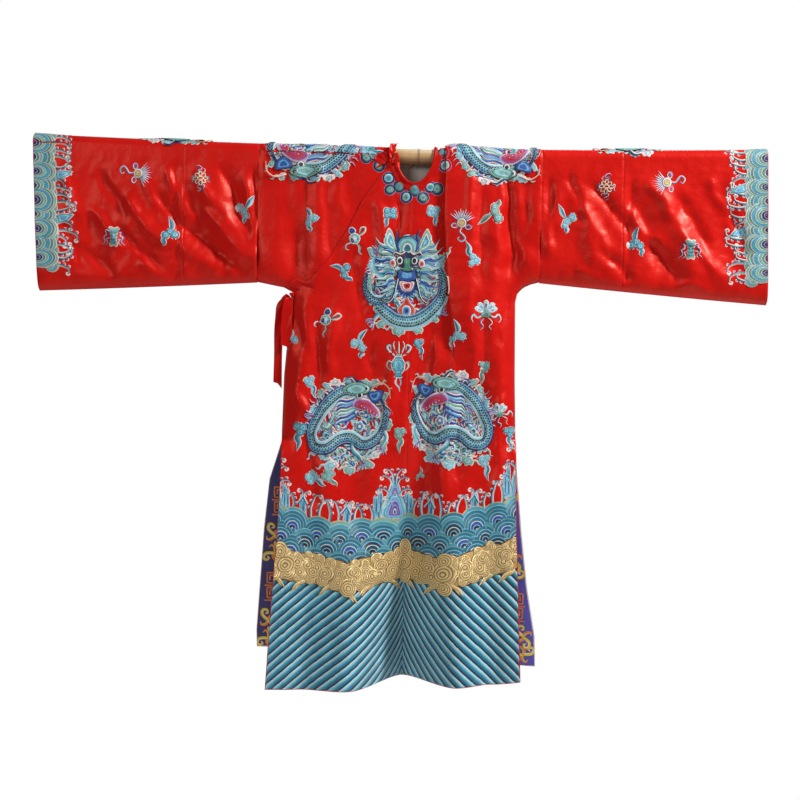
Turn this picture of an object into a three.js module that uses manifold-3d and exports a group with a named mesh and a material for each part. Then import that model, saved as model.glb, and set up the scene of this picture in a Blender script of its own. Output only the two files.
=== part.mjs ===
// A red silk dragon robe of Chinese cut, hung on a bamboo pole that runs through both sleeves.
//
// The cloth is a set of thin walls, one solid for each piece that is cut and sewn on: the left
// front, the flap that is sewn to it at the centre and overlaps to the right, the under front below
// it, the two halves of the back, two lengths of each sleeve, the neck binding, the ties, the slit
// facings and the patch of lining in the neck.
// The body and the sleeves hang off the pole as a front layer and a back layer, which meet at the
// side seams and along the sleeves' lower edge, and are open at the neck, the cuffs, the side slits
// and the hem.
//
// Millimetres, +Z up, +X to the wearer's left, -Y to the front. The origin is on the pole's axis
// at the robe's centre line. "Left" and "right" in names are the wearer's.

import * as THREE from "three";
import { mergeVertices } from "three/addons/utils/BufferGeometryUtils.js";
import Module from "manifold-3d";

const wasm = await Module();
wasm.setup();

// ---------------------------------------------------------------- driving sizes

const CLOTH = 1.6; // lined silk
const SEAM = 0.3; // between pieces that are sewn together
const LAYER = CLOTH + 0.9; // from one layer's middle to the next
const POLE_R = 20.9;
const POLE_NODE_R = 21.6;
const POLE_CLEARANCE = 0.7;
const POLE_RIGHT_END = -966;
const POLE_LEFT_END = 908;
const POLE_BOW = 14.5; // the pole's ends stand this much above its middle
const POLE_BOW_SPAN = 950; // at this distance from the middle
const HANG_R = POLE_NODE_R + POLE_CLEARANCE + CLOTH / 2; // the cloth's middle, over the pole
const HANG_ARC = (HANG_R * Math.PI) / 2; // cloth from the top of the pole to the front of it
const SEAM_Y = (CLOTH + SEAM) / 2; // half-way between the two layers at a seam
const CLOSING = 62; // the two layers come together over this distance from a seam
const SLIT_TOP = -731; // the side seams end here
const HEM_FRONT = -1374;
const HEM_BACK = -1343;

const CENTRE_SEAM = 2; // the flap and the left front, and the back's two halves, meet here
const RIGHT_SEAM = -395; // where the sleeves are sewn to the body
const LEFT_SEAM = 338;
const RIGHT_ARMHOLE = -336; // down to here they are sewn to it
const LEFT_ARMHOLE = -322;
const RIGHT_PIECING = -591; // where each sleeve's two lengths join
const LEFT_PIECING = 548;

const NECK = { x: 8, z: 23, halfWidth: 58, drop: 103, backDrop: 14 };
const BINDING = {
  inset: 5.4,
  halfWidth: 4.6,
  halfDepth: 2.4,
  proud: 1.2,
  gapAt: 2.86, // the angle about the neck at which the bow lies
  gap: 0.16,
  steps: 56,
};
const OVERLAP_FADE = 60; // the outer front comes down to the neckline over this width
const UNDER_EDGE = -46; // the under front's free edge, under the flap
const UNDER_HEM = -900;

// ---------------------------------------------------------------- tables

// The body's side edges by height, for the front and the back. Down to the slit they share a
// seam. Above the underarm the same panel runs on as the top of the sleeve, out to its seam.
const OUTLINE = [
  { z: 60, right: -302, left: 276, backRight: -302, backLeft: 276, wingRight: -395, wingLeft: 338 },
  { z: -322, right: -302, left: 276, backRight: -302, backLeft: 276, wingRight: -395, wingLeft: 338 },
  { z: -328, right: -302, left: 276, backRight: -302, backLeft: 276, wingRight: -395, wingLeft: 312 },
  { z: -336, right: -302, left: 276, backRight: -302, backLeft: 276, wingRight: -395, wingLeft: 296 },
  { z: -352, right: -302, left: 276, backRight: -302, backLeft: 276, wingRight: -302, wingLeft: 281 },
  { z: -375, right: -302, left: 276, backRight: -302, backLeft: 276, wingRight: -302, wingLeft: 276 },
  { z: -575, right: -317, left: 279, backRight: -317, backLeft: 279, wingRight: -317, wingLeft: 279 },
  { z: -731, right: -320, left: 284, backRight: -320, backLeft: 284, wingRight: -320, wingLeft: 284 },
  { z: -850, right: -321, left: 286, backRight: -357, backLeft: 298, wingRight: -321, wingLeft: 286 },
  { z: -980, right: -325, left: 288, backRight: -371, backLeft: 312, wingRight: -325, wingLeft: 288 },
  { z: -1130, right: -333, left: 294, backRight: -381, backLeft: 332, wingRight: -333, wingLeft: 294 },
  { z: -1260, right: -339, left: 299, backRight: -389, backLeft: 356, wingRight: -339, wingLeft: 299 },
  { z: -1400, right: -345, left: 304, backRight: -384, backLeft: 362, wingRight: -345, wingLeft: 304 },
];
const WING_FROM = 0.74; // the columns beyond this share of the width spread out into the wing

// The sleeves' lower edge and, at the cuff, how far out it reaches.
const SLEEVES = {
  right: {
    seam: RIGHT_SEAM,
    piecing: RIGHT_PIECING,
    cuffTop: -980,
    cuffBottom: -960,
    seamZ: RIGHT_ARMHOLE,
    cuffZ: -381,
  },
  left: {
    seam: LEFT_SEAM,
    piecing: LEFT_PIECING,
    cuffTop: 921,
    cuffBottom: 928,
    seamZ: LEFT_ARMHOLE,
    cuffZ: -379,
  },
};

// The flap's free edge, from the neck to the wearer's right side.
const FLAP_EDGE = [
  { x: -30, z: -6 },
  { x: -46, z: -27 },
  { x: -82, z: -56 },
  { x: -127, z: -123 },
  { x: -164, z: -200 },
  { x: -208, z: -271 },
  { x: -252, z: -325 },
  { x: -318, z: -381 },
  { x: -420, z: -384 },
];

// How far the hem is drawn up across the front and the back, growing from this height down.
const LIFT_FROM = -900;
const FRONT_HEM_LIFT = [
  { x: -360, lift: 0 },
  { x: -120, lift: 2 },
  { x: 0, lift: 18 },
  { x: 130, lift: 16 },
  { x: 240, lift: 22 },
  { x: 320, lift: 34 },
];
const BACK_HEM_LIFT = [
  { x: -380, lift: 39 },
  { x: 0, lift: 20 },
  { x: 360, lift: 0 },
];

// How far the front and the back swing out of the vertical, by height.
const FLARE = [
  { z: 60, front: 0, back: 0 },
  { z: -150, front: 2, back: 2 },
  { z: -420, front: 6, back: 5 },
  { z: -731, front: 14, back: 18 },
  { z: -900, front: 30, back: 48 },
  { z: -1100, front: 58, back: 84 },
  { z: -1400, front: 88, back: 118 },
];

// The pleat beside the neck: its middle, the reach of its S, how far it rises and its half width.
const PLEAT = [
  { z: 60, x: 84, reach: 8, rise: 6, half: 26 },
  { z: 0, x: 89, reach: 12, rise: 9, half: 29 },
  { z: -60, x: 94, reach: 20, rise: 13, half: 34 },
  { z: -150, x: 98, reach: 29, rise: 17, half: 40 },
  { z: -330, x: 110, reach: 29, rise: 17, half: 40 },
  { z: -450, x: 116, reach: 19, rise: 12, half: 40 },
  { z: -620, x: 122, reach: 0, rise: 0, half: 40 },
  { z: -1400, x: 122, reach: 0, rise: 0, half: 40 },
];
const PLEAT_BACK_FADE = 150; // the pleat dies out this far down the back
const PLEAT_EASE = 120; // beyond the pleat the cloth falls back over this width

// Soft folds. Each is a line with a top and a foot, a half width at each and a depth at each,
// where + is outwards.
const foldTable = (rows) =>
  Object.entries(rows).map(([name, [x0, z0, x1, z1, half0, half1, depth0, depth1]]) => {
    return { name, x0, z0, x1, z1, half0, half1, depth0, depth1 };
  });
const FRONT_FOLDS = foldTable({
  // name: [top x, top z, foot x, foot z, top half, foot half, top depth, foot depth]
  "centre valley": [6, -740, 0, -1400, 46, 78, 0, -178],
  "crest right of the valley": [-130, -860, -142, -1400, 40, 52, 0, 20],
  "crest left of the valley": [128, -820, 140, -1400, 34, 42, 4, 22],
  "left hem hollow": [215, -900, 226, -1400, 30, 40, -4, -24],
  "right hem hollow": [-238, -880, -246, -1400, 30, 44, -2, -14],
  "trough under the chest": [58, -430, 34, -860, 22, 26, -5, -11],
  "ridge beside it": [112, -520, 96, -900, 24, 26, 6, 10],
  "right trough": [-150, -560, -118, -980, 28, 30, -3, -9],
  "right ridge": [-214, -520, -196, -1000, 30, 34, 4, 9],
  "left armhole": [262, -20, 270, -330, 15, 22, -3, -8],
  "left chest ridge": [212, -40, 206, -520, 30, 34, 3, 9],
  "right armhole": [-268, -40, -300, -330, 18, 22, -2, -8],
  "right shoulder ridge": [-214, -50, -240, -330, 26, 26, 2, 8],
  "right seam ridge": [-345, -30, -348, -300, 22, 22, 2, 6],
});
const BACK_FOLDS = foldTable({
  // name: [top x, top z, foot x, foot z, top half, foot half, top depth, foot depth]
  "centre ridge": [-10, -500, -6, -1400, 60, 80, 2, 34],
  "right hollow": [-158, -420, -176, -1400, 44, 58, -3, -40],
  "left hollow": [150, -460, 166, -1400, 44, 56, -3, -34],
  "right side ridge": [-262, -600, -300, -1400, 36, 44, 2, 22],
  "left side ridge": [236, -600, 278, -1400, 34, 42, 2, 18],
  "right armhole": [-272, -30, -296, -330, 18, 24, -2, -8],
  "left armhole": [258, -30, 272, -320, 18, 24, -2, -8],
  "right blade ridge": [-205, -40, -225, -420, 30, 34, 2, 8],
  "left blade ridge": [196, -40, 210, -420, 30, 34, 2, 8],
});
const SLEEVE_FRONT_FOLDS = foldTable({
  // name: [top x, top z, foot x, foot z, top half, foot half, top depth, foot depth]
  "right long slant": [-560, -70, -392, -290, 16, 26, 3, 9],
  "right long hollow": [-600, -120, -440, -320, 20, 24, -3, -7],
  "right mid ridge": [-690, -190, -500, -310, 20, 20, 3, 6],
  "right upright": [-470, -40, -440, -180, 16, 18, -3, -5],
  "right cuff hollow": [-850, -60, -800, -300, 34, 40, -2, -6],
  "left first slant": [420, -60, 480, -280, 18, 24, 3, 8],
  "left second slant": [560, -70, 660, -300, 18, 26, -3, -8],
  "left third slant": [640, -60, 740, -310, 20, 26, 3, 8],
  "left cuff hollow": [770, -60, 846, -300, 26, 32, -3, -7],
});
const SLEEVE_BACK_FOLDS = foldTable({
  // name: [top x, top z, foot x, foot z, top half, foot half, top depth, foot depth]
  "right slant": [-600, -80, -430, -290, 20, 28, 3, 8],
  "right hollow": [-720, -60, -640, -310, 24, 30, -3, -7],
  "left slant": [500, -80, 400, -280, 20, 28, 3, 8],
  "left hollow": [640, -60, 590, -310, 24, 30, -3, -7],
});

// ---------------------------------------------------------------- small tools

const clamp01 = (v) => Math.min(1, Math.max(0, v));
const smooth = (v) => {
  const k = clamp01(v);
  return k * k * (3 - 2 * k);
};
const mix = (a, b, k) => a + (b - a) * k;
const spread = (from, to, count) => Array.from({ length: count + 1 }, (_, i) => mix(from, to, i / count));

// A column of a table at a place between its rows, which run up or down in order of key.
function read(table, key, at, column) {
  const rows = table[0][key] < table[table.length - 1][key] ? table : [...table].reverse();
  if (at <= rows[0][key]) return rows[0][column];
  for (let i = 1; i < rows.length; i++) {
    const [low, high] = [rows[i - 1], rows[i]];
    if (at <= high[key]) return mix(low[column], high[column], (at - low[key]) / (high[key] - low[key]));
  }
  return rows[rows.length - 1][column];
}

// The depth of a set of folds at a place on the cloth. A fold dies out past both its ends,
// except that one that reaches the hem runs off it.
const FOLD_FADE = 0.3;
function foldDepth(folds, x, z) {
  let depth = 0;
  for (const f of folds) {
    const run = new THREE.Vector2(f.x1 - f.x0, f.z1 - f.z0);
    const k = ((x - f.x0) * run.x + (z - f.z0) * run.y) / run.lengthSq();
    const along = clamp01(k);
    const reachesHem = f.z1 <= -1390;
    const fade = smooth((k + 0.12) / FOLD_FADE) * (reachesHem ? 1 : 1 - smooth((k - 0.86) / FOLD_FADE));
    const pastEnd = k < 0 || k > 1 ? 0.4 : 1;
    const away = Math.hypot(x - mix(f.x0, f.x1, along), (z - mix(f.z0, f.z1, along)) * pastEnd);
    const half = mix(f.half0, f.half1, along);
    depth += mix(f.depth0, f.depth1, along) * fade * Math.exp(-((away / half) ** 2));
  }
  return depth;
}

// The distance from a place to the line along which the front is sewn to the back.
const seamLine = (column, armhole) =>
  OUTLINE.filter((r) => r.z <= armhole && r.z >= SLIT_TOP).map((r) => new THREE.Vector2(r[column], r.z));
const SEAM_LINES = {
  right: seamLine("wingRight", RIGHT_ARMHOLE),
  left: seamLine("wingLeft", LEFT_ARMHOLE),
};
function seamDistance(x, z) {
  const here = new THREE.Vector2(x, z);
  const line = x < 0 ? SEAM_LINES.right : SEAM_LINES.left;
  let nearest = Infinity;
  for (let i = 1; i < line.length; i++) {
    const run = line[i].clone().sub(line[i - 1]);
    const k = clamp01(here.clone().sub(line[i - 1]).dot(run) / run.lengthSq());
    nearest = Math.min(nearest, here.distanceTo(line[i - 1].clone().addScaledVector(run, k)));
  }
  return nearest;
}
const opening = (distance) => Math.sqrt(1 - (1 - clamp01(distance / CLOSING)) ** 2);

// ---------------------------------------------------------------- the hanging surfaces

// The middle of the cloth at x across and t down from the top of the pole. side is -1 for the
// front layer and 1 for the back layer.
function hang(x, t, side, depth, open) {
  const stand = HANG_R + depth;
  if (t < HANG_ARC) {
    const angle = t / HANG_R;
    return new THREE.Vector3(x, side * stand * Math.sin(angle), stand * Math.cos(angle));
  }
  return new THREE.Vector3(x, side * (SEAM_Y + (stand - SEAM_Y) * open), HANG_ARC - t);
}

function bodyPoint(x, t, side) {
  const z = t < HANG_ARC ? HANG_R * Math.cos(t / HANG_R) : HANG_ARC - t;
  const front = side < 0;
  const pleatAt = (column) => read(PLEAT, "z", front ? z : 0, column);
  const fade = front ? 1 : 1 - smooth(t / PLEAT_BACK_FADE);
  const half = pleatAt("half");
  const across = (x - pleatAt("x")) / half;
  const reach = pleatAt("reach") * fade;
  const shift = Math.abs(across) < 1 ? -reach * Math.sin(Math.PI * across) : 0;
  const eased = 1 - smooth(((across - 1) * half) / PLEAT_EASE);
  const rise = pleatAt("rise") * fade * smooth((across + 1) / 2) * eased;
  const drape = t < HANG_ARC ? 0 : foldDepth(front ? FRONT_FOLDS : BACK_FOLDS, x, z);
  const flare = t < HANG_ARC ? 0 : read(FLARE, "z", z, front ? "front" : "back");
  return hang(x + shift, t, side, rise + drape + flare, opening(seamDistance(x, z)));
}

// ---------------------------------------------------------------- solids

// Every point is raised with the pole's bow.
const bowed = (p) => new THREE.Vector3(p.x, p.y, p.z + POLE_BOW * (p.x / POLE_BOW_SPAN) ** 2);

function geometryOf(points, triangles) {
  const geometry = new THREE.BufferGeometry();
  const places = points.flatMap((p) => [p.x, p.y, p.z]);
  geometry.setAttribute("position", new THREE.Float32BufferAttribute(places, 3));
  let volume = 0;
  for (const [a, b, c] of triangles) volume += points[a].dot(points[b].clone().cross(points[c]));
  geometry.setIndex(triangles.flatMap(([a, b, c]) => (volume < 0 ? [a, c, b] : [a, b, c])));
  return geometry;
}

// The outward directions at a grid of points. loop joins each row's two ends, and
// trim(normal, row, column) may square the wall's edge to a seam.
function gridNormals(grid, { loop = false, trim = null } = {}) {
  const rows = grid.length;
  const columns = grid[0].length;
  const at = (i, j) => {
    const row = grid[Math.min(Math.max(i, 0), rows - 1)];
    return row[loop ? (j + columns) % columns : Math.min(Math.max(j, 0), columns - 1)];
  };
  const normals = grid.map((row, i) =>
    row.map((_, j) => {
      const along = at(i + 1, j).clone().sub(at(i - 1, j));
      const across = at(i, j + 1).clone().sub(at(i, j - 1));
      const normal = along.cross(across).normalize();
      if (trim) trim(normal, i, j);
      return normal.normalize();
    }),
  );
  const outwards = normals.flat().reduce((sum, n, k) => sum + n.y * grid.flat()[k].y, 0);
  return outwards < 0 ? normals.map((row) => row.map((n) => n.negate())) : normals;
}

// A grid moved along its normals by distance(point, row, column).
const moved = (grid, normals, distance) =>
  grid.map((row, i) => row.map((p, j) => p.clone().addScaledVector(normals[i][j], distance(p, i, j))));

// A closed wall between two grids of points of the same size.
function wallBetween(outerGrid, innerGrid, loop = false) {
  const rows = outerGrid.length;
  const columns = outerGrid[0].length;
  const points = [...outerGrid.flat(), ...innerGrid.flat()];
  const index = (start) => (i, j) => start + i * columns + (loop ? j % columns : j);
  const outer = index(0);
  const inner = index(rows * columns);
  const triangles = [];
  const quad = (a, b, c, d) => triangles.push([a, b, c], [a, c, d]);
  const span = loop ? columns : columns - 1;
  for (let i = 0; i < rows - 1; i++)
    for (let j = 0; j < span; j++) {
      quad(outer(i, j), outer(i, j + 1), outer(i + 1, j + 1), outer(i + 1, j));
      quad(inner(i, j), inner(i + 1, j), inner(i + 1, j + 1), inner(i, j + 1));
    }
  for (let j = 0; j < span; j++) {
    quad(outer(0, j), inner(0, j), inner(0, j + 1), outer(0, j + 1));
    quad(outer(rows - 1, j), outer(rows - 1, j + 1), inner(rows - 1, j + 1), inner(rows - 1, j));
  }
  if (!loop)
    for (let i = 0; i < rows - 1; i++) {
      quad(outer(i, 0), outer(i + 1, 0), inner(i + 1, 0), inner(i, 0));
      quad(outer(i, span), inner(i, span), inner(i + 1, span), outer(i + 1, span));
    }
  return geometryOf(points.map(bowed), triangles);
}

// A wall of even thickness about a grid of middle points.
function wall(grid, thickness, options = {}) {
  const normals = gridNormals(grid, options);
  const face = (distance) => moved(grid, normals, () => distance);
  return wallBetween(face(thickness / 2), face(-thickness / 2), Boolean(options.loop));
}

// A bar of one section swept through rings of points, closed at both ends.
function bar(rings) {
  const count = rings[0].length;
  const points = rings.flat();
  const triangles = [];
  for (let i = 0; i < rings.length - 1; i++)
    for (let j = 0; j < count; j++) {
      const k = (j + 1) % count;
      const [a, b, c, d] = [i * count + j, i * count + k, (i + 1) * count + k, (i + 1) * count + j];
      triangles.push([a, b, c], [a, c, d]);
    }
  const last = (rings.length - 1) * count;
  for (let j = 1; j < count - 1; j++) triangles.push([0, j + 1, j], [last, last + j, last + j + 1]);
  return geometryOf(points.map(bowed), triangles);
}

// A flat ribbon along a smooth line through points, with its width along a given direction. It
// is drawn in to a share of its width where it leaves its knot.
const RIBBON_GATHER = { share: 0.45, over: 0.2 };
function ribbon(path, width, thickness, across, steps) {
  const curve = new THREE.CatmullRomCurve3(path.map((p) => new THREE.Vector3(...p)));
  return bar(
    spread(0, 1, steps).map((k) => {
      const tangent = curve.getTangent(k);
      const half = (width / 2) * mix(RIBBON_GATHER.share, 1, smooth(k / RIBBON_GATHER.over));
      const wide = new THREE.Vector3(...across).projectOnPlane(tangent).normalize().multiplyScalar(half);
      const thick = wide.clone().cross(tangent).normalize().multiplyScalar(thickness / 2);
      const centre = curve.getPoint(k);
      const corner = (a, b) => centre.clone().addScaledVector(wide, a).addScaledVector(thick, b);
      return [corner(1, 1), corner(-1, 1), corner(-1, -1), corner(1, -1)];
    }),
  );
}

// To and from the solids that are cut.
function manifoldOf(geometry) {
  const bare = new THREE.BufferGeometry();
  bare.setAttribute("position", geometry.getAttribute("position"));
  bare.setIndex(geometry.index);
  const merged = mergeVertices(bare, 1e-4);
  const vertProperties = merged.attributes.position.array;
  return new wasm.Manifold(
    new wasm.Mesh({ numProp: 3, vertProperties, triVerts: new Uint32Array(merged.index.array) }),
  );
}
function geometryFrom(solid) {
  const mesh = solid.getMesh();
  const positions = new Float32Array(mesh.numVert * 3);
  for (let i = 0; i < mesh.numVert; i++) {
    const start = i * mesh.numProp;
    positions.set(mesh.vertProperties.subarray(start, start + 3), i * 3);
  }
  const geometry = new THREE.BufferGeometry();
  geometry.setAttribute("position", new THREE.BufferAttribute(positions, 3));
  geometry.setIndex(new THREE.BufferAttribute(mesh.triVerts, 1));
  return geometry;
}

// A cutter: an outline in x and z, drawn out from one y to another.
function cutter(outline, yFrom, yTo) {
  const shape = new THREE.Shape(outline.map(([x, z]) => new THREE.Vector2(x, z)));
  const geometry = new THREE.ExtrudeGeometry(shape, { depth: yTo - yFrom, bevelEnabled: false });
  geometry.deleteAttribute("normal");
  geometry.deleteAttribute("uv");
  geometry.applyMatrix4(new THREE.Matrix4().makeRotationX(Math.PI / 2)); // z up, drawn towards -y
  geometry.translate(0, yTo, 0);
  return manifoldOf(mergeVertices(geometry, 1e-4));
}
const neckOutline = (drop) =>
  spread(0, 2 * Math.PI, 36)
    .slice(0, -1)
    .map((a) => [NECK.x + NECK.halfWidth * Math.cos(a), NECK.z + drop * Math.sin(a)]);
const frontNeck = () => cutter(neckOutline(NECK.drop), -200, 0);

// ---------------------------------------------------------------- pieces

const silk = new THREE.MeshStandardMaterial({ color: 0xc8171b, roughness: 0.42 });
const embroidered = new THREE.MeshStandardMaterial({ color: 0xc8171b, roughness: 0.45 });
const brocade = new THREE.MeshStandardMaterial({ color: 0x2f2a6b, roughness: 0.6 });
const lining = new THREE.MeshStandardMaterial({ color: 0xb9b4ac, roughness: 0.7 });
const bamboo = new THREE.MeshStandardMaterial({ color: 0xc9a66b, roughness: 0.5 });

const root = new THREE.Group();
function add(name, geometry, material) {
  const mesh = new THREE.Mesh(geometry, material);
  mesh.name = name;
  root.add(mesh);
}

// Distances down the cloth: close together over the pole and at the underarm, wider below.
const OVER_POLE = spread(SEAM / 2, HANG_ARC, 4);
const downFrom = (z) => HANG_ARC - z;
const CHEST_HEIGHTS = [-25, -60, -105, -155, -210, -265, -305, -322];
const WAIST_HEIGHTS = [-336, -352, -380, -430, -490, -550, -610, -670];
const SKIRT_HEIGHTS = [SLIT_TOP, -765, -815, -880, -950, -1020, -1100, -1180, -1260, -1330];
const lengthStations = (hem) => [
  ...OVER_POLE,
  ...[...CHEST_HEIGHTS, ...WAIST_HEIGHTS].map(downFrom),
  ...SKIRT_HEIGHTS.filter((z) => z > hem + 30).map(downFrom),
  downFrom(hem),
];

// Columns across as shares of the half width: -1 is the right edge, 1 the left edge.
const FRONT_COLUMNS = [
  ...[-1, -0.94, -0.86, -0.74, -0.62, -0.5, -0.38, -0.26, -0.17, -0.08],
  ...[0, 0.08, 0.16, 0.22, 0.27, 0.31, 0.34, 0.37, 0.4, 0.44, 0.5, 0.58, 0.67, 0.77, 0.87, 0.94, 1],
];
const BACK_COLUMNS = [
  ...[-1, -0.94, -0.88, -0.82, -0.7, -0.56, -0.42, -0.28, -0.14, -0.03],
  ...[0.08, 0.19, 0.29, 0.36, 0.44, 0.56, 0.7, 0.82, 0.88, 0.94, 1],
];

// Squares a panel's edge where it meets a sleeve, and its top where front and back meet.
const squareAtSleeves = (stations, columns) => (normal, i, j) => {
  const edge = j === 0 || j === columns.length - 1;
  if (edge && stations[i] <= downFrom(j === 0 ? RIGHT_ARMHOLE : LEFT_ARMHOLE)) normal.x = 0;
  if (i === 0) normal.y = 0;
};

// How far the hem's table draws the cloth up at a place.
const hemLift = (lifts, x, t, hem) => {
  const from = downFrom(LIFT_FROM);
  return read(lifts, "x", x, "lift") * smooth((t - from) / (downFrom(hem) - from));
};

// Where a column crosses a height: the body's share of its width, and the outer columns' wing.
function columnX(s, z, side) {
  const [front, back] = s < 0 ? ["right", "backRight"] : ["left", "backLeft"];
  const inset = Math.sign(s) * (SEAM / 2);
  const edge = read(OUTLINE, "z", z, side < 0 ? front : back) - inset;
  const seam = read(OUTLINE, "z", z, front) - inset;
  const wing = read(OUTLINE, "z", z, s < 0 ? "wingRight" : "wingLeft") - inset;
  return Math.abs(s) * edge + clamp01((Math.abs(s) - WING_FROM) / (1 - WING_FROM)) * (wing - seam);
}
function panelGrid(side, hem, columns) {
  const lifts = side < 0 ? FRONT_HEM_LIFT : BACK_HEM_LIFT;
  return lengthStations(hem).map((t) =>
    columns.map((s) => {
      const x = columnX(s, t < HANG_ARC ? 0 : HANG_ARC - t, side);
      return bodyPoint(x, t - hemLift(lifts, x, t, hem), side);
    }),
  );
}
const squared = (hem, columns) => ({ trim: squareAtSleeves(lengthStations(hem), columns) });

// The outer front lies a layer out from the under front, and comes down to it across the neck.
const FRONT = panelGrid(-1, HEM_FRONT, FRONT_COLUMNS);
const FRONT_TRIM = squared(HEM_FRONT, FRONT_COLUMNS);
const BACK = panelGrid(1, HEM_BACK, BACK_COLUMNS);
const BACK_TRIM = squared(HEM_BACK, BACK_COLUMNS);

// The part of a solid on one side of the centre seam.
const BEYOND = { x: 500, y: 300, top: 300, foot: -1600 }; // past all the cloth
function halfOf(whole, keepRight) {
  const edge = CENTRE_SEAM + (keepRight ? -SEAM : SEAM) / 2;
  const far = keepRight ? BEYOND.x : -BEYOND.x;
  const other = [[edge, BEYOND.top], [edge, BEYOND.foot], [far, BEYOND.foot], [far, BEYOND.top]];
  return geometryFrom(whole.subtract(cutter(other, -BEYOND.y, BEYOND.y)));
}

function outerFront() {
  const out = (p) => LAYER * (1 - smooth(p.x / OVERLAP_FADE));
  const grid = moved(FRONT, gridNormals(FRONT, FRONT_TRIM), out);
  const edge = FLAP_EDGE.map(({ x, z }) => [x, z]);
  const beyondFlap = cutter([...edge, [-420, 200], [NECK.x, 200], [NECK.x, -6]], -200, 40);
  return manifoldOf(wall(grid, CLOTH, FRONT_TRIM)).subtract(beyondFlap).subtract(frontNeck());
}

function underFront() {
  const grid = FRONT.filter((row) => row[0].z > UNDER_HEM);
  const beyond = cutter([[UNDER_EDGE, 300], [UNDER_EDGE, -1500], [500, -1500], [500, 300]], -200, 60);
  const whole = manifoldOf(wall(grid, CLOTH, FRONT_TRIM));
  return geometryFrom(whole.subtract(beyond).subtract(frontNeck()));
}

function back() {
  return manifoldOf(wall(BACK, CLOTH, BACK_TRIM)).subtract(cutter(neckOutline(NECK.backDrop), 0, 200));
}

// One length of a sleeve: a tube of front and back layers over the pole, closed along the bottom.
const BOTTOM_FOLD = 2.4;
function sleeveRing(sleeve, share, end) {
  const place = (z) => {
    const cuff = mix(sleeve.cuffTop, sleeve.cuffBottom, clamp01(-z / 380));
    return mix(sleeve.seam, cuff, share) + end;
  };
  const lower = mix(sleeve.seamZ, sleeve.cuffZ, share);
  const side = (direction, folds) => (z) => {
    const x = place(z);
    const depth = foldDepth(folds, x, z) + read(FLARE, "z", z, "front");
    const open = opening(z - lower);
    return new THREE.Vector3(x, direction * (BOTTOM_FOLD + (HANG_R + depth - BOTTOM_FOLD) * open), z);
  };
  const heights = [0, -30, -75, -130, -190, -250, lower + 42, lower + 20, lower + 7, lower];
  const frontFolds = [...SLEEVE_FRONT_FOLDS, ...FRONT_FOLDS.filter((f) => f.name === "right seam ridge")];
  const over = spread(-90, 90, 8).slice(1, -1).map((a) => (a * Math.PI) / 180);
  return [
    ...[...heights].reverse().map(side(-1, frontFolds)),
    ...over.map((a) => new THREE.Vector3(place(0), HANG_R * Math.sin(a), HANG_R * Math.cos(a))),
    ...heights.map(side(1, SLEEVE_BACK_FOLDS)),
  ];
}
function sleeveLength(sleeve, from, to, count) {
  const share = (x) => (x - sleeve.seam) / (sleeve.cuffTop - sleeve.seam);
  const outwards = Math.sign(sleeve.cuffTop);
  const last = count;
  const grid = spread(share(from), share(to), count).map((k, i) => {
    const gap = i === 0 ? SEAM / 2 : i === last && to !== sleeve.cuffTop ? -SEAM / 2 : 0;
    return sleeveRing(sleeve, k, outwards * gap);
  });
  const trim = (normal, i) => {
    if (i === 0 || i === last) normal.x = 0;
  };
  return wall(grid, CLOTH, { loop: true, trim });
}

// The neck binding: a flat roll along the neckline, inside the cut edge, open beside the bow.
function neckBinding() {
  const halfWidth = NECK.halfWidth - BINDING.inset;
  const stand = POLE_NODE_R + POLE_CLEARANCE + BINDING.halfDepth;
  const centreAt = (angle) => {
    const front = Math.sin(angle) > 0;
    const drop = (front ? NECK.drop : NECK.backDrop) - BINDING.inset;
    const x = NECK.x + halfWidth * Math.cos(angle);
    const z = NECK.z + 1 - drop * Math.abs(Math.sin(angle));
    const over = front && z < 0 ? LAYER * (1 - smooth(x / OVERLAP_FADE)) + BINDING.proud : 0;
    const y = z > 0 ? Math.sqrt(Math.max(0, stand ** 2 - Math.min(z, stand) ** 2)) : stand + over;
    return new THREE.Vector3(x, front ? -y : y, z);
  };
  const from = BINDING.gapAt + BINDING.gap;
  const to = BINDING.gapAt + 2 * Math.PI - BINDING.gap;
  const curve = new THREE.CatmullRomCurve3(spread(from, to, 200).map(centreAt));
  return bar(
    spread(0, 1, BINDING.steps).map((k) => {
      const centre = curve.getPointAt(k);
      const tangent = curve.getTangentAt(k);
      const out = new THREE.Vector3(0, centre.y, Math.max(centre.z, 0)).normalize();
      const wide = tangent.clone().cross(out).normalize();
      const proud = wide.clone().cross(tangent).normalize();
      return spread(0, 2 * Math.PI, 8)
        .slice(0, -1)
        .map((a) =>
          centre
            .clone()
            .addScaledVector(wide, BINDING.halfWidth * Math.cos(a))
            .addScaledVector(proud, BINDING.halfDepth * Math.sin(a)),
        );
    }),
  );
}

// What lies on the back's inner face is made from the back's own points, moved inwards. Its
// edge column and its last row are drawn in from the back's edges.
const FACING = { inset: 0.12, thickness: 1.2, top: -752 };
function insideBack(keepRow, columns, edge, inset) {
  const normals = gridNormals(BACK, BACK_TRIM);
  const face = (distance) => {
    const kept = moved(BACK, normals, () => -distance).filter((_, i) => keepRow(BACK[i][0].z));
    const grid = kept.map((row) => columns.map((j) => row.at(j).clone()));
    const last = grid.length - 1;
    grid.forEach((row) => row.at(edge).lerp(row.at(edge < 0 ? -2 : 1), inset));
    grid[last].forEach((p, j) => p.lerp(grid[last - 1][j], inset));
    return grid;
  };
  const near = CLOTH / 2 + SEAM;
  return wallBetween(face(near), face(near + FACING.thickness));
}
const slitFacing = (columns, edge) => insideBack((z) => z < FACING.top, columns, edge, FACING.inset);
const neckLining = () => {
  const columns = BACK_COLUMNS.flatMap((s, j) => (s > -0.1 && s < 0.2 ? [j] : []));
  return insideBack((z) => z < -10 && z > -125, columns, 0, 0);
};

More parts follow.
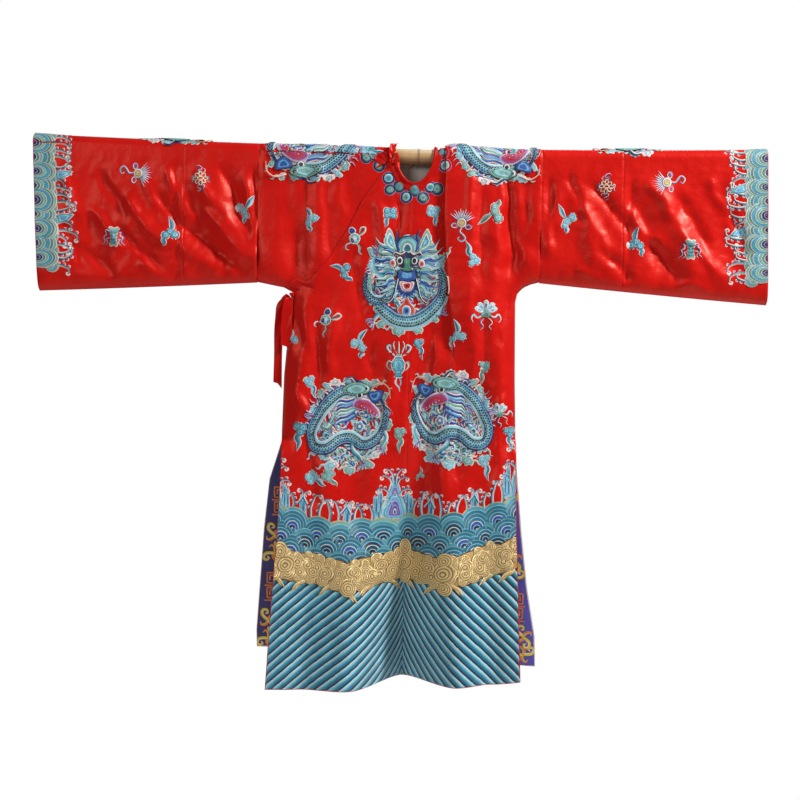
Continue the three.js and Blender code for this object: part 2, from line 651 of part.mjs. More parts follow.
// The pole: a stick of bamboo with a swollen ring at each node, and a gentle bow.
const POLE_NODES = [-790, -420, 18, 380, 740];
const NODE_HALF = 5;
function pole() {
  const profile = [
    [0, POLE_RIGHT_END],
    [POLE_R, POLE_RIGHT_END],
    ...POLE_NODES.flatMap((x) => [
      [POLE_R, x - NODE_HALF],
      [POLE_NODE_R, x],
      [POLE_R, x + NODE_HALF],
    ]),
    [POLE_R, POLE_LEFT_END],
    [0, POLE_LEFT_END],
  ];
  const geometry = new THREE.LatheGeometry(profile.map(([r, h]) => new THREE.Vector2(r, h)), 20);
  geometry.deleteAttribute("normal");
  geometry.deleteAttribute("uv");
  geometry.rotateZ(-Math.PI / 2);
  const place = geometry.getAttribute("position");
  for (let i = 0; i < place.count; i++) {
    const p = bowed(new THREE.Vector3().fromBufferAttribute(place, i));
    place.setXYZ(i, p.x, p.y, p.z);
  }
  return geometry;
}

// A tied knot: a small rounded lump.
function knot(x, y, z, rx, ry, rz) {
  const geometry = new THREE.SphereGeometry(1, 12, 8);
  geometry.scale(rx, ry, rz);
  geometry.translate(x, y, z + POLE_BOW * (x / POLE_BOW_SPAN) ** 2);
  return geometry;
}

// ---------------------------------------------------------------- the robe

add("front_overlap", halfOf(outerFront(), true), embroidered);
add("front_left", halfOf(outerFront(), false), embroidered);
add("front_under", underFront(), silk);
add("back_right", halfOf(back(), true), embroidered);
add("back_left", halfOf(back(), false), embroidered);
for (const [name, sleeve] of Object.entries(SLEEVES)) {
  add(`sleeve_${name}_upper`, sleeveLength(sleeve, sleeve.seam, sleeve.piecing, 5), silk);
  add(`sleeve_${name}_lower`, sleeveLength(sleeve, sleeve.piecing, sleeve.cuffTop, 8), embroidered);
}
add("neck_binding", neckBinding(), silk);
add("neck_lining", neckLining(), lining);
add("slit_facing_right", slitFacing([0, 1, 2, 3], 0), brocade);
add("slit_facing_left", slitFacing([-4, -3, -2, -1], -1), brocade);

// The neck tie: a knot on the flap's corner, a flat tab, an upright loop and a small end. The
// side tie: a knot at the underarm with two hanging ends.
const TIE_THICK = 2.2;
const TIES = {
  neck_tie_tab: {
    width: 29,
    across: [0.62, 0, -0.78],
    path: [[-61.6, -27.8, -7], [-70, -27.6, -6.5], [-80, -27.2, -12], [-91, -26.6, -21]],
  },
  neck_tie_loop: {
    width: 15,
    across: [1, 0, 0.1],
    path: [[-51, -31, -8.6], [-52, -32, 5], [-51, -30, 17], [-47, -24, 26], [-43, -15, 30]],
  },
  neck_tie_end: {
    width: 10,
    across: [1, 0, 0.5],
    path: [[-43.6, -34, -20], [-38, -35.5, -14], [-38, -36, -5], [-42, -35, 3]],
  },
  side_tie_front: {
    width: 28,
    across: [1, 0, 0],
    path: [[-305.5, -18.5, -373.6], [-312, -21.5, -390], [-315, -21.5, -440], [-315, -20.5, -500]],
  },
  side_tie_back: {
    width: 21,
    across: [0.85, 0.5, 0],
    path: [[-312.8, -17, -367.6], [-322, -13.6, -381], [-333, -10, -404], [-336, -9, -470], [-336, -8, -596]],
  },
};
add("neck_tie_knot", knot(-52.6, -31.4, -17, 8, 6.5, 8), silk);
add("side_tie_knot", knot(-302.6, -17.6, -366, 8, 6, 7.5), silk);
for (const [name, { width, across, path }] of Object.entries(TIES)) {
  add(name, ribbon(path, width, TIE_THICK, across, 8), silk);
}

add("bamboo_pole", pole(), bamboo);

export default root;
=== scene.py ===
# %% [markdown]
# # A silk dragon robe on a bamboo pole
# The robe is cut like a T: two fronts, two backs and two lengths of sleeve on each side, all red
# silk satin, sewn with floss silk and gold. It hangs over a pole, so every piece goes over the pole
# as a smooth curve and then falls. This lesson first writes down how the cloth hangs, as one rule
# that turns a flat place on the cloth into a place in space. The panels and all the needlework are
# then laid out flat, as an embroiderer does, and carried onto the hang by that one rule.

import math

import bpy
import numpy as np
from mathutils import Matrix, Vector


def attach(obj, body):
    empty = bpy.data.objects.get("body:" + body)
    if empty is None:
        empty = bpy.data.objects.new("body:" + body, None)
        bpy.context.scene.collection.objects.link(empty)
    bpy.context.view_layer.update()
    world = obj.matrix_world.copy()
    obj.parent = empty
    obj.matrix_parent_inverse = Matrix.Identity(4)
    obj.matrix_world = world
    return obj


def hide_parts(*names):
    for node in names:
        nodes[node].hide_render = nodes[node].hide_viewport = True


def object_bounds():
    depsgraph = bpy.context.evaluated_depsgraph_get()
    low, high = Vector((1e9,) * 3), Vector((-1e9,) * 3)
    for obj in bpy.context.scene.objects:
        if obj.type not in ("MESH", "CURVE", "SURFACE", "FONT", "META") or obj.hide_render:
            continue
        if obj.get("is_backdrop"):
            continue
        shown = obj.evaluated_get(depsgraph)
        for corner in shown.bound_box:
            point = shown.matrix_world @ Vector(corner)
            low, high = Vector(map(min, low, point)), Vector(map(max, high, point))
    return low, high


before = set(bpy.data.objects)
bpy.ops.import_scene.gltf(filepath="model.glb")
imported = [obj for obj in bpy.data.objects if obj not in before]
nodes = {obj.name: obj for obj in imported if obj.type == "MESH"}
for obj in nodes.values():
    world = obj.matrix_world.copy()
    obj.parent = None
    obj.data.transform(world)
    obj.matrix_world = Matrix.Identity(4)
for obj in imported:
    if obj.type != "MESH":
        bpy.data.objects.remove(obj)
cad_box = [list(corner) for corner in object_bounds()]
rng = np.random.default_rng(1911)
print("CAD nodes", len(nodes), "box", cad_box)

# %% [markdown]
# The sizes of the hang are in millimetres, with the origin on the pole, x to the wearer's left and
# z up. A flat place is x across and w down the front from the shoulder fold, and w is negative down
# the back. Cloth of an even thickness needs only its middle surface worked out.

# %% Sizes of the hang
CLOTH = 1.4
HANG_R = 23.1  # middle of the cloth over the pole
ARC = HANG_R * math.pi / 2
SEAM_Y = 0.74
CLOSING = 62.0  # the two layers meet over this distance from a seam
LAYER = 2.5
BOW, BOW_SPAN = 14.5, 950.0
CENTRE_SEAM = 2.0
SLIT_TOP = -731.0
HEM = {"front": -1374.0, "back": -1343.0}
NECK_X, NECK_Z, NECK_HALF, NECK_DROP, NECK_BACK = 8.0, 23.0, 58.0, 103.0, 14.0
UNDER_EDGE, UNDER_HEM = -46.0, -900.0
SLEEVE_DEPTH = 380  # from the shoulder fold to a cuff's foot, for its slant
ARMHOLE = {"right": -336.0, "left": -322.0}

# height, then the edges: front right, front left, back right, back left, wing right, wing left
OUTLINE = np.array(
    [
        [-1400, -345, 304, -384, 362, -345, 304],
        [-1260, -339, 299, -389, 356, -339, 299],
        [-1130, -333, 294, -381, 332, -333, 294],
        [-980, -325, 288, -371, 312, -325, 288],
        [-850, -321, 286, -357, 298, -321, 286],
        [-731, -320, 284, -320, 284, -320, 284],
        [-575, -317, 279, -317, 279, -317, 279],
        [-375, -302, 276, -302, 276, -302, 276],
        [-352, -302, 276, -302, 276, -302, 281],
        [-336, -302, 276, -302, 276, -395, 296],
        [-328, -302, 276, -302, 276, -395, 312],
        [-322, -302, 276, -302, 276, -395, 338],
        [60, -302, 276, -302, 276, -395, 338],
    ],
    float,
)
FRONT_RIGHT, FRONT_LEFT, BACK_RIGHT, BACK_LEFT, WING_RIGHT, WING_LEFT = range(1, 7)
SLEEVE = {  # seam, piecing, cuff at the top and at the bottom, lower edge at the seam and at the cuff
    "right": (-395.0, -591.0, -980.0, -960.0, -336.0, -381.0),
    "left": (338.0, 548.0, 921.0, 928.0, -322.0, -379.0),
}
FLAP_EDGE = np.array(
    [[-420, -384], [-318, -381], [-252, -325], [-208, -271], [-164, -200]]
    + [[-127, -123], [-82, -56], [-46, -27], [-30, -6]],
    float,
)
FLARE = np.array(
    [[-1400, 88, 118], [-1100, 58, 84], [-900, 30, 48], [-731, 14, 18], [-420, 6, 5]] + [[-150, 2, 2],
        [60, 0, 0]],
    float,
)
PLEAT = np.array(  # height, middle, reach, rise, half width
    [[-1400, 122, 0, 0, 40], [-620, 122, 0, 0, 40], [-450, 116, 19, 12, 40], [-330, 110, 29, 17, 40]]
    + [[-150, 98, 29, 17, 40], [-60, 94, 20, 13, 34], [0, 89, 12, 9, 29], [60, 84, 8, 6, 26]],
    float,
)
FRONT_LIFT = np.array([[-360, 0], [-120, 2], [0, 18], [130, 16], [240, 22], [320, 34]], float)
BACK_LIFT = np.array([[-380, 39], [0, 20], [360, 0]], float)


def column(table, key, number=1):
    """One column of a table, read at a key between its rows."""
    return np.interp(key, table[:, 0], table[:, number])


def smooth(v):
    k = np.clip(v, 0, 1)
    return k * k * (3 - 2 * k)


print("outline rows", len(OUTLINE))

# %% [markdown]
# The long soft folds come from how the robe hangs: the skirt falls back at the centre, the side
# panels swing out, and the sleeves slant off the pole. Each is a line with a width and a depth at
# its two ends, and the cloth's depth is the sum of them. The same table holds the finer creases
# that satin keeps after it is folded, which are narrow, uneven and mostly slanted.

# %% Long folds
LONG_FRONT = [  # top x and z, foot x and z, half width at each, depth at each
    (6, -740, 0, -1400, 46, 78, 0, -178),
    (-130, -860, -142, -1400, 40, 52, 0, 20),
    (128, -820, 140, -1400, 34, 42, 4, 22),
    (215, -900, 226, -1400, 30, 40, -4, -24),
    (-238, -880, -246, -1400, 30, 44, -2, -14),
    (58, -430, 34, -860, 22, 26, -5, -11),
    (112, -520, 96, -900, 24, 26, 6, 10),
    (-150, -560, -118, -980, 28, 30, -3, -9),
    (-214, -520, -196, -1000, 30, 34, 4, 9),
    (262, -20, 270, -330, 15, 22, -3, -8),
    (212, -40, 206, -520, 30, 34, 3, 9),
    (-268, -40, -300, -330, 18, 22, -2, -8),
    (-214, -50, -240, -330, 26, 26, 2, 8),
    (-345, -30, -348, -300, 22, 22, 2, 6),
]
LONG_BACK = [
    (-10, -500, -6, -1400, 60, 80, 2, 34),
    (-158, -420, -176, -1400, 44, 58, -3, -40),
    (150, -460, 166, -1400, 44, 56, -3, -34),
    (-262, -600, -300, -1400, 36, 44, 2, 22),
    (236, -600, 278, -1400, 34, 42, 2, 18),
    (-272, -30, -296, -330, 18, 24, -2, -8),
    (258, -30, 272, -320, 18, 24, -2, -8),
    (-205, -40, -225, -420, 30, 34, 2, 8),
    (196, -40, 210, -420, 30, 34, 2, 8),
]
LONG_SLEEVE_FRONT = [
    (-560, -70, -392, -290, 16, 26, 3, 9),
    (-600, -120, -440, -320, 20, 24, -3, -7),
    (-690, -190, -500, -310, 20, 20, 3, 6),
    (-470, -40, -440, -180, 16, 18, -3, -5),
    (-850, -60, -800, -300, 34, 40, -2, -6),
    (420, -60, 480, -280, 18, 24, 3, 8),
    (560, -70, 660, -300, 18, 26, -3, -8),
    (640, -60, 740, -310, 20, 26, 3, 8),
    (770, -60, 846, -300, 26, 32, -3, -7),
    (-345, -30, -348, -300, 22, 22, 2, 6),
]
LONG_SLEEVE_BACK = [
    (-600, -80, -430, -290, 20, 28, 3, 8),
    (-720, -60, -640, -310, 24, 30, -3, -7),
    (500, -80, 400, -280, 20, 28, 3, 8),
    (640, -60, 590, -310, 24, 30, -3, -7),
]


def fold_depth(folds, x, z, widen=1.0, edge=2.0):
    """How far a set of folds pushes the cloth out at a place. A lower edge makes a sharper crest."""
    depth = np.zeros(np.broadcast(x, z).shape)
    for x0, z0, x1, z1, half0, half1, depth0, depth1 in folds:
        run_x, run_z = x1 - x0, z1 - z0
        k = ((x - x0) * run_x + (z - z0) * run_z) / (run_x**2 + run_z**2)
        along = np.clip(k, 0, 1)
        fade = smooth((k + 0.12) / 0.3)
        if z1 > -1390:
            fade = fade * (1 - smooth((k - 0.86) / 0.3))
        past = np.where((k < 0) | (k > 1), 0.4, 1.0)
        away = np.hypot(x - (x0 + run_x * along), (z - (z0 + run_z * along)) * past)
        half = widen * (half0 + (half1 - half0) * along)
        depth += (depth0 + (depth1 - depth0) * along) * fade * np.exp(-((away / half) ** edge))
    return depth


print("long folds", len(LONG_FRONT) + len(LONG_BACK) + len(LONG_SLEEVE_FRONT) + len(LONG_SLEEVE_BACK))

# %% [markdown]
# Fine creases are placed where the cloth is pulled: beside the armholes, down the chest,
# from the sleeve seams towards the cuffs, and in short marks where the robe was folded. Between
# them silk is never quite flat, so a soft seeded unevenness is added, finer and stronger where
# heavy needlework pulls the ground together.

# %% Fine creases
CREASE_FRONT = [
    (-262, -45, -292, -300, 8, 12, -3.5, -4),
    (-276, -60, -286, -210, 6, 8, 2.5, 2),
    (-240, -30, -262, -190, 7, 10, 2.5, 1.5),
    (-228, -60, -206, -250, 7, 9, -2, -2.5),
    (-188, -70, -176, -170, 7, 8, 2, 1.5),
    (252, -50, 270, -290, 8, 11, -3, -3.5),
    (268, -40, 284, -250, 6, 8, 2.5, 2),
    (232, -60, 226, -330, 8, 12, 2.5, 2.5),
    (176, -80, 186, -330, 9, 12, -3, -2.5),
    (152, -40, 160, -200, 7, 9, 2.5, 2),
    (150, -320, 172, -560, 9, 12, 2.5, 2),
    (196, -360, 190, -640, 9, 12, -2.5, -3),
    (238, -380, 250, -700, 9, 12, 2.5, 2.5),
    (262, -350, 232, -480, 8, 10, -2.5, -2),
    (-296, -400, -270, -520, 8, 10, -2.5, -2),
    (-262, -380, -282, -700, 9, 12, 2.5, 2.5),
    (-238, -420, -226, -620, 8, 11, -2.5, -2.5),
    (-190, -400, -204, -560, 8, 10, 2, 2),
    (-146, -250, -120, -420, 9, 10, -2, -2),
    (-92, -110, -70, -260, 9, 11, 2, 2.5),
    (-30, -120, -44, -250, 8, 10, -2, -1.5),
    (26, -510, 10, -700, 9, 12, -2.5, -3),
    (-44, -520, -40, -690, 8, 11, 2, 2.5),
    (-92, -500, -96, -640, 8, 10, -2, -2),
    (74, -480, 62, -640, 8, 11, 2.5, 2),
    (142, -600, 128, -820, 8, 11, -2, -2.5),
    (-40, -830, -52, -960, 9, 12, 2, 2.5),
    (-250, -720, -236, -900, 9, 12, -2, -2.5),
    (232, -720, 244, -900, 9, 12, 2.5, 2),
    (56, -700, 74, -900, 9, 12, -2.5, -2.5),
    (-286, -620, -250, -680, 7, 8, 2, 2),
    (256, -600, 214, -650, 7, 8, -2, -2),
    (-330, -60, -312, -250, 8, 10, -2.5, -2.5),
    (-372, -60, -366, -240, 8, 9, -2, -2),
    (304, -50, 300, -250, 8, 10, -2, -3),
    (322, -90, 296, -270, 7, 9, 2, 2.5),
]
CREASE_BACK = [
    (-262, -45, -292, -300, 8, 12, -3, -4),
    (-244, -40, -250, -220, 7, 10, 2.5, 2),
    (-190, -60, -176, -280, 8, 11, -2, -2.5),
    (-120, -80, -132, -320, 9, 12, 2, 2),
    (-60, -60, -48, -240, 8, 11, -2, -2),
    (30, -70, 20, -320, 9, 12, 2, 2.5),
    (96, -60, 108, -260, 8, 11, -2.5, -2),
    (170, -70, 162, -330, 8, 12, 2, 2.5),
    (248, -50, 268, -290, 8, 11, -3, -3.5),
    (-282, -400, -262, -640, 9, 12, 2.5, 2.5),
    (-226, -420, -240, -620, 8, 11, -2.5, -2),
    (-100, -380, -90, -620, 9, 12, 2, 2.5),
    (-10, -420, 2, -700, 9, 12, -2, -2.5),
    (70, -400, 84, -620, 9, 12, 2.5, 2),
    (142, -420, 130, -700, 9, 12, -2.5, -2.5),
    (240, -380, 252, -660, 9, 12, 2.5, 2.5),
    (-230, -680, -214, -900, 9, 12, -2, -2.5),
    (-60, -700, -70, -900, 9, 12, 2.5, 2),
    (60, -720, 54, -900, 9, 12, -2, -2.5),
    (210, -700, 226, -900, 9, 12, 2, 2.5),
    (-330, -60, -316, -250, 8, 10, -2.5, -2.5),
    (304, -50, 300, -250, 8, 10, -2, -3),
]
CREASE_SLEEVE_FRONT = [
    (-412, -36, -404, -180, 7, 9, -3, -2.5),
    (-436, -70, -404, -230, 7, 10, 3, 3),
    (-500, -50, -424, -190, 7, 10, -3, -3),
    (-530, -150, -430, -280, 8, 11, 3, 3.5),
    (-580, -200, -470, -300, 8, 10, -3, -3),
    (-560, -60, -520, -130, 7, 9, 2.5, 2),
    (-640, -60, -560, -180, 8, 10, 3, 2.5),
    (-660, -120, -560, -230, 8, 10, -3, -3),
    (-700, -60, -660, -150, 8, 9, 2, 2),
    (-740, -130, -640, -250, 8, 11, 3, 3),
    (-760, -210, -650, -310, 8, 10, -3, -3),
    (-810, -70, -740, -170, 8, 10, -2.5, -2.5),
    (-830, -160, -750, -270, 8, 10, 3, 2.5),
    (-860, -260, -760, -330, 8, 10, -2.5, -2.5),
    (-900, -80, -850, -190, 8, 10, 2.5, 2),
    (-900, -200, -840, -320, 8, 10, -2.5, -2.5),
    (-500, -280, -440, -322, 7, 8, 2.5, 2),
    (-690, -300, -620, -345, 7, 8, 2.5, 2),
    (-610, -40, -600, -330, 6, 7, -1.8, -1.8),
    (356, -50, 372, -220, 7, 10, -3, -2.5),
    (382, -80, 350, -250, 7, 10, 3, 3),
    (410, -40, 450, -170, 7, 9, -2.5, -3),
    (440, -120, 520, -250, 8, 11, 3, 3),
    (470, -70, 560, -190, 8, 10, -3, -3),
    (500, -230, 570, -320, 8, 10, -3, -2.5),
    (560, -130, 650, -240, 8, 10, 3, 3),
    (600, -60, 680, -150, 8, 10, 2.5, 2.5),
    (620, -220, 700, -320, 8, 10, -3, -2.5),
    (690, -100, 770, -220, 8, 10, -3, -3),
    (700, -190, 800, -310, 8, 10, 3, 3),
    (760, -60, 820, -150, 8, 9, 2.5, 2),
    (820, -130, 870, -260, 8, 10, -2.5, -2.5),
    (430, -290, 500, -325, 7, 8, 2.5, 2),
    (690, -320, 780, -352, 7, 8, 2.5, 2),
    (566, -40, 560, -330, 6, 7, -1.8, -1.8),
]
CREASE_SLEEVE_BACK = [
    (-420, -50, -406, -220, 7, 10, -3, -3),
    (-520, -70, -430, -220, 8, 11, 3, 3),
    (-600, -150, -480, -300, 8, 11, -3, -3),
    (-690, -80, -600, -220, 8, 11, 3, 3),
    (-760, -150, -650, -300, 8, 11, -3, -3),
    (-850, -90, -770, -240, 8, 11, 3, 2.5),
    (-900, -160, -830, -320, 8, 10, -2.5, -2.5),
    (360, -50, 350, -230, 7, 10, -3, -3),
    (470, -70, 390, -220, 8, 11, 3, 3),
    (550, -140, 450, -290, 8, 11, -3, -3),
    (650, -80, 560, -220, 8, 11, 3, 3),
    (720, -150, 620, -300, 8, 11, -3, -3),
    (810, -90, 730, -240, 8, 11, 3, 2.5),
    (870, -160, 800, -320, 8, 10, -2.5, -2.5),
]
CREASE, WIDEN, PUCKER = 3.2, 1.5, 2.0  # how strongly the creases and the unevenness show
LATTICE = rng.random((64, 64))


def uneven(x, z, grain, shift):
    """Seeded soft noise from -1 to 1 with bumps about one grain across."""
    u, v = x / grain + shift, z / grain + shift * 1.7
    i, j = np.floor(u).astype(int), np.floor(v).astype(int)
    a, b = smooth(u - i), smooth(v - j)
    at = lambda p, q: LATTICE[p % 64, q % 64]
    low = at(i, j) * (1 - a) + at(i + 1, j) * a
    high = at(i, j + 1) * (1 - a) + at(i + 1, j + 1) * a
    return 2 * (low * (1 - b) + high * b) - 1


def creases(front_folds, back_folds, x, z, front):
    """The fine creases, bent a little so that none is straight."""
    bent_x, bent_z = x + 8 * uneven(x, z, 46, 2), z + 8 * uneven(x, z, 46, 9)
    sets = [fold_depth(folds, bent_x, bent_z, WIDEN, 1.6) for folds in (front_folds, back_folds)]
    return np.where(front, *sets)


def pucker(x, z, side):
    shift = np.where(side < 0, 3.1, 17.3)
    slant = x * 0.5 * np.where(np.abs(x) > 300, 1, 0.15)
    broad = 1.5 * uneven(x + z * 0.2, z * 0.5 + slant, 58, shift)
    fine = 0.8 * uneven(x - z * 0.15, z * 0.6 - slant, 24, shift + 5)
    tight = 0.32 * uneven(x, z, 10, shift + 9)
    border = smooth((-880 - z) / 60)
    return (broad + fine) * (1 - 0.75 * border) + tight


print("fine creases", len(CREASE_FRONT) + len(CREASE_BACK) + len(CREASE_SLEEVE_FRONT) + len(CREASE_SLEEVE_BACK))

# %% [markdown]
# Now the rule itself. Near a seam the front and back layers close up along a quarter circle, and
# the pleat beside the neck is an S pushed across the body. The body rule and the sleeve rule are
# joined at the sleeve seams, so one call carries any flat place to the hang. Directions come from
# small steps to each side of a place.

# %% From flat cloth to the hang
def seam_distance(x, z):
    nearest = np.full(np.broadcast(x, z).shape, 1e9)
    for number, armhole in ((WING_RIGHT, ARMHOLE["right"]), (WING_LEFT, ARMHOLE["left"])):
        rows = OUTLINE[(OUTLINE[:, 0] <= armhole) & (OUTLINE[:, 0] >= SLIT_TOP)][:, [number, 0]]
        here = (x < 0) == (number == WING_RIGHT)
        for (ax, az), (bx, bz) in zip(rows[:-1], rows[1:]):
            k = np.clip(((x - ax) * (bx - ax) + (z - az) * (bz - az)) / ((bx - ax) ** 2 + (bz - az) ** 2),
                0, 1)
            away = np.hypot(x - ax - (bx - ax) * k, z - az - (bz - az) * k)
            nearest = np.where(here, np.minimum(nearest, away), nearest)
    return nearest


def opening(distance):
    return np.sqrt(1 - (1 - np.clip((distance - 0.2) / CLOSING, 0, 1)) ** 2)


def hang_point(x, t, side, depth, gape, rest):
    """A place x across and t down, standing off the pole by depth, with a share gape of its room."""
    stand = HANG_R + depth
    angle = np.minimum(t, ARC) / HANG_R
    over = t < ARC
    y = np.where(over, side * stand * np.sin(angle), side * (rest + (stand - rest) * gape))
    z = np.where(over, stand * np.cos(angle), ARC - t)
    return np.stack([x, y, z + BOW * (x / BOW_SPAN) ** 2], -1)


def on_body(x, t, side):
    z = np.where(t < ARC, HANG_R * np.cos(np.minimum(t, ARC) / HANG_R), ARC - t)
    front = side < 0
    z_pleat = np.where(front, z, 0)
    fade = np.where(front, 1, 1 - smooth(t / 150))
    half = column(PLEAT, z_pleat, 4)
    across = (x - column(PLEAT, z_pleat, 1)) / half
    shift = np.where(np.abs(across) < 1, -column(PLEAT, z_pleat, 2) * fade * np.sin(math.pi * across), 0)
    eased = 1 - smooth((across - 1) * half / 120)
    rise = column(PLEAT, z_pleat, 3) * fade * smooth((across + 1) / 2) * eased
    below = np.clip((t - ARC) / 40, 0, 1)
    long = np.where(front, fold_depth(LONG_FRONT, x, z), fold_depth(LONG_BACK, x, z))
    fine = creases(CREASE_FRONT, CREASE_BACK, x, z, front)
    flare = np.where(front, column(FLARE, z, 1), column(FLARE, z, 2))
    gape = opening(seam_distance(x, z))
    soft = (CREASE * fine + PUCKER * pucker(x, z, side)) * below * np.clip(gape * 1.3, 0, 1)
    depth = rise + np.where(t < ARC, 0, long + flare) + soft
    return hang_point(x + shift, t, side, depth, gape, SEAM_Y)


def sleeve_lower(x, z=-350.0):
    """The height of the sleeve's lower edge at x."""
    lower = np.zeros(np.broadcast(x, z).shape)
    for which, (seam, _, top, bottom, seam_z, cuff_z) in SLEEVE.items():
        cuff = top + (bottom - top) * np.clip(-z / SLEEVE_DEPTH, 0, 1)
        share = (x - seam) / (cuff - seam)
        lower = np.where((x < 0) == (which == "right"), seam_z + (cuff_z - seam_z) * share, lower)
    return lower


BOTTOM_FOLD = 2.4
BELOW_SLEEVES = 440.0  # flat distance down at which only the body is left


def on_sleeve(x, t, side):
    z = np.where(t < ARC, HANG_R * np.cos(np.minimum(t, ARC) / HANG_R), ARC - t)
    front = side < 0
    below = np.clip((t - ARC) / 40, 0, 1)
    long = np.where(front, 1.5 * fold_depth(LONG_SLEEVE_FRONT, x, z),
        1.5 * fold_depth(LONG_SLEEVE_BACK, x, z))
    fine = creases(CREASE_SLEEVE_FRONT, CREASE_SLEEVE_BACK, x, z, front)
    gape = opening(z - sleeve_lower(x, z))
    soft = (CREASE * fine + PUCKER * pucker(x, z, side)) * below * np.clip(gape * 1.3, 0, 1)
    depth = (long + column(FLARE, z, 1)) * below + soft
    return hang_point(x, t, side, depth, gape, BOTTOM_FOLD)


def cloth_at(x, w):
    """The middle of the cloth at a flat place: w down the front, or down the back where negative."""
    x, w = np.broadcast_arrays(np.asarray(x, float), np.asarray(w, float))
    side, t = np.where(w >= 0, -1.0, 1.0), np.abs(w)
    sleeve = ((x < SLEEVE["right"][0]) | (x > SLEEVE["left"][0])) & (t < BELOW_SLEEVES)
    point = np.empty(x.shape + (3,))
    for mask, rule in ((sleeve, on_sleeve), (~sleeve, on_body)):
        if mask.any():
            point[mask] = rule(x[mask], t[mask], side[mask])
    return point


def unfold(x, w):
    """Flat places for needlework drawn as it is seen across the pleat, and which side of it each is on."""
    z = np.where(w > 0, ARC - np.maximum(w, ARC), PLEAT[0, 0])
    middle, reach, half = (column(PLEAT, z, k) for k in (1, 2, 4))
    turn = np.arccos(np.clip(half / np.maximum(reach * math.pi, 1e-6), -1, 1)) / math.pi
    edge = middle + turn * half - reach * np.sin(math.pi * turn)
    left = x < edge
    low = np.where(left, -1.0, turn)
    high = np.where(left, -turn, 1.0)
    for _ in range(22):
        guess = (low + high) / 2
        short = middle + guess * half - reach * np.sin(math.pi * guess) < x
        low, high = np.where(short, guess, low), np.where(short, high, guess)
    inside = (np.abs(x - middle) < half) & (reach > 0)
    return np.where(inside, middle + (low + high) / 2 * half, x), np.where(reach > 12, left, False)


def unit(v):
    return v / np.maximum(np.linalg.norm(v, axis=-1, keepdims=True), 1e-9)


def out_of_cloth(x, w, step=1.5):
    """The outward direction at flat places."""
    down = cloth_at(x, w + step) - cloth_at(x, w - step)
    across = cloth_at(x + step, w) - cloth_at(x - step, w)
    return unit(np.cross(down, across))


def on_flap(x, w):
    """1 where the outer front lies over the under front."""
    inside = (ARC - w < np.interp(x, FLAP_EDGE[:, 0], FLAP_EDGE[:, 1]))
    return np.where((w > 0) & ((x > -30) | inside) & (x < 285), 1.0, 0.0)


def layer_out(x, w):
    return LAYER * (1 - smooth(x / 60)) * on_flap(x, w)


def hem_w(x, side):
    """The flat place of the hem below x."""
    lift = column(FRONT_LIFT, x) if side < 0 else column(BACK_LIFT, x)
    return ARC - HEM["front" if side < 0 else "back"] - lift


print("middle of the front hem", cloth_at(0.0, hem_w(0.0, -1)))

# %% [markdown]
# A panel is a grid of places on the hang, given a thickness. Blender could thicken it with a
# Solidify modifier, but here both faces, the red outside and the lining, and a rounded rim are
# built at once, so the faces know which cloth they are. The grid's flat places go into a UV map
# in metres, and the weave follows them.

# %% A wall of cloth from a grid
MM = 0.001


def mesh_object(name, points, loops, sizes, materials, slots=None, uv=None, tints=None):
    """A mesh object from flat arrays: points in mm, loop indices and the size of each face."""
    mesh = bpy.data.meshes.new(name)
    mesh.vertices.add(len(points))
    mesh.vertices.foreach_set("co", (np.asarray(points, float) * MM).astype(np.float32).ravel())
    mesh.loops.add(len(loops))
    mesh.loops.foreach_set("vertex_index", np.asarray(loops, np.int32))
    mesh.polygons.add(len(sizes))
    starts = np.concatenate([[0], np.cumsum(sizes)[:-1]])
    mesh.polygons.foreach_set("loop_start", starts.astype(np.int32))
    mesh.polygons.foreach_set("loop_total", np.asarray(sizes, np.int32))
    for material in materials:
        mesh.materials.append(material)
    if slots is not None:
        mesh.polygons.foreach_set("material_index", np.asarray(slots, np.int32))
    mesh.update(calc_edges=True)
    if uv is not None:
        layer = mesh.uv_layers.new(name="flat")
        layer.data.foreach_set("uv", uv.astype(np.float32).ravel())
    if tints is not None:
        layer = mesh.color_attributes.new("floss", "FLOAT_COLOR", "CORNER")
        layer.data.foreach_set("color", tints.astype(np.float32).ravel())
    mesh.polygons.foreach_set("use_smooth", np.ones(len(sizes), bool))
    mesh.validate()
    thing = bpy.data.objects.new(name, mesh)
    bpy.context.scene.collection.objects.link(thing)
    return thing


def grid_normals(grid, loop):
    up = np.roll(grid, -1, 0) - np.roll(grid, 1, 0)
    up[0], up[-1] = grid[1] - grid[0], grid[-1] - grid[-2]
    side = np.roll(grid, -1, 1) - np.roll(grid, 1, 1)
    if not loop:
        side[:, 0], side[:, -1] = grid[:, 1] - grid[:, 0], grid[:, -1] - grid[:, -2]
    return unit(np.cross(up, side))


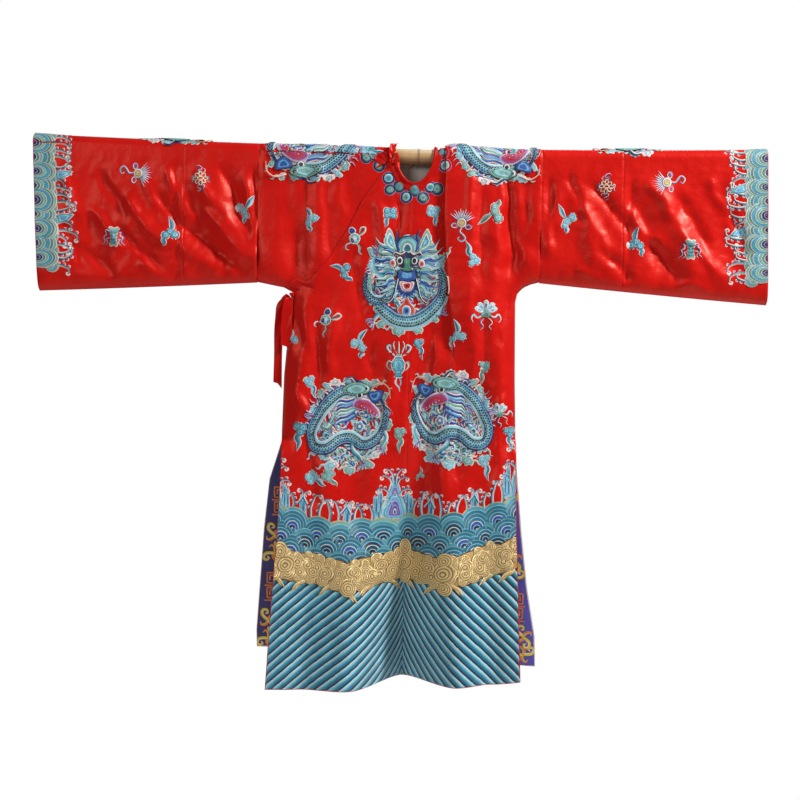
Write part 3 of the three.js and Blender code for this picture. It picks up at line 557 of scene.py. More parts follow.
def cloth_wall(name, grid, flat, outside, inside, loop=False, out=None):
    """grid and flat are rows x columns of hang places and flat places, rows running down."""
    rows, columns = grid.shape[:2]
    normal = grid_normals(grid, loop)
    if (normal[..., 1] * grid[..., 1]).sum() < 0:
        normal = -normal
    if out is not None:
        grid = grid + normal * out[..., None]
    outer, inner = grid + normal * CLOTH / 2, grid - normal * CLOTH / 2
    across = columns if loop else columns - 1
    i, j = np.meshgrid(np.arange(rows - 1), np.arange(across), indexing="ij")
    a, b = i * columns + j, i * columns + (j + 1) % columns
    c, d = b + columns, a + columns
    quads = np.stack([a, d, c, b], -1).reshape(-1, 4)
    sample = outer.reshape(-1, 3)[quads[len(quads) // 3]]
    turn = np.dot(np.cross(sample[1] - sample[0], sample[2] - sample[0]),
        normal.reshape(-1, 3)[quads[len(quads) // 3, 0]])
    quads = quads if turn > 0 else quads[:, ::-1]
    count = rows * columns
    edges = [np.stack([np.arange(across), (np.arange(across) + 1) % columns], -1)]
    edges.append(edges[0] + (rows - 1) * columns)
    if not loop:
        ends = np.stack([np.arange(rows - 1), np.arange(1, rows)], -1) * columns
        edges += [ends, ends + columns - 1]
    # the rim: one more line of points round the edge, pushed out of it
    rim = np.concatenate([grid[0], grid[-1]] + ([] if loop else [grid[:, 0], grid[:, -1]]))
    inward = np.concatenate([grid[1], grid[-2]] + ([] if loop else [grid[:, 1], grid[:, -2]]))
    rim = rim + unit(rim - inward) * CLOTH * 0.45
    base = np.concatenate([np.arange(columns), count - columns + np.arange(columns)])
    if not loop:
        base = np.concatenate([base, np.arange(rows) * columns, np.arange(rows) * columns + columns - 1])
    flat_all = np.concatenate([flat.reshape(-1, 2)] * 2 + [flat.reshape(-1, 2)[base]])
    points = np.concatenate([outer.reshape(-1, 3), inner.reshape(-1, 3), rim])
    faces, slots = [quads, np.roll(quads[:, ::-1], 1, 1) + count], [np.zeros(len(quads)),
        np.ones(len(quads))]
    lines = [(0, columns, edges[0]), (columns, columns, edges[1])]
    if not loop:
        lines += [(2 * columns, rows, edges[2]), (2 * columns + rows, rows, edges[3])]
    for start, size, edge in lines:
        local = np.arange(len(edge))
        p, q = 2 * count + start + local, 2 * count + start + (local + 1) % size
        strip = [np.stack([edge[:, 0], edge[:, 1], q, p], -1),
            np.stack([p, q, edge[:, 1] + count, edge[:, 0] + count], -1)]
        sample, away = strip[0][len(edge) // 2], rim[start + len(edge) // 2] - inward[start + len(edge) // 2]
        s = points[sample]
        flip = np.dot(np.cross(s[1] - s[0], s[2] - s[0]),
            normal.reshape(-1, 3)[edge[len(edge) // 2, 0]] + unit(away)) < 0
        for part in strip:
            faces.append(part[:, ::-1] if flip else part)
            slots.append(np.zeros(len(part)))
    faces = np.concatenate(faces)
    slots = np.concatenate(slots)
    wall = mesh_object(
        name, points, faces.ravel(), np.full(len(faces), 4), [outside, inside], slots,
            flat_all[faces.ravel()] * MM
    )
    return wall
# %% [markdown]
# Three finishes share small effects, so each effect is a node group that puts out only masks,
# colours or a height. The weave follows the flat UV map. The satin is a warp-faced silk: a very
# fine rib across, and slubs along the warp. The crinkle is the dry, papery unevenness of old silk.

# %% Shared shader effects
def new_group(name, inputs, outputs):
    group = bpy.data.node_groups.new(name, "ShaderNodeTree")
    for label, kind, value in inputs:
        socket = group.interface.new_socket(name=label, in_out="INPUT", socket_type=kind)
        if value is not None:
            socket.default_value = value
    for label, kind in outputs:
        group.interface.new_socket(name=label, in_out="OUTPUT", socket_type=kind)
    return group, group.nodes.new("NodeGroupInput"), group.nodes.new("NodeGroupOutput")


def add_node(tree, kind, **settings):
    node = tree.nodes.new(kind)
    for key, value in settings.items():
        if key.startswith("_"):
            node.inputs[key[1:].replace("_", " ")].default_value = value
        else:
            setattr(node, key, value)
    return node


def math_node(tree, operation, a, b=None, c=None):
    node = tree.nodes.new("ShaderNodeMath")
    node.operation = operation
    for slot, value in enumerate((a, b, c)):
        if value is None:
            continue
        if isinstance(value, (int, float)):
            node.inputs[slot].default_value = value
        else:
            tree.links.new(value, node.inputs[slot])
    return node.outputs[0]


def satin_weave_group():
    group, inside, out = new_group(
        "satin_weave",
        [("Flat", "NodeSocketVector", None), ("Threads", "NodeSocketFloat", 1600.0),
            ("Slubs", "NodeSocketFloat", 0.5)],
        [("Height", "NodeSocketFloat"), ("Tone", "NodeSocketFloat")],
    )
    apart = add_node(group, "ShaderNodeSeparateXYZ")
    group.links.new(inside.outputs["Flat"], apart.inputs[0])
    rib = math_node(group, "SINE", math_node(group, "MULTIPLY", apart.outputs["Y"],
        inside.outputs["Threads"]))
    stretch = add_node(group, "ShaderNodeMapping")
    stretch.inputs["Scale"].default_value = (420, 26, 1)
    group.links.new(inside.outputs["Flat"], stretch.inputs["Vector"])
    slub = add_node(group, "ShaderNodeTexNoise", _Scale=1.0, _Detail=3.0)
    group.links.new(stretch.outputs[0], slub.inputs["Vector"])
    slubs = math_node(group, "MULTIPLY", slub.outputs["Fac"], inside.outputs["Slubs"])
    height = math_node(group, "MULTIPLY_ADD", rib, 0.12, slubs)
    group.links.new(height, out.inputs["Height"])
    group.links.new(slub.outputs["Fac"], out.inputs["Tone"])
    return group


def crinkle_group():
    group, inside, out = new_group(
        "silk_crinkle",
        [("Place", "NodeSocketVector", None), ("Size", "NodeSocketFloat", 40.0)],
        [("Height", "NodeSocketFloat"), ("Mottle", "NodeSocketFloat")],
    )
    broad = add_node(group, "ShaderNodeTexNoise", _Detail=4.0, _Roughness=0.55)
    group.links.new(inside.outputs["Place"], broad.inputs["Vector"])
    group.links.new(inside.outputs["Size"], broad.inputs["Scale"])
    ridges = add_node(group, "ShaderNodeTexNoise", noise_type="RIDGED_MULTIFRACTAL", _Detail=2.0)
    group.links.new(inside.outputs["Place"], ridges.inputs["Vector"])
    group.links.new(math_node(group, "MULTIPLY", inside.outputs["Size"], 0.45), ridges.inputs["Scale"])
    height = math_node(group, "MULTIPLY_ADD", ridges.outputs["Fac"], 0.35, broad.outputs["Fac"])
    group.links.new(height, out.inputs["Height"])
    mottle = add_node(group, "ShaderNodeTexNoise", _Scale=9.0, _Detail=3.0)
    group.links.new(inside.outputs["Place"], mottle.inputs["Vector"])
    group.links.new(mottle.outputs["Fac"], out.inputs["Mottle"])
    return group


satin_weave = satin_weave_group()
silk_crinkle = crinkle_group()
print("groups", [group.name for group in bpy.data.node_groups])

# %% [markdown]
# Colours are written as they are seen and turned to Blender's linear values by one helper. The red
# satin is glossy along its folds, so its roughness varies a little, and a thin sheen lights its
# edges as silk does. The lining is a plain dull silk.

# %% Red satin and the lining
def seen(red, green, blue, alpha=1.0):
    """A seen colour from 0 to 255 as a linear one."""
    parts = [v / 255 for v in (red, green, blue)]
    return tuple(p / 12.92 if p <= 0.04045 else ((p + 0.055) / 1.055) ** 2.4 for p in parts) + (alpha,)


def new_material(name):
    material = bpy.data.materials.new(name)
    material.use_nodes = True
    tree = material.node_tree
    return material, tree, tree.nodes["Principled BSDF"]


def silk(name, colour, shade, roughness, sheen, sheen_tint, threads, slubs, crinkle, bump):
    material, tree, shader = new_material(name)
    place = add_node(tree, "ShaderNodeTexCoord")
    flat = add_node(tree, "ShaderNodeUVMap", uv_map="flat")
    weave = add_node(tree, "ShaderNodeGroup", node_tree=satin_weave)
    weave.inputs["Threads"].default_value = threads
    weave.inputs["Slubs"].default_value = slubs
    tree.links.new(flat.outputs["UV"], weave.inputs["Flat"])
    dry = add_node(tree, "ShaderNodeGroup", node_tree=silk_crinkle)
    tree.links.new(place.outputs["Object"], dry.inputs["Place"])
    dry.inputs["Size"].default_value = crinkle
    tone = add_node(tree, "ShaderNodeMix", data_type="RGBA")
    tone.inputs["A"].default_value = seen(*shade)
    tone.inputs["B"].default_value = seen(*colour)
    mixed = math_node(tree, "MULTIPLY_ADD", weave.outputs["Tone"], 0.5,
        math_node(tree, "MULTIPLY", dry.outputs["Mottle"], 1.1))
    tree.links.new(mixed, tone.inputs["Factor"])
    tree.links.new(tone.outputs["Result"], shader.inputs["Base Color"])
    rough = math_node(tree, "MULTIPLY_ADD", dry.outputs["Mottle"], 0.16, roughness - 0.08)
    tree.links.new(rough, shader.inputs["Roughness"])
    shader.inputs["Specular IOR Level"].default_value = 0.75
    shader.inputs["Specular Tint"].default_value = seen(*sheen_tint)
    shader.inputs["Sheen Weight"].default_value = sheen
    shader.inputs["Sheen Roughness"].default_value = 0.4
    shader.inputs["Sheen Tint"].default_value = seen(*sheen_tint)
    fine = add_node(tree, "ShaderNodeBump", _Strength=0.25, _Distance=0.0002)
    tree.links.new(weave.outputs["Height"], fine.inputs["Height"])
    rough_bump = add_node(tree, "ShaderNodeBump", _Strength=0.6, _Distance=bump)
    tree.links.new(dry.outputs["Height"], rough_bump.inputs["Height"])
    tree.links.new(fine.outputs["Normal"], rough_bump.inputs["Normal"])
    tree.links.new(rough_bump.outputs["Normal"], shader.inputs["Normal"])
    return material


red_satin = silk("red_satin", (218, 20, 15), (184, 7, 6), 0.37, 0.08, (255, 140, 120), 5200.0, 0.5, 36.0,
    0.0034)
trim_satin = silk("trim_satin", (206, 16, 14), (168, 6, 8), 0.36, 0.06, (255, 130, 110), 5200.0, 0.5, 60.0,
    0.0014)
lining_silk = silk("lining_silk", (226, 212, 202), (190, 172, 162), 0.6, 0.1, (255, 255, 255), 4200.0, 0.4,
    50.0, 0.003)
print("cloth finishes", red_satin.name, trim_satin.name, lining_silk.name)

# %% [markdown]
# Each panel is laid out as columns across and rows down. A curved edge, such as the neck or the
# flap's edge, is where its columns start, so the edge is a clean line of the grid and nothing has
# to be cut afterwards. The columns are closer together where the edge is steep. The back and the
# front below the flap have wider grids, which keeps the whole robe under a million triangles.

# %% Laying out a panel
SPACING = 6.1  # between the points of the front and the sleeves
BACK_SPACING, HIDDEN_SPACING = 8.6, 12.0  # of the back, and of the front below the flap
LONGEST_PANEL = 1410.0
SLEEVE_RINGS, SLEEVE_DROP = 52, 300  # points down a sleeve's side, below the pole


def neck_w(x, side):
    """Where the neckline crosses x: its distance from the shoulder fold."""
    inside = np.clip(1 - ((x - NECK_X) / NECK_HALF) ** 2, 0, None)
    drop = NECK_DROP if side < 0 else NECK_BACK
    z = NECK_Z - drop * np.sqrt(inside)
    over = HANG_R * np.arccos(np.clip(z / HANG_R, -1, 1))
    return np.where(inside > 0, np.where(z > 0, over, ARC - z), 0.15)


def flap_w(x):
    return np.where(x > -30, neck_w(x, -1), ARC - np.interp(x, FLAP_EDGE[:, 0], FLAP_EDGE[:, 1]))


def edge_x(z, side, which):
    number = {(-1, "right"): FRONT_RIGHT, (-1, "left"): FRONT_LEFT, (1, "right"): BACK_RIGHT,
        (1, "left"): BACK_LEFT}
    return column(OUTLINE, z, number[(side, which)])


def body_x(share, z, side, which, start):
    """The flat x of a column: share runs from start at 0 to the panel's outer edge at 1."""
    sign = -1 if which == "right" else 1
    inset = sign * 0.15
    wing = column(OUTLINE, z, WING_RIGHT if which == "right" else WING_LEFT)
    wing = wing - edge_x(z, -1, which)
    outer = edge_x(z, side, which) - inset
    return start + (outer - start) * share + np.clip((share - 0.74) / 0.26, 0, 1) * wing


def rows_down(longest, spacing):
    over = np.linspace(0, ARC, 11)
    under = np.arange(ARC + spacing, longest, spacing)
    return np.concatenate([over, under, [longest]]) / longest


def body_panel(name, side, which, start, top, foot, shares, out=None, inside=None, spacing=SPACING):
    rows = rows_down(LONGEST_PANEL if foot is None else foot, spacing)
    shares = np.asarray(shares, float)
    x_top = body_x(shares, 0.0, side, which, start)
    for _ in range(6):  # a column's x depends a little on its height
        first = top(x_top)
        x_top = body_x(shares, ARC - first, side, which, start)
    end = np.full(len(shares), foot) if foot is not None else None
    w = np.zeros((len(rows), len(shares)))
    x = np.zeros_like(w)
    for _ in range(3):
        if foot is None:
            end = hem_w(x[-1] if x.any() else x_top, side)
        w = first[None] + (end - first)[None] * rows[:, None]
        x = body_x(shares[None], ARC - w, side, which, start)
    flat = np.stack([x, -side * w], -1)
    grid = cloth_at(x, -side * w)
    shift = None if out is None else out(x, w)
    return cloth_wall(name, grid, flat, red_satin, inside or lining_silk, out=shift)


def even(width, dense=(), spacing=SPACING):
    """Shares across a panel of this width, with extra ones in the dense stretches."""
    shares = np.linspace(0, 1, int(width / spacing) + 1)
    for low, high, count in dense:
        shares = np.concatenate([shares[(shares < low) | (shares > high)], np.linspace(low, high, count)])
    return np.unique(np.round(shares, 5))


front_left = body_panel(
    "robe_front_left", -1, "left", CENTRE_SEAM + 0.15, lambda x: neck_w(x, -1), None,
    even(336, [(0.11, 0.24, 26), (0.24, 0.52, 22)]), out=lambda x, w: LAYER * (1 - smooth(x / 60)),
)
front_overlap = body_panel(
    "robe_front_overlap", -1, "right", CENTRE_SEAM - 0.15, flap_w, None, even(346, [(0.1, 0.2, 8)]),
    out=lambda x, w: np.full(x.shape, LAYER),
)
front_under = body_panel(
    "robe_front_under", -1, "right", UNDER_EDGE, lambda x: neck_w(x, -1), ARC - UNDER_HEM,
    even(350, [(0, 0.2, 14)], HIDDEN_SPACING), spacing=HIDDEN_SPACING,
)
back_left = body_panel(
    "robe_back_left", 1, "left", CENTRE_SEAM + 0.15, lambda x: neck_w(x, 1), None,
        even(358, [(0.11, 0.24, 18)], BACK_SPACING),
    spacing=BACK_SPACING,
)
back_right = body_panel(
    "robe_back_right", 1, "right", CENTRE_SEAM - 0.15, lambda x: neck_w(x, 1), None,
        even(386, [(0.1, 0.19, 12)], BACK_SPACING),
    spacing=BACK_SPACING,
)
print("body panels", [len(p.data.polygons) for p in (front_left, front_overlap, front_under, back_left,
    back_right)])

# %% [markdown]
# A sleeve is a tube: up the front, over the pole, down the back, and round a soft fold at the
# bottom. It is laid out as rings from the seam to the cuff, so each ring is one row of the grid.

# %% Sleeves
def sleeve_panel(name, which, share0, share1, gap0, gap1):
    seam, _, top, bottom, seam_z, cuff_z = SLEEVE[which]
    sign = -1 if which == "right" else 1
    count = int(abs(top - seam) * (share1 - share0) / SPACING) + 1
    shares = np.linspace(share0, share1, count)
    shift = np.zeros(count)
    shift[0], shift[-1] = sign * gap0, -sign * gap1
    down = np.concatenate([np.linspace(0, ARC, 9), np.linspace(ARC, ARC + SLEEVE_DROP, SLEEVE_RINGS)[1:]])
    down = down / (ARC + SLEEVE_DROP)
    lower = seam_z + (cuff_z - seam_z) * shares
    ends = ARC - lower
    rows, flats = [], []
    for share, end, nudge in zip(shares, ends, shift):
        t = down * end
        z = np.where(t < ARC, 0, ARC - t)
        x = seam + (top + (bottom - top) * np.clip(-z / SLEEVE_DEPTH, 0, 1) - seam) * share + nudge
        w = np.concatenate([t[::-1], -t[1:]])
        x = np.concatenate([x[::-1], x[1:]])
        ring = cloth_at(x, w)
        under = ring[[0]] * [1, 0, 1] + [[0, 0, -1.4]]
        rows.append(np.concatenate([ring, under]))
        flats.append(np.concatenate([np.stack([x, w], -1), [[x[0], end + 3]]]))
    return cloth_wall(name, np.array(rows), np.array(flats), red_satin, lining_silk, loop=True)


def sleeve_share(which, x):
    seam, _, top = SLEEVE[which][:3]
    return (x - seam) / (top - seam)


sleeves = {}
for which in ("right", "left"):
    piecing = sleeve_share(which, SLEEVE[which][1])
    sleeves[which, "upper"] = sleeve_panel(f"robe_sleeve_{which}_upper", which, 0, piecing, 0.15, 0.15)
    sleeves[which, "lower"] = sleeve_panel(f"robe_sleeve_{which}_lower", which, piecing, 1, 0.15, 0)
print("sleeves", {key: len(piece.data.polygons) for key, piece in sleeves.items()})
# %% [markdown]
# Needlework is a thin relief of floss silk on the satin: padded rolls, flat patches in bands of
# shaded colour, and curls. It could be a painted picture, but a real relief catches the light along
# each roll. It is drawn flat, as closed bands and patches with a height, and is then carried onto
# the hang. Every face has its own colour in an attribute, so each change of thread is crisp.

# %% Floss colours
FLOSS = {
    "dark_teal": (14, 62, 88),
    "teal": (34, 116, 146),
    "mid_teal": (74, 156, 178),
    "light_blue": (148, 204, 218),
    "sky": (100, 168, 212),
    "white": (232, 232, 224),
    "pink_white": (238, 212, 204),
    "sage": (128, 172, 158),
    "sage_dark": (84, 134, 128),
    "navy": (26, 32, 84),
    "night": (20, 20, 40),
    "blue": (38, 84, 168),
    "violet": (92, 80, 158),
    "lavender": (170, 160, 208),
    "magenta": (176, 58, 116),
    "pink": (226, 134, 142),
    "red": (196, 20, 20),
    "orange": (216, 120, 58),
    "green": (66, 140, 104),
    "gold": (212, 172, 104),
    "light_gold": (240, 212, 152),
    "yellow": (216, 190, 70),
    "brown": (96, 62, 28),
}
FLOSS = {name: seen(*value)[:3] for name, value in FLOSS.items()}
print("floss colours", len(FLOSS))


# %% Curves for drawing
def curve(points, count=40, closed=False):
    """A smooth line through given points."""
    p = np.asarray(points, float)
    p = np.concatenate([p[-1:], p, p[:2]]) if closed else np.concatenate([2 * p[:1] - p[1:2], p,
        2 * p[-1:] - p[-2:-1]])
    spans = len(p) - 3
    u = np.linspace(0, spans, count, endpoint=not closed)
    i = np.minimum(u.astype(int), spans - 1)
    t = (u - i)[:, None]
    a, b, c, d = p[i], p[i + 1], p[i + 2], p[i + 3]
    return 0.5 * (2 * b + (c - a) * t + (2 * a - 5 * b + 4 * c - d) * t**2 + (3 * b - a - 3 * c + d) * t**3)


def spiral(turns, r0, r1, start=0.0, count=30):
    angle = np.linspace(0, turns * 2 * math.pi, count) + math.radians(start)
    r = np.linspace(r0, r1, count)
    return np.stack([r * np.cos(angle), r * np.sin(angle)], -1)


def ellipse(a, b, count=16, low=0, high=360):
    angle = np.radians(np.linspace(low, high, count, endpoint=high - low < 360))
    return np.stack([a * np.cos(angle), b * np.sin(angle)], -1)


def lobes(radius, number, deep=0.16, count=48, start=0.0):
    """A round outline with lobes like a flower's or a cloud's."""
    angle = np.linspace(0, 2 * math.pi, count, endpoint=False)
    r = radius * (1 - deep + deep * np.abs(np.cos(number * angle / 2 + math.radians(start))))
    return np.stack([r * np.cos(angle), r * np.sin(angle)], -1)


def fine_line(points, step=4.0):
    """A broken line with points close enough together to lie down on curved cloth."""
    points = np.asarray(points, float)
    parts = [np.linspace(a, b, max(2, int(np.linalg.norm(b - a) / step) + 1))[:-1] for a,
        b in zip(points[:-1], points[1:])]
    return np.concatenate(parts + [points[-1:]])


THREAD_TURN = 24.0  # degrees that a line may turn between two of its points


def lean(path, longest, turn=THREAD_TURN):
    """The numbers of the points that a line needs: one for each turn, and none too far apart."""
    along = np.diff(path, axis=0)
    step = np.linalg.norm(along, axis=1)
    heading = np.unwrap(np.arctan2(along[:, 1], along[:, 0]))
    bend = np.abs(np.diff(heading))
    kept, turned, gone = [0], 0.0, 0.0
    for i in range(1, len(path) - 1):
        turned += bend[i - 1]
        gone += step[i - 1]
        if turned > math.radians(turn) or gone + step[i] > longest:
            kept.append(i)
            turned = gone = 0.0
    return np.array(kept + [len(path) - 1])


print("a curve's length in points", len(curve([(0, 0), (1, 1), (2, 0)])))

# %% [markdown]
# The drawing kit keeps everything flat: a place on the robe, a turn and a size are set, and bands
# and patches are drawn there. Sewing it down works out the hang of all the points in one go.

# %% The needlework kit
CELL, COVER = 0.8, 0.25  # a face is buried where another shape is this much higher in its cells
CELLS_A_ROW = 100003  # more than the robe has, so each cell has a number of its own


def buried(corner, height, shape):
    """Which faces lie wholly under other shapes, so that they never show."""
    u = (np.arange(5) + 0.5) / 5
    a, b = (side.ravel() for side in np.meshgrid(u, u))
    share = np.stack([(1 - a) * (1 - b), a * (1 - b), a * b, (1 - a) * b], -1)
    spot = np.floor(np.einsum("sk,fkd->fsd", share, corner) / CELL).astype(np.int64)
    level = np.einsum("sk,fk->fs", share, height)
    _, cell = np.unique((spot[..., 0] * CELLS_A_ROW + spot[..., 1]).ravel(), return_inverse=True)
    cell = cell.ravel()
    owner = np.repeat(shape, len(u) ** 2)
    order = np.lexsort((level.ravel(), cell))
    last = order[np.flatnonzero(np.append(np.diff(cell[order]) > 0, True))]
    under = (level.ravel() < level.ravel()[last][cell] - COVER) & (owner != owner[last][cell])
    return under.reshape(level.shape).all(1)


LONGEST = 4.6  # between two points of a line, so that it lies down on curved cloth


class Needlework:
    """Bands and patches of floss, drawn flat in millimetres and then laid on the cloth."""

    def __init__(self):
        self.flat, self.height, self.faces, self.tint, self.thread, self.count = [], [], [], [], [], 0
        self.shapes = []
        self.at()

    def at(self, x=0.0, w=0.0, turn=0.0, size=1.0, flip=False, back=False, level=0.0, tall=1.0):
        self.place = (x, w, math.radians(turn), size, flip, back, tall)
        self.level = level
        return self

    def laid(self, points):
        x, w, turn, size, flip, back, tall = self.place
        a, b = np.asarray(points, float).T * size
        a = -a if flip else a
        u = a * math.cos(turn) - b * math.sin(turn)
        v = (a * math.sin(turn) + b * math.cos(turn)) * tall
        return np.stack([x - u, -(w - v)], -1) if back else np.stack([x + u, w - v], -1)

    def keep(self, flat, height, faces, tint, thread):
        self.flat.append(flat)
        self.height.append(np.asarray(height, float) + self.level)
        self.faces.append(np.where(faces >= 0, faces + self.count, -1))
        self.tint.append(tint)
        self.shapes.append(np.full(len(faces), len(self.shapes)))
        self.thread.append(thread)
        self.count += len(flat)

    def grid(self, flat, height, tint, along, across):
        """A sheet of rows x columns of flat places, with a colour for each face."""
        rows, columns = flat.shape[:2]
        i, j = np.meshgrid(np.arange(rows - 1), np.arange(columns - 1), indexing="ij")
        a = (i * columns + j).ravel()
        faces = np.stack([a, a + 1, a + columns + 1, a + columns], -1)
        thread = np.stack(np.broadcast_arrays(along, across), -1).reshape(-1, 2)
        self.keep(flat.reshape(-1, 2), height.ravel(), faces, tint.reshape(-1, 3), thread)

    def band(self, path, half, bands, crown=0.9, closed=False, fade=None):
        """A padded band along a path. bands: (far edge from -1 to 1, colour) from one side to the other."""
        path = np.asarray(path, float)
        ahead = np.roll(path, -1, 0) - np.roll(path, 1, 0)
        if not closed:
            ahead[0], ahead[-1] = path[1] - path[0], path[-1] - path[-2]
        ahead = unit(ahead)
        side = np.stack([-ahead[:, 1], ahead[:, 0]], -1)
        if closed:
            path, side = np.concatenate([path, path[:1]]), np.concatenate([side, side[:1]])
        half = np.broadcast_to(np.asarray(half, float), (len(path),)) if np.ndim(half) == 0 else np.interp(
            np.linspace(0, 1, len(path)), np.linspace(0, 1, len(half)), half
        )
        kept = lean(path, LONGEST / self.place[3])
        part = kept[:-1] / (len(path) - 1)
        path, side, half = path[kept], side[kept], half[kept]
        edge = np.array([-1.0] + [far for far, _ in bands])
        colours = np.array([FLOSS[name] for _, name in bands])
        if len(bands) == 1:
            edge, colours = np.array([-1.0, 0.0, 1.0]), np.repeat(colours, 2, 0)
        points = path[:, None] + side[:, None] * (half[:, None] * edge[None])[..., None]
        dome = crown * np.sqrt(np.clip(1 - edge**2, 0, 1)) - 0.15
        height = np.repeat(dome[None], len(path), 0)
        if not closed:
            height[[0, -1]] = np.minimum(height[[0, -1]], 0.1)
        tint = np.repeat(colours[None], len(path) - 1, 0)
        if fade is not None:
            k = part[:, None, None]
            tint = tint * (1 - k) + np.array(FLOSS[fade]) * k
        run = np.concatenate([[0], np.cumsum(np.linalg.norm(np.diff(path, axis=0), axis=1))])
        flat = self.laid(points.reshape(-1, 2)).reshape(points.shape)
        self.grid(flat, height, tint, run[:, None], half[:, None] * edge[None])

    def patch(self, outline, rings, crown=0.8, centre=None):
        """A closed patch in bands, each from one share of the outline to the next, with its colour."""
        outline = np.asarray(outline, float)
        centre = outline.mean(0) if centre is None else np.asarray(centre, float)
        outline = outline[lean(np.concatenate([outline, outline[:1]]), LONGEST / self.place[3])[:-1]]
        shares = np.array([share for share, _ in rings] + [0.0])
        points = centre + (outline[None] - centre) * shares[:, None, None]
        points = np.concatenate([points, points[:, :1]], 1)
        height = np.repeat((crown * np.sqrt(np.clip(1 - shares**2, 0, 1)) - 0.15)[:, None], points.shape[1],
            1)
        tint = np.repeat(np.array([FLOSS[name] for _, name in rings])[:, None], points.shape[1] - 1, 1)
        reach = np.linalg.norm(outline - centre, axis=1).mean()
        turn = np.linspace(0, 2 * math.pi * reach, points.shape[1])
        flat = self.laid(points.reshape(-1, 2)).reshape(points.shape)
        self.grid(flat, height, tint, turn[None], (shares * reach)[:, None])

    def sew(self, name, material, lift=0.0, inner=False):
        flat, height = np.concatenate(self.flat), np.concatenate(self.height)
        faces, tint, thread = np.concatenate(self.faces), np.concatenate(self.tint), np.concatenate(self.thread)
        flat = inside_edges(flat)
        spread, before = unfold(flat[:, 0], flat[:, 1])
        flat = np.stack([spread, flat[:, 1]], -1)
        corner = flat[faces]
        area = np.abs(np.cross(corner[:, 2] - corner[:, 0], corner[:, 3] - corner[:, 1])) / 2
        one_side = before[faces].min(1) == before[faces].max(1)
        kept = (area > 0.03) & one_side
        kept[kept] = ~buried(corner[kept], height[faces[kept]], np.concatenate(self.shapes)[kept])
        faces, tint, corner = faces[kept], tint[kept], corner[kept]
        x, w = flat[:, 0], flat[:, 1]
        out = out_of_cloth(x, w) * (-1 if inner else 1)
        place = cloth_at(x, w) + out * (CLOTH / 2 + lift + height + layer_out(x, w))[:, None]
        ring = place[faces]
        turned = np.cross(ring[:, 2] - ring[:, 0], ring[:, 3] - ring[:, 1])
        wrong = (turned * out[faces[:, 0]]).sum(-1) < 0
        faces = np.where(wrong[:, None], faces[:, ::-1], faces)
        used, faces = np.unique(faces, return_inverse=True)
        faces = faces.reshape(-1, 4)
        tints = np.concatenate([np.repeat(tint, 4, 0), np.ones((len(tint) * 4, 1))], 1)
        piece = mesh_object(
            name, place[used], faces.ravel(), np.full(len(faces), 4), [material], None,
            thread[used][faces.ravel()] * MM, tints,
        )
        print(name, "faces", len(faces))
        return piece


def inside_edges(flat):
    """Draws flat places in to the cloth's edges: the hem, the slits, the cuffs and the sleeves' foot."""
    x, w = flat[:, 0].copy(), flat[:, 1].copy()
    z = ARC - np.abs(w)
    front = w >= 0
    low = np.where(front, column(OUTLINE, z, FRONT_RIGHT), column(OUTLINE, z, BACK_RIGHT))
    high = np.where(front, column(OUTLINE, z, FRONT_LEFT), column(OUTLINE, z, BACK_LEFT))
    body = z < -390
    x = np.where(body, np.clip(x, low + 1.5, high - 1.5), x)
    hem = np.where(front, hem_w(x, -1), hem_w(x, 1)) - 1.5
    w = np.clip(w, -hem, hem)
    for which, (seam, _, top, bottom, *_) in SLEEVE.items():
        on = ((x < seam) if which == "right" else (x > seam)) & (np.abs(w) < BELOW_SLEEVES)
        cuff = top + (bottom - top) * np.clip(-z / SLEEVE_DEPTH, 0, 1)
        x = np.where(on & (np.abs(x) > np.abs(cuff) - 1.5), cuff - 1.5 * np.sign(cuff), x)
        foot = ARC - sleeve_lower(x) - 2
        w = np.where(on, np.clip(w, -foot, foot), w)
    return np.stack([x, w], -1)


print("the kit draws with", len(FLOSS), "colours")

# %% [markdown]
# Floss silk is bright and runs in fine parallel threads. The relief's UV map holds the length along
# a band and the distance across it, so the thread lines cross each band as satin stitches do. A
# little noise in the colour stands for the hand-dyed shading within one skein.

# %% Floss silk and gold thread
def thread_lines_group():
    group, inside, out = new_group(
        "thread_lines",
        [("Run", "NodeSocketVector", None), ("Place", "NodeSocketVector", None),
            ("Pitch", "NodeSocketFloat", 0.9)],
        [("Height", "NodeSocketFloat"), ("Shade", "NodeSocketFloat")],
    )
    apart = add_node(group, "ShaderNodeSeparateXYZ")
    group.links.new(inside.outputs["Run"], apart.inputs[0])
    turns = math_node(group, "DIVIDE", math_node(group, "MULTIPLY", apart.outputs["X"], 6283.0),
        inside.outputs["Pitch"])
    wave = math_node(group, "SINE", turns)
    group.links.new(math_node(group, "MULTIPLY_ADD", wave, 0.5, 0.5), out.inputs["Height"])
    skein = add_node(group, "ShaderNodeTexNoise", _Scale=260.0, _Detail=3.0, _Roughness=0.7)
    group.links.new(inside.outputs["Place"], skein.inputs["Vector"])
    group.links.new(skein.outputs["Fac"], out.inputs["Shade"])
    return group


thread_lines = thread_lines_group()


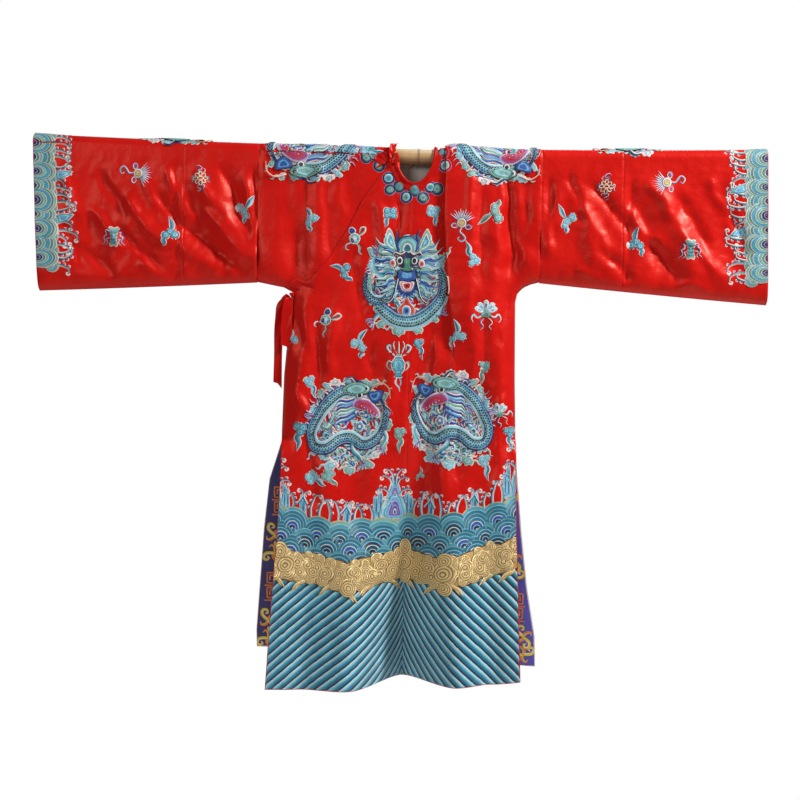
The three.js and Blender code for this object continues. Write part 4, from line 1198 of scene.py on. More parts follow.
def thread_material(name, roughness, metallic, sheen, pitch, contrast, bump):
    material, tree, shader = new_material(name)
    colour = add_node(tree, "ShaderNodeVertexColor", layer_name="floss")
    run = add_node(tree, "ShaderNodeUVMap", uv_map="flat")
    place = add_node(tree, "ShaderNodeTexCoord")
    lines = add_node(tree, "ShaderNodeGroup", node_tree=thread_lines)
    lines.inputs["Pitch"].default_value = pitch
    tree.links.new(run.outputs["UV"], lines.inputs["Run"])
    tree.links.new(place.outputs["Object"], lines.inputs["Place"])
    shade = math_node(tree, "MULTIPLY_ADD", lines.outputs["Shade"], contrast * 2, 1 - contrast)
    mixed = add_node(tree, "ShaderNodeVectorMath", operation="SCALE")
    tree.links.new(colour.outputs["Color"], mixed.inputs[0])
    tree.links.new(shade, mixed.inputs["Scale"])
    tree.links.new(mixed.outputs[0], shader.inputs["Base Color"])
    shader.inputs["Roughness"].default_value = roughness
    shader.inputs["Metallic"].default_value = metallic
    shader.inputs["Sheen Weight"].default_value = sheen
    shader.inputs["Sheen Roughness"].default_value = 0.4
    lift = add_node(tree, "ShaderNodeBump", _Strength=0.5, _Distance=bump)
    tree.links.new(lines.outputs["Height"], lift.inputs["Height"])
    tree.links.new(lift.outputs["Normal"], shader.inputs["Normal"])
    return material


floss_silk = thread_material("floss_silk", 0.42, 0.0, 0.15, 0.9, 0.3, 0.0003)
gold_thread = thread_material("gold_thread", 0.4, 0.28, 0.0, 1.1, 0.3, 0.0004)
print("thread finishes", floss_silk.name, gold_thread.name)
# %% [markdown]
# The border round the skirt is built from the hem up: slanting stripes of deep water, a belt of
# couched gold cloud, rows of overlapping wave arcs, and foam that leaps from them. The stripes rise
# to a chevron at the centre seam. Each one is a padded roll that goes from a pale line to dark teal,
# so one sheet of bands, drawn in to the hem and the gold belt, makes them all.

# %% Where the border's lines run
FRONT_GOLD = np.array([[-345, 1084], [-290, 1100], [-230, 1104], [-145, 1126], [-80, 1108], [5, 1092],
    [60, 1104], [107, 1112],
                       [160, 1098], [205, 1076], [260, 1068], [310, 1044]], float)
BACK_GOLD = np.array([[-385, 1062], [-260, 1092], [-120, 1106], [0, 1076], [140, 1104], [270, 1090],
    [365, 1058]], float)
FRONT_WAVES = np.array(
    [[-345, 936], [-300, 948], [-220, 976], [-155, 986], [40, 962], [100, 968], [180, 948], [240, 928],
        [310, 902]], float
)
BACK_WAVES = np.array([[-385, 912], [-230, 944], [-110, 962], [0, 930], [120, 960], [250, 946], [365, 906]],
    float)
STRIPE_BANDS = [(0.1, "dark_teal"), (0.17, "white"), (0.4, "light_blue"), (0.6, "mid_teal"), (0.84, "teal"),
    (1.0, "dark_teal")]


def stripes(art, side, gold, low, high):
    """Chevron stripes from the gold belt down to the hem, on both sides of the centre seam."""
    edges = np.array([0.0] + [edge for edge, _ in STRIPE_BANDS[:-1]])
    colours = np.array([FLOSS[name] for _, name in STRIPE_BANDS])
    for end, slope in ((low, 1.0), (high, 1.12)):
        rise = 23.5 if slope == 1.0 else 25.5
        x = np.linspace(CENTRE_SEAM, end, int(abs(end) / (6 if side < 0 else 9)))
        number = np.arange(-22, 17)
        v = (number[:, None] + edges[None]).ravel()
        away = np.abs(x - CENTRE_SEAM)
        slant = slope * (0.86 * away + 62 * (1 - np.exp(-away / 52))) + 5 * np.sin(away / 60)
        ragged = 0.8 * uneven(x[:, None] * 4, v[None] * 37.0, 22, 3.0)
        w = 1090 + v[None] * rise + slant[:, None] + ragged
        share = v - np.floor(v + 1e-6)
        top = np.interp(x, gold[:, 0], gold[:, 1])[:, None] - 12
        foot = hem_w(x, side)[:, None] - 1.2
        height = np.broadcast_to(2.6 * np.sin(math.pi * share) ** 0.7 + 0.35, w.shape)
        w = np.clip(w, top, foot)
        tint = np.broadcast_to(colours[np.arange(len(v) - 1) % len(colours)], (len(x) - 1, len(v) - 1, 3))
        tone = 1 + 0.16 * uneven(x[:-1, None] * 1.0, v[None, :-1] * 22.0, 26, 8.0)
        flat = np.stack(np.broadcast_arrays(x[:, None], w if side < 0 else -w), -1)
        art.grid(flat, height, tint * tone[..., None], x[:, None] * 1.4,
            np.broadcast_to(v[None] * 20, w.shape))


border_floss = {}
for side, name, gold, low, high in ((-1, "front", FRONT_GOLD, -344, 303),
    (1, "back", BACK_GOLD, -388, 362)):
    border_floss[side] = Needlework()
    stripes(border_floss[side], side, gold, low, high)
print("stripe points", border_floss[-1].count, border_floss[1].count)

# %% [markdown]
# Each wave is a broad arch of six deep bands with a pale line between them, from a thin gold
# outline to navy at its heart. The rows are staggered like roof tiles, and each lower row lies over
# the one above it.

# %% Rows of waves
WAVE_BANDS = {
    "blue": ("mid_teal", "teal", "teal", "teal", "blue", "navy"),
    "teal": ("teal", "mid_teal", "teal", "dark_teal", "dark_teal", "night"),
    "sage": ("sage", "mid_teal", "teal", "teal", "dark_teal", "navy"),
}


def wave_rings(kind):
    rings, share = [(1.0, "gold")], 0.965
    for band, pale in zip(WAVE_BANDS[kind], ("light_blue", "sage", "light_blue", "white", "light_blue",
        "white")):
        rings += [(share, band), (share - 0.125, pale)]
        share -= 0.158
    return rings


def wave_rows(art, side, waves, gold, low, high, seed):
    dice = np.random.default_rng(seed)
    for row in range(6):
        count = int((high - low) / 62) + 2
        for k in range(count):
            x = low + (k + (0.5 if row % 2 else 0.0)) * (high - low) / (count - 1) + dice.uniform(-5, 5)
            w = np.interp(x, waves[:, 0], waves[:, 1]) + row * 33 + 42 + dice.uniform(-3, 3)
            half = dice.uniform(43, 54)
            if w > np.interp(x, gold[:, 0], gold[:, 1]) + 4 or not low - 20 < x < high + 20:
                continue
            art.at(x, w, level=0.9 + 0.22 * row, back=side > 0)
            arch = ellipse(half, dice.uniform(44, 51), 27, -16, 196)
            arch = np.concatenate([arch, np.linspace(arch[-1], arch[0], 14)[1:-1]])
            art.patch(arch, wave_rings(dice.choice(["blue", "blue", "teal", "sage"])), crown=0.9,
                centre=(0, -11))


wave_rows(border_floss[-1], -1, FRONT_WAVES, FRONT_GOLD, -344, 300, 5)
wave_rows(border_floss[1], 1, BACK_WAVES, BACK_GOLD, -388, 360, 6)
print("with waves", border_floss[-1].count, border_floss[1].count)

# %% [markdown]
# Foam leaps off the waves in long arms that end in hooked curls, with buds of spray along one
# side. Rock pillars stand between them, and three tall peaks rise at the centre and at each slit,
# each one a small arch on a broad one, with foam springing from its top.

# %% Foam and rocks
def foam_arm(art, x, w, turn, reach, bend, back=False, flip=False, beads=3, level=0.5, colour="sage",
    base=4.6):
    """A long arm of foam that ends in a hooked curl, with small curls along one side."""
    art.at(x, w, turn, 1.0, flip, back, level)
    line = curve([(2, -16), (-3, reach * 0.35), (bend * 0.1, reach * 0.74), (bend * 0.5 + 2, reach * 0.97),
        (bend + 6, reach)], 18)
    art.band(line, [base, base * 0.8, base * 0.55, 2.2],
        [(-0.55, "pink_white"), (0.1, colour), (0.6, "teal"), (1.0, "navy")], 0.9)
    tip = line[-1] + np.array([0.6, -4.6]) + spiral(-0.8, 5.2, 2.0, 90, 13)
    art.band(tip, [2.3, 2.2, 1.4], [(-0.2, "white"), (1.0, "pink_white")], 1.1)
    for k in range(beads):
        at = line[int(4 + k * 11 / max(beads, 1))]
        bud = at + np.array([-5, 3]) + spiral(0.7, 3.4, 1.6, 10, 9)
        art.band(bud, [1.7, 1.6, 1.0], [(-0.1, "pink_white"), (1.0, "sky")], 0.9)


def pillar(art, x, w, half, tall, side, level=-0.1, lean=0.0):
    """A rock with a broken top, standing behind the waves."""
    art.at(x, w, lean, back=side > 0, level=level)
    block = [(-half * 1.1, -24), (-half, tall * 0.3), (-half * 1.05, tall * 0.78), (-half * 0.55, tall),
        (-half * 0.2, tall * 0.8), (half * 0.3, tall * 0.92)]
    block += [(half * 0.75, tall * 0.66), (half * 0.85, tall * 0.2), (half * 1.2, -24)]
    art.patch(fine_line(block + block[:1], 7)[:-1],
        [(1.0, "pink_white"), (0.92, "light_blue"), (0.76, "sky"), (0.56, "mid_teal"), (0.3, "teal")], 0.9)
    for a, b, c in ((-0.45, 0.86, "light_blue"), (0.1, 0.72, "blue"), (0.5, 0.6, "light_blue")):
        art.level = level + 0.75
        art.band(fine_line([(half * a, -6), (half * a * 0.8, tall * b)], 8), [1.3, 0.9, 0.3], [(1.0, c)],
            0.6)


def foam(art, side, waves, low, high, seed):
    dice = np.random.default_rng(seed)
    x, number = low + 10, 0
    while x < high - 4:
        w = np.interp(x, waves[:, 0], waves[:, 1]) + 4
        if number % 5 == 3:
            pillar(art, x, w, dice.uniform(8, 12), dice.uniform(40, 62), side, -0.1, dice.uniform(-8, 8))
            for lean in (-24, 14):
                foam_arm(art, x + lean * 0.3, w - 38, lean, dice.uniform(12, 24), 5, side > 0, lean < 0, 1,
                    0.6, "light_blue", 3.2)
        else:
            lean = dice.uniform(2, 16) * (1 if number % 4 < 2 else -1)
            foam_arm(art, x, w, -lean * 0.5, dice.uniform(38, 66), abs(lean), side > 0, lean < 0, 3,
                0.1 + 0.01 * number, "light_blue" if number % 2 else "sage")
        x += dice.uniform(19, 26)
        number += 1


def peak(art, x, w, side, half, tall):
    """A rock peak: a small arch on a broad one, pillars beside it and foam springing from the top."""
    for lean, a, b, reach in ((-34, -0.3, 0.96, 26), (-12, -0.15, 1.02, 32), (14, 0.15, 1.02, 34),
        (36, 0.3, 0.94, 26), (-58, -0.6, 0.62, 24), (58, 0.6, 0.62, 24)):
        foam_arm(art, x + a * half * (-1 if side > 0 else 1), w - b * tall, -lean, reach, 6, side > 0,
            lean < 0, 2, 0.5, "light_blue", 3.4)
    for a, b in ((-1.5, 0.55), (1.5, 0.6), (-1.15, 0.8), (1.15, 0.74)):
        pillar(art, x + a * half, w, half * 0.26, tall * b, side, 0.0)
    rings = [(1.0, "pink_white"), (0.93, "light_blue"), (0.8, "mid_teal"), (0.68, "light_blue"),
        (0.62, "sky"), (0.5, "lavender"), (0.44, "violet")]
    rings += [(0.32, "lavender"), (0.28, "violet"), (0.16, "white"), (0.1, "navy")]
    for level, foot, scale in ((0.3, 0.46, 0.56), (0.4, -0.3, 1.0)):
        art.at(x, w - foot * tall, back=side > 0, level=level)
        arch = [(-half * scale, 0), (-half * 0.9 * scale, tall * 0.5 * scale),
            (-half * 0.4 * scale, tall * 1.02 * scale), (half * 0.4 * scale, tall * 1.02 * scale)]
        arch += [(half * 0.9 * scale, tall * 0.5 * scale), (half * scale, 0)]
        art.patch(curve(arch, 30, closed=True), rings, 1.1, centre=(0, tall * 0.2 * scale))


foam(border_floss[-1], -1, FRONT_WAVES, -344, 300, 11)
foam(border_floss[1], 1, BACK_WAVES, -388, 360, 12)
for x, w, half, tall in ((-28, 952, 30, 72), (-336, 944, 24, 84), (296, 896, 26, 96)):
    peak(border_floss[-1], x, w, -1, half, tall)
for x, w, half, tall in ((-6, 926, 32, 80), (-378, 906, 24, 84), (356, 900, 24, 84)):
    peak(border_floss[1], x, w, 1, half, tall)
border_pieces = {side: art.sew(f"border_floss_{'front' if side < 0 else 'back'}", floss_silk) for side,
    art in border_floss.items()}

# %% [markdown]
# The gold belt is couched work: pairs of gold threads laid side by side in whorls and sewn down,
# with dark outlines between. A pad of gold lies under them all, the whorls cover it like cloud
# heads, each with its heart a little off centre, and small tails point down onto the stripes.

# %% The couched gold belt
GOLD_RINGS = [(1.0, "brown"), (0.95, "light_gold"), (0.84, "gold"), (0.76, "brown"), (0.7, "light_gold"),
    (0.58, "gold"), (0.5, "brown")]
GOLD_RINGS += [(0.45, "light_gold"), (0.32, "gold"), (0.25, "brown"), (0.18, "light_gold")]


def gold_head(art, x, w, radius, start, side, level):
    art.at(x, w, turn=start, back=side > 0, level=level)
    art.patch(ellipse(radius, radius * 0.88, 22), GOLD_RINGS, 2.2, centre=(radius * 0.12, radius * 0.06))


def gold_belt(art, side, gold, low, high, stacks, seed):
    dice = np.random.default_rng(seed)
    line = np.linspace(low + 6, high - 6, 70)
    middle = np.interp(line, gold[:, 0], gold[:, 1])
    scallop = 36 + 4 * np.abs(np.sin(line / 21))
    art.at(0, 0, back=side > 0, level=2.9)
    pad = np.stack([line * (-1 if side > 0 else 1), -middle], -1)
    art.band(pad, scallop, [(-0.93, "brown"), (-0.3, "gold"), (0.3, "light_gold"), (0.93, "gold"),
        (1.0, "brown")], 1.0)
    for base, step, radius, level in ((-27, 30, 15, 3.4), (26, 32, 16, 3.5), (-8, 33, 20, 3.8),
        (12, 36, 20, 4.0)):
        x = low + dice.uniform(2, 12)
        while x < high:
            r = radius * dice.uniform(0.8, 1.2)
            w = np.interp(x, gold[:, 0], gold[:, 1]) + base + dice.uniform(-5, 5)
            gold_head(art, x, w, r, dice.uniform(0, 360), side, level + dice.uniform(0, 0.3))
            x += step * dice.uniform(0.8, 1.15)
    for x, w, r in stacks:
        gold_head(art, x, w, r, dice.uniform(0, 360), side, 4.7 + dice.uniform(0, 0.3))
    for x in np.arange(low + 24, high, 58):
        w = np.interp(x, gold[:, 0], gold[:, 1]) + 36
        art.at(x + dice.uniform(-12, 12), w, flip=dice.random() < 0.5, back=side > 0, level=3.0)
        tail = curve([(-12, 4), (-2, -4), (8, -10), (20, -26)], 12)
        art.band(tail, [7, 6.5, 4.5, 0.8], [(-0.8, "brown"), (-0.1, "gold"), (0.8, "light_gold"), (1.0,
            "brown")], 1.5)
        art.band(tail + [-8, 3], [5, 5, 3.5, 0.8], [(-0.8, "brown"), (0.8, "light_gold"), (1.0, "brown")],
            1.5)


FRONT_STACKS = [(4, 1050, 24), (5, 1088, 27), (4, 1124, 22), (107, 1078, 22), (106, 1110, 31),
    (108, 1148, 20), (-140, 1150, 24), (-128, 1112, 22)]
FRONT_STACKS += [(-196, 1116, 22), (-316, 1062, 24), (-300, 1096, 28), (-330, 1118, 20), (200, 1070, 22),
    (262, 1060, 20), (-84, 1120, 19), (58, 1122, 20)]
BACK_STACKS = [(0, 1040, 24), (0, 1076, 28), (0, 1112, 21), (130, 1104, 28), (-128, 1106, 28),
    (260, 1088, 24), (-270, 1090, 24)]
gold_pieces = {}
for side, gold, low, high, stacks, seed in ((-1, FRONT_GOLD, -344, 300, FRONT_STACKS, 21),
    (1, BACK_GOLD, -388, 360, BACK_STACKS, 22)):
    art = Needlework()
    gold_belt(art, side, gold, low, high, stacks, seed)
    gold_pieces[side] = art.sew(f"gold_belt_{'front' if side < 0 else 'back'}", gold_thread)
# %% [markdown]
# The dragons are the robe's chief needlework: one seen from the front on the chest, and others in
# profile in roundels over the rest. A dragon is drawn as a maker builds it, from the back layer to
# the front: rim clouds, legs and claws, the coiled body with its dark spine and pale belly, the
# mane, and last the head. All of it is a generic traditional beast, drawn with smooth curves.

# %% Parts of a dragon
SCALES = []  # flat places, headings and sizes of the dragons' scales, sewn later
BODY_BANDS = [(-0.76, "navy"), (-0.68, "lavender"), (-0.3, "mid_teal"), (0.2, "light_blue"), (0.5, "sage")]
BODY_BANDS += [(0.58, "dark_teal"), (0.9, "light_blue"), (1.0, "pink_white")]


def dragon_body(art, path, half, bands=BODY_BANDS, crown=2.4, scale_step=6.6):
    """A coil of body with rows of scales between its spine and its belly."""
    art.band(path, half, bands, crown)
    path = np.asarray(path, float)
    run = np.concatenate([[0], np.cumsum(np.linalg.norm(np.diff(path, axis=0), axis=1))])
    places = np.arange(4, run[-1] - 4, scale_step)
    centre = np.stack([np.interp(places, run, path[:, k]) for k in (0, 1)], -1)
    ahead = unit(np.stack([np.interp(places + 1, run, path[:, k]) for k in (0, 1)], -1) - centre)
    side = np.stack([-ahead[:, 1], ahead[:, 0]], -1)
    widths = np.interp(places / run[-1], np.linspace(0, 1, len(np.atleast_1d(half))), np.atleast_1d(half))
    for row, share in enumerate((-0.52, -0.18, 0.16, 0.44)):
        spots = centre + side * (widths * share)[:, None] + ahead * (scale_step / 2 * (row % 2))
        tips = art.laid(spots + ahead)
        spots = art.laid(spots)
        height = art.level + crown * math.sqrt(1 - share**2) - 0.05
        for spot, tip in zip(spots, tips):
            SCALES.append((*spot, *(tip - spot), height))
    for k in range(0, len(places), 2):  # belly ridges
        a = centre[k] + side[k] * widths[k] * 0.58
        art.band([a, centre[k] + side[k] * widths[k] * 0.95 + ahead[k]], 0.7, [(1.0, "dark_teal")], 0.6)


def tuft(art, points, half, colours, level=0.0):
    """A lock of hair or a flame: a tapered band with a pale edge."""
    keep = art.level
    art.level = keep + level
    art.band(curve(points, 9), [half, half * 0.9, half * 0.6, 0.4],
        [(-0.45, colours[0]), (0.4, colours[1]), (1.0, colours[2])], 1.0)
    art.level = keep


def claw(art, x, y, turn, size=1.0):
    """A foot with four hooked toes."""
    c, s = math.cos(math.radians(turn)), math.sin(math.radians(turn))
    spin = lambda pts: [(x + size * (a * c - b * s), y + size * (a * s + b * c)) for a, b in pts]
    for a in (-14, -5, 5, 13):
        toe = spin([(0, 0), (a * 0.6, 8), (a, 15), (a * 0.95 - 2, 21)])
        art.band(curve(toe, 8), [3.4 * size, 2.8 * size, 2 * size, 0.5],
            [(-0.3, "lavender"), (0.5, "violet"), (1.0, "white")], 1.2)
    art.patch(np.array([x, y]) + ellipse(5.5 * size, 5.5 * size, 10),
        [(1.0, "pink_white"), (0.7, "magenta")], 1.4)


def leg(art, points, turn, size=1.0):
    path = curve(points, 14)
    art.band(path, [8 * size, 7 * size, 5 * size],
        [(-0.6, "dark_teal"), (0.1, "mid_teal"), (0.6, "light_blue"), (1.0, "white")], 1.6)
    claw(art, *points[-1], turn, size)


def rim_cloud(art, x, y, turn, size=1.0, tint="sage"):
    """A small cloud at a roundel's rim: three lobes with a pale outline and a trailing tail."""
    c, s = math.cos(math.radians(turn)), math.sin(math.radians(turn))
    spin = lambda pts: np.array([(x + size * (a * c - b * s), y + size * (a * s + b * c)) for a, b in pts])
    out = curve(spin([(-15, -5), (-13, 6), (-5, 8), (0, 13), (7, 8), (15, 7), (17, -3), (8, -8), (-4, -7)]),
        30, closed=True)
    art.band(curve(spin([(12, -2), (22, -6), (30, -1), (36, -6)]), 10), [3.2, 2.6, 1.8, 0.5],
        [(-0.2, "pink_white"), (1.0, tint)], 0.9)
    art.patch(out, [(1.0, "pink_white"), (0.86, tint), (0.5, "sage_dark"), (0.42, "light_blue"),
        (0.22, tint)], 1.2)


def eye(art, x, y, r):
    art.patch(np.array([x, y]) + ellipse(r * 1.3, r * 1.3, 12),
        [(1.0, "night"), (0.86, "white"), (0.56, "night")], 1.6)


def clutter(art, radius, count, seed, inner=0.0):
    """Short curved stitches in many colours, turning round the middle, that fill a roundel's ground."""
    dice = np.random.default_rng(seed)
    pairs = [("white", "light_blue"), ("light_blue", "teal"), ("sage", "light_blue"),
        ("light_blue", "navy"),
             ("white", "sage"), ("lavender", "blue"), ("mid_teal", "dark_teal"), ("pink_white", "violet"),
             ("light_blue", "mid_teal"), ("sage", "dark_teal"), ("pink_white", "magenta")]
    base = art.level
    for _ in range(count):
        r, a = radius * math.sqrt(dice.uniform(inner**2, 1)), dice.uniform(0, 2 * math.pi)
        x, y = r * math.cos(a), r * math.sin(a)
        way = a + math.pi / 2 + dice.uniform(-0.8, 0.8)
        reach, bend = dice.uniform(6, 12), dice.uniform(-5, 5)
        c, s = math.cos(way), math.sin(way)
        line = [(x - c * reach, y - s * reach), (x - s * bend, y + c * bend),
            (x + c * reach, y + s * reach)]
        light, dark = pairs[dice.integers(len(pairs))]
        art.level = base + dice.uniform(0.5, 1.1)
        art.band(curve(line, 6), [1.6, 4.4, 0.6], [(-0.55, "night" if dice.random() < 0.3 else dark), (0.1,
            dark), (1.0, light)], 0.9)
    art.level = base


def rim(art, radius, seed, tints=("sage", "light_blue"), skip=()):
    """Clouds in a row round a roundel, each a little different, and curls between them."""
    dice = np.random.default_rng(seed)
    base = art.level
    for k in range(16):
        a = math.radians(k * 22.5 + dice.uniform(-6, 6))
        if any(low < math.degrees(a) < high for low, high in skip):
            continue
        r = radius * dice.uniform(0.93, 1.02)
        art.level = base + dice.uniform(0.0, 0.4)
        rim_cloud(art, r * math.cos(a), r * math.sin(a), math.degrees(a) - 90 + dice.uniform(-25, 25),
            dice.uniform(0.72, 1.0), tints[k % len(tints)])
    art.level = base


print("dragon parts ready")

# %% [markdown]
# The chest dragon faces out. Its head is built in the middle: a scaled brow, a dark nose and
# snout, ringed eyes and an open mouth, with a jagged beard, a mane that fans to both sides, fins
# and horns above, and the flaming pearl held in the coil below.

# %% The dragon that faces out
def front_dragon(art):
    base = art.level
    clutter(art, 100, 420, 51, 0.25)
    art.level = base + 0.9
    rim(art, 103, 52, skip=((60, 125), (245, 300)))
    art.level = base + 1.2
    for x, y, turn, size in ((-62, -92, 200, 1.0), (-18, -108, 180, 1.1), (30, -104, 165, 1.0),
        (74, -78, 140, 0.9),
                             (98, -36, 95, 0.9), (-100, -14, 280, 0.8), (-96, 62, 300, 0.9),
                                 (96, 52, 60, 0.9)):
        rim_cloud(art, x, y, turn, size)
    leg(art, [(-60, 6), (-84, 22), (-90, 44), (-80, 58)], 20)
    leg(art, [(-50, -62), (-72, -72), (-86, -86)], 130, 0.9)
    leg(art, [(64, -58), (82, -72), (92, -66)], -70, 0.8)
    art.level = base + 0.7
    dragon_body(art, curve([(-104, 18), (-108, -12), (-92, -38), (-66, -44), (-48, -30)], 26),
        [4, 9, 13, 14, 10])
    art.level = base + 1.1
    dragon_body(art, curve([(84, 34), (97, 2), (92, -34), (62, -66), (22, -86), (-22, -86), (-54, -70),
        (-76, -52)], 56), [9, 14, 18, 20, 20, 19, 15])
    for k, a in enumerate(np.linspace(-70, 20, 12)):  # fringe of the coil at the left
        r = math.radians(180 + a * 0.5)
        tuft(art, [(96 * math.cos(r), 96 * math.sin(r) + 4), (108 * math.cos(r), 108 * math.sin(r) + 2),
            (114 * math.cos(r), 114 * math.sin(r) - 5)], 2.2, ("white", "lavender", "night"))
    art.level = base + 1.6
    for side in (-1, 1):
        fans = [(26, 70, 58, 92, 62, 104), (30, 62, 70, 78, 84, 96), (32, 52, 70, 62, 94, 78),
            (34, 42, 72, 46, 98, 58),
                (36, 32, 70, 32, 96, 36), (36, 22, 68, 18, 92, 20), (36, 10, 62, 4, 88, 4),
                    (34, 0, 58, -10, 84, -10),
                (32, -8, 52, -20, 76, -26), (28, -14, 44, -30, 66, -40), (22, -20, 36, -36, 50, -50)]
        tints = [("white", "light_blue", "teal"), ("pink_white", "mid_teal", "navy"),
            ("white", "sage", "dark_teal"), ("light_blue", "blue", "navy")]
        for k, (a, b, c, d, e, f) in enumerate(fans):
            tuft(art, [(side * a, b), (side * (a + c) / 2, (b + d) / 2 + 4), (side * c, d), (side * e, f)],
                7.5, tints[k % 4], 0.05 * k)
            tuft(art, [(side * a, b - 4), (side * (a + c) / 2, (b + d) / 2 - 3), (side * c * 0.92, d - 8)],
                4.5, tints[(k + 2) % 4], 0.4 + 0.05 * k)
        fin = curve([(side * 24, 62), (side * 34, 92), (side * 50, 118), (side * 60, 104), (side * 64, 84),
            (side * 46, 66)], 26, closed=True)
        art.patch(fin, [(1.0, "pink_white"), (0.9, "sage"), (0.62, "white"), (0.5, "mid_teal"),
            (0.2, "light_blue")], 1.4)
        art.level = base + 2.4
        art.band(curve([(side * 20, 62), (side * 27, 84), (side * 26, 102), (side * 33, 116)], 12),
            [5, 4.4, 3, 0.8], [(-0.2, "navy"), (0.6, "blue"), (1.0, "night")], 1.6)
        art.level = base + 1.6
    art.level = base + 2.2
    dome = curve([(-28, 62), (-26, 86), (-12, 100), (12, 100), (26, 86), (28, 62), (0, 52)], 30,
        closed=True)
    art.patch(dome, [(1.0, "night"), (0.92, "mid_teal"), (0.78, "light_blue"), (0.6, "sage"),
        (0.42, "white"), (0.3, "teal")], 2.0, centre=(0, 72))
    for k in range(9):
        a = math.radians(28 + k * 15.5)
        art.band([(14 * math.cos(a), 66 + 14 * math.sin(a)), (24 * math.cos(a), 66 + 24 * math.sin(a))],
            1.2, [(1.0, "night")], 2.2)
    beard = [(36 * math.cos(math.radians(a)) * (1.0 if k % 2 else 0.8),
        -6 + 34 * math.sin(math.radians(a)) * (1.0 if k % 2 else 0.8)) for k,
            a in enumerate(np.linspace(160, 380, 27))]
    art.patch(np.array(beard), [(1.0, "light_blue"), (0.93, "blue"), (0.8, "navy"), (0.66, "blue")], 2.2,
        centre=(0, -4))
    art.level = base + 3.0
    face = curve([(-17, 66), (-20, 44), (-15, 26), (-26, 16), (-26, 2), (26, 2), (26, 16), (15, 26),
        (20, 44), (17, 66)], 36, closed=True)
    art.patch(face, [(1.0, "night"), (0.9, "navy"), (0.62, "navy"), (0.4, "green")], 2.2, centre=(0, 40))
    snout = curve([(-27, 18), (-22, 26), (0, 22), (22, 26), (27, 18), (25, 4), (0, 1), (-25, 4)], 30,
        closed=True)
    art.level = base + 3.8
    art.patch(snout, [(1.0, "night"), (0.85, "blue"), (0.5, "sky")], 1.6)
    for side in (-1, 1):
        art.band(curve([(side * 6, 66), (side * 17, 60), (side * 33, 64), (side * 40, 56)], 12),
            [2.6, 3.2, 2.6, 0.8], [(-0.2, "night"), (0.5, "white"), (1.0, "orange")], 1.8)
        eye(art, side * 20, 46, 7.2)
        art.patch(np.array([side * 38, 40]) + ellipse(8, 9, 12),
            [(1.0, "white"), (0.74, "pink"), (0.4, "red")], 1.4)
        art.patch(np.array([side * 12, 27]) + ellipse(4, 3.2, 9), [(1.0, "white"), (0.6, "night")], 1.4)
        whisker = curve([(side * 24, 8), (side * 30, -14), (side * 37, -34), (side * 52, -46),
            (side * 66, -38)], 22)
        art.band(whisker, [2.2, 2.2, 1.8, 1.4, 0.6], [(0.3, "night"), (1.0, "white")], 2.4)
    mouth = curve([(-17, 1), (-18, -10), (-10, -20), (10, -20), (18, -10), (17, 1)], 26, closed=True)
    art.patch(mouth, [(1.0, "white"), (0.86, "pink"), (0.66, "white"), (0.52, "red"), (0.22, "night")], 1.6)
    art.level = base + 2.0
    flame = np.array([(0, -30), (10, -46), (24, -62), (12, -78), (0, -88), (-12, -78), (-24, -62),
        (-10, -46)], float)
    art.patch(curve(flame, 32, closed=True), [(1.0, "pink_white"), (0.92, "red"), (0.8, "orange"), (0.74,
        "red")], 1.0)
    art.level = base + 2.8
    art.patch(np.array([0, -64]) + ellipse(12.5, 12.5, 20),
        [(1.0, "white"), (0.84, "sky"), (0.55, "blue"), (0.3, "navy")], 2.0)
    art.level = base


print("front dragon ready")

# %% [markdown]
# A roundel dragon is seen from the side. Its body leaves the head along the rim, loops at one side
# and comes back across in a wave, with its legs reaching out and clouds at the rim.

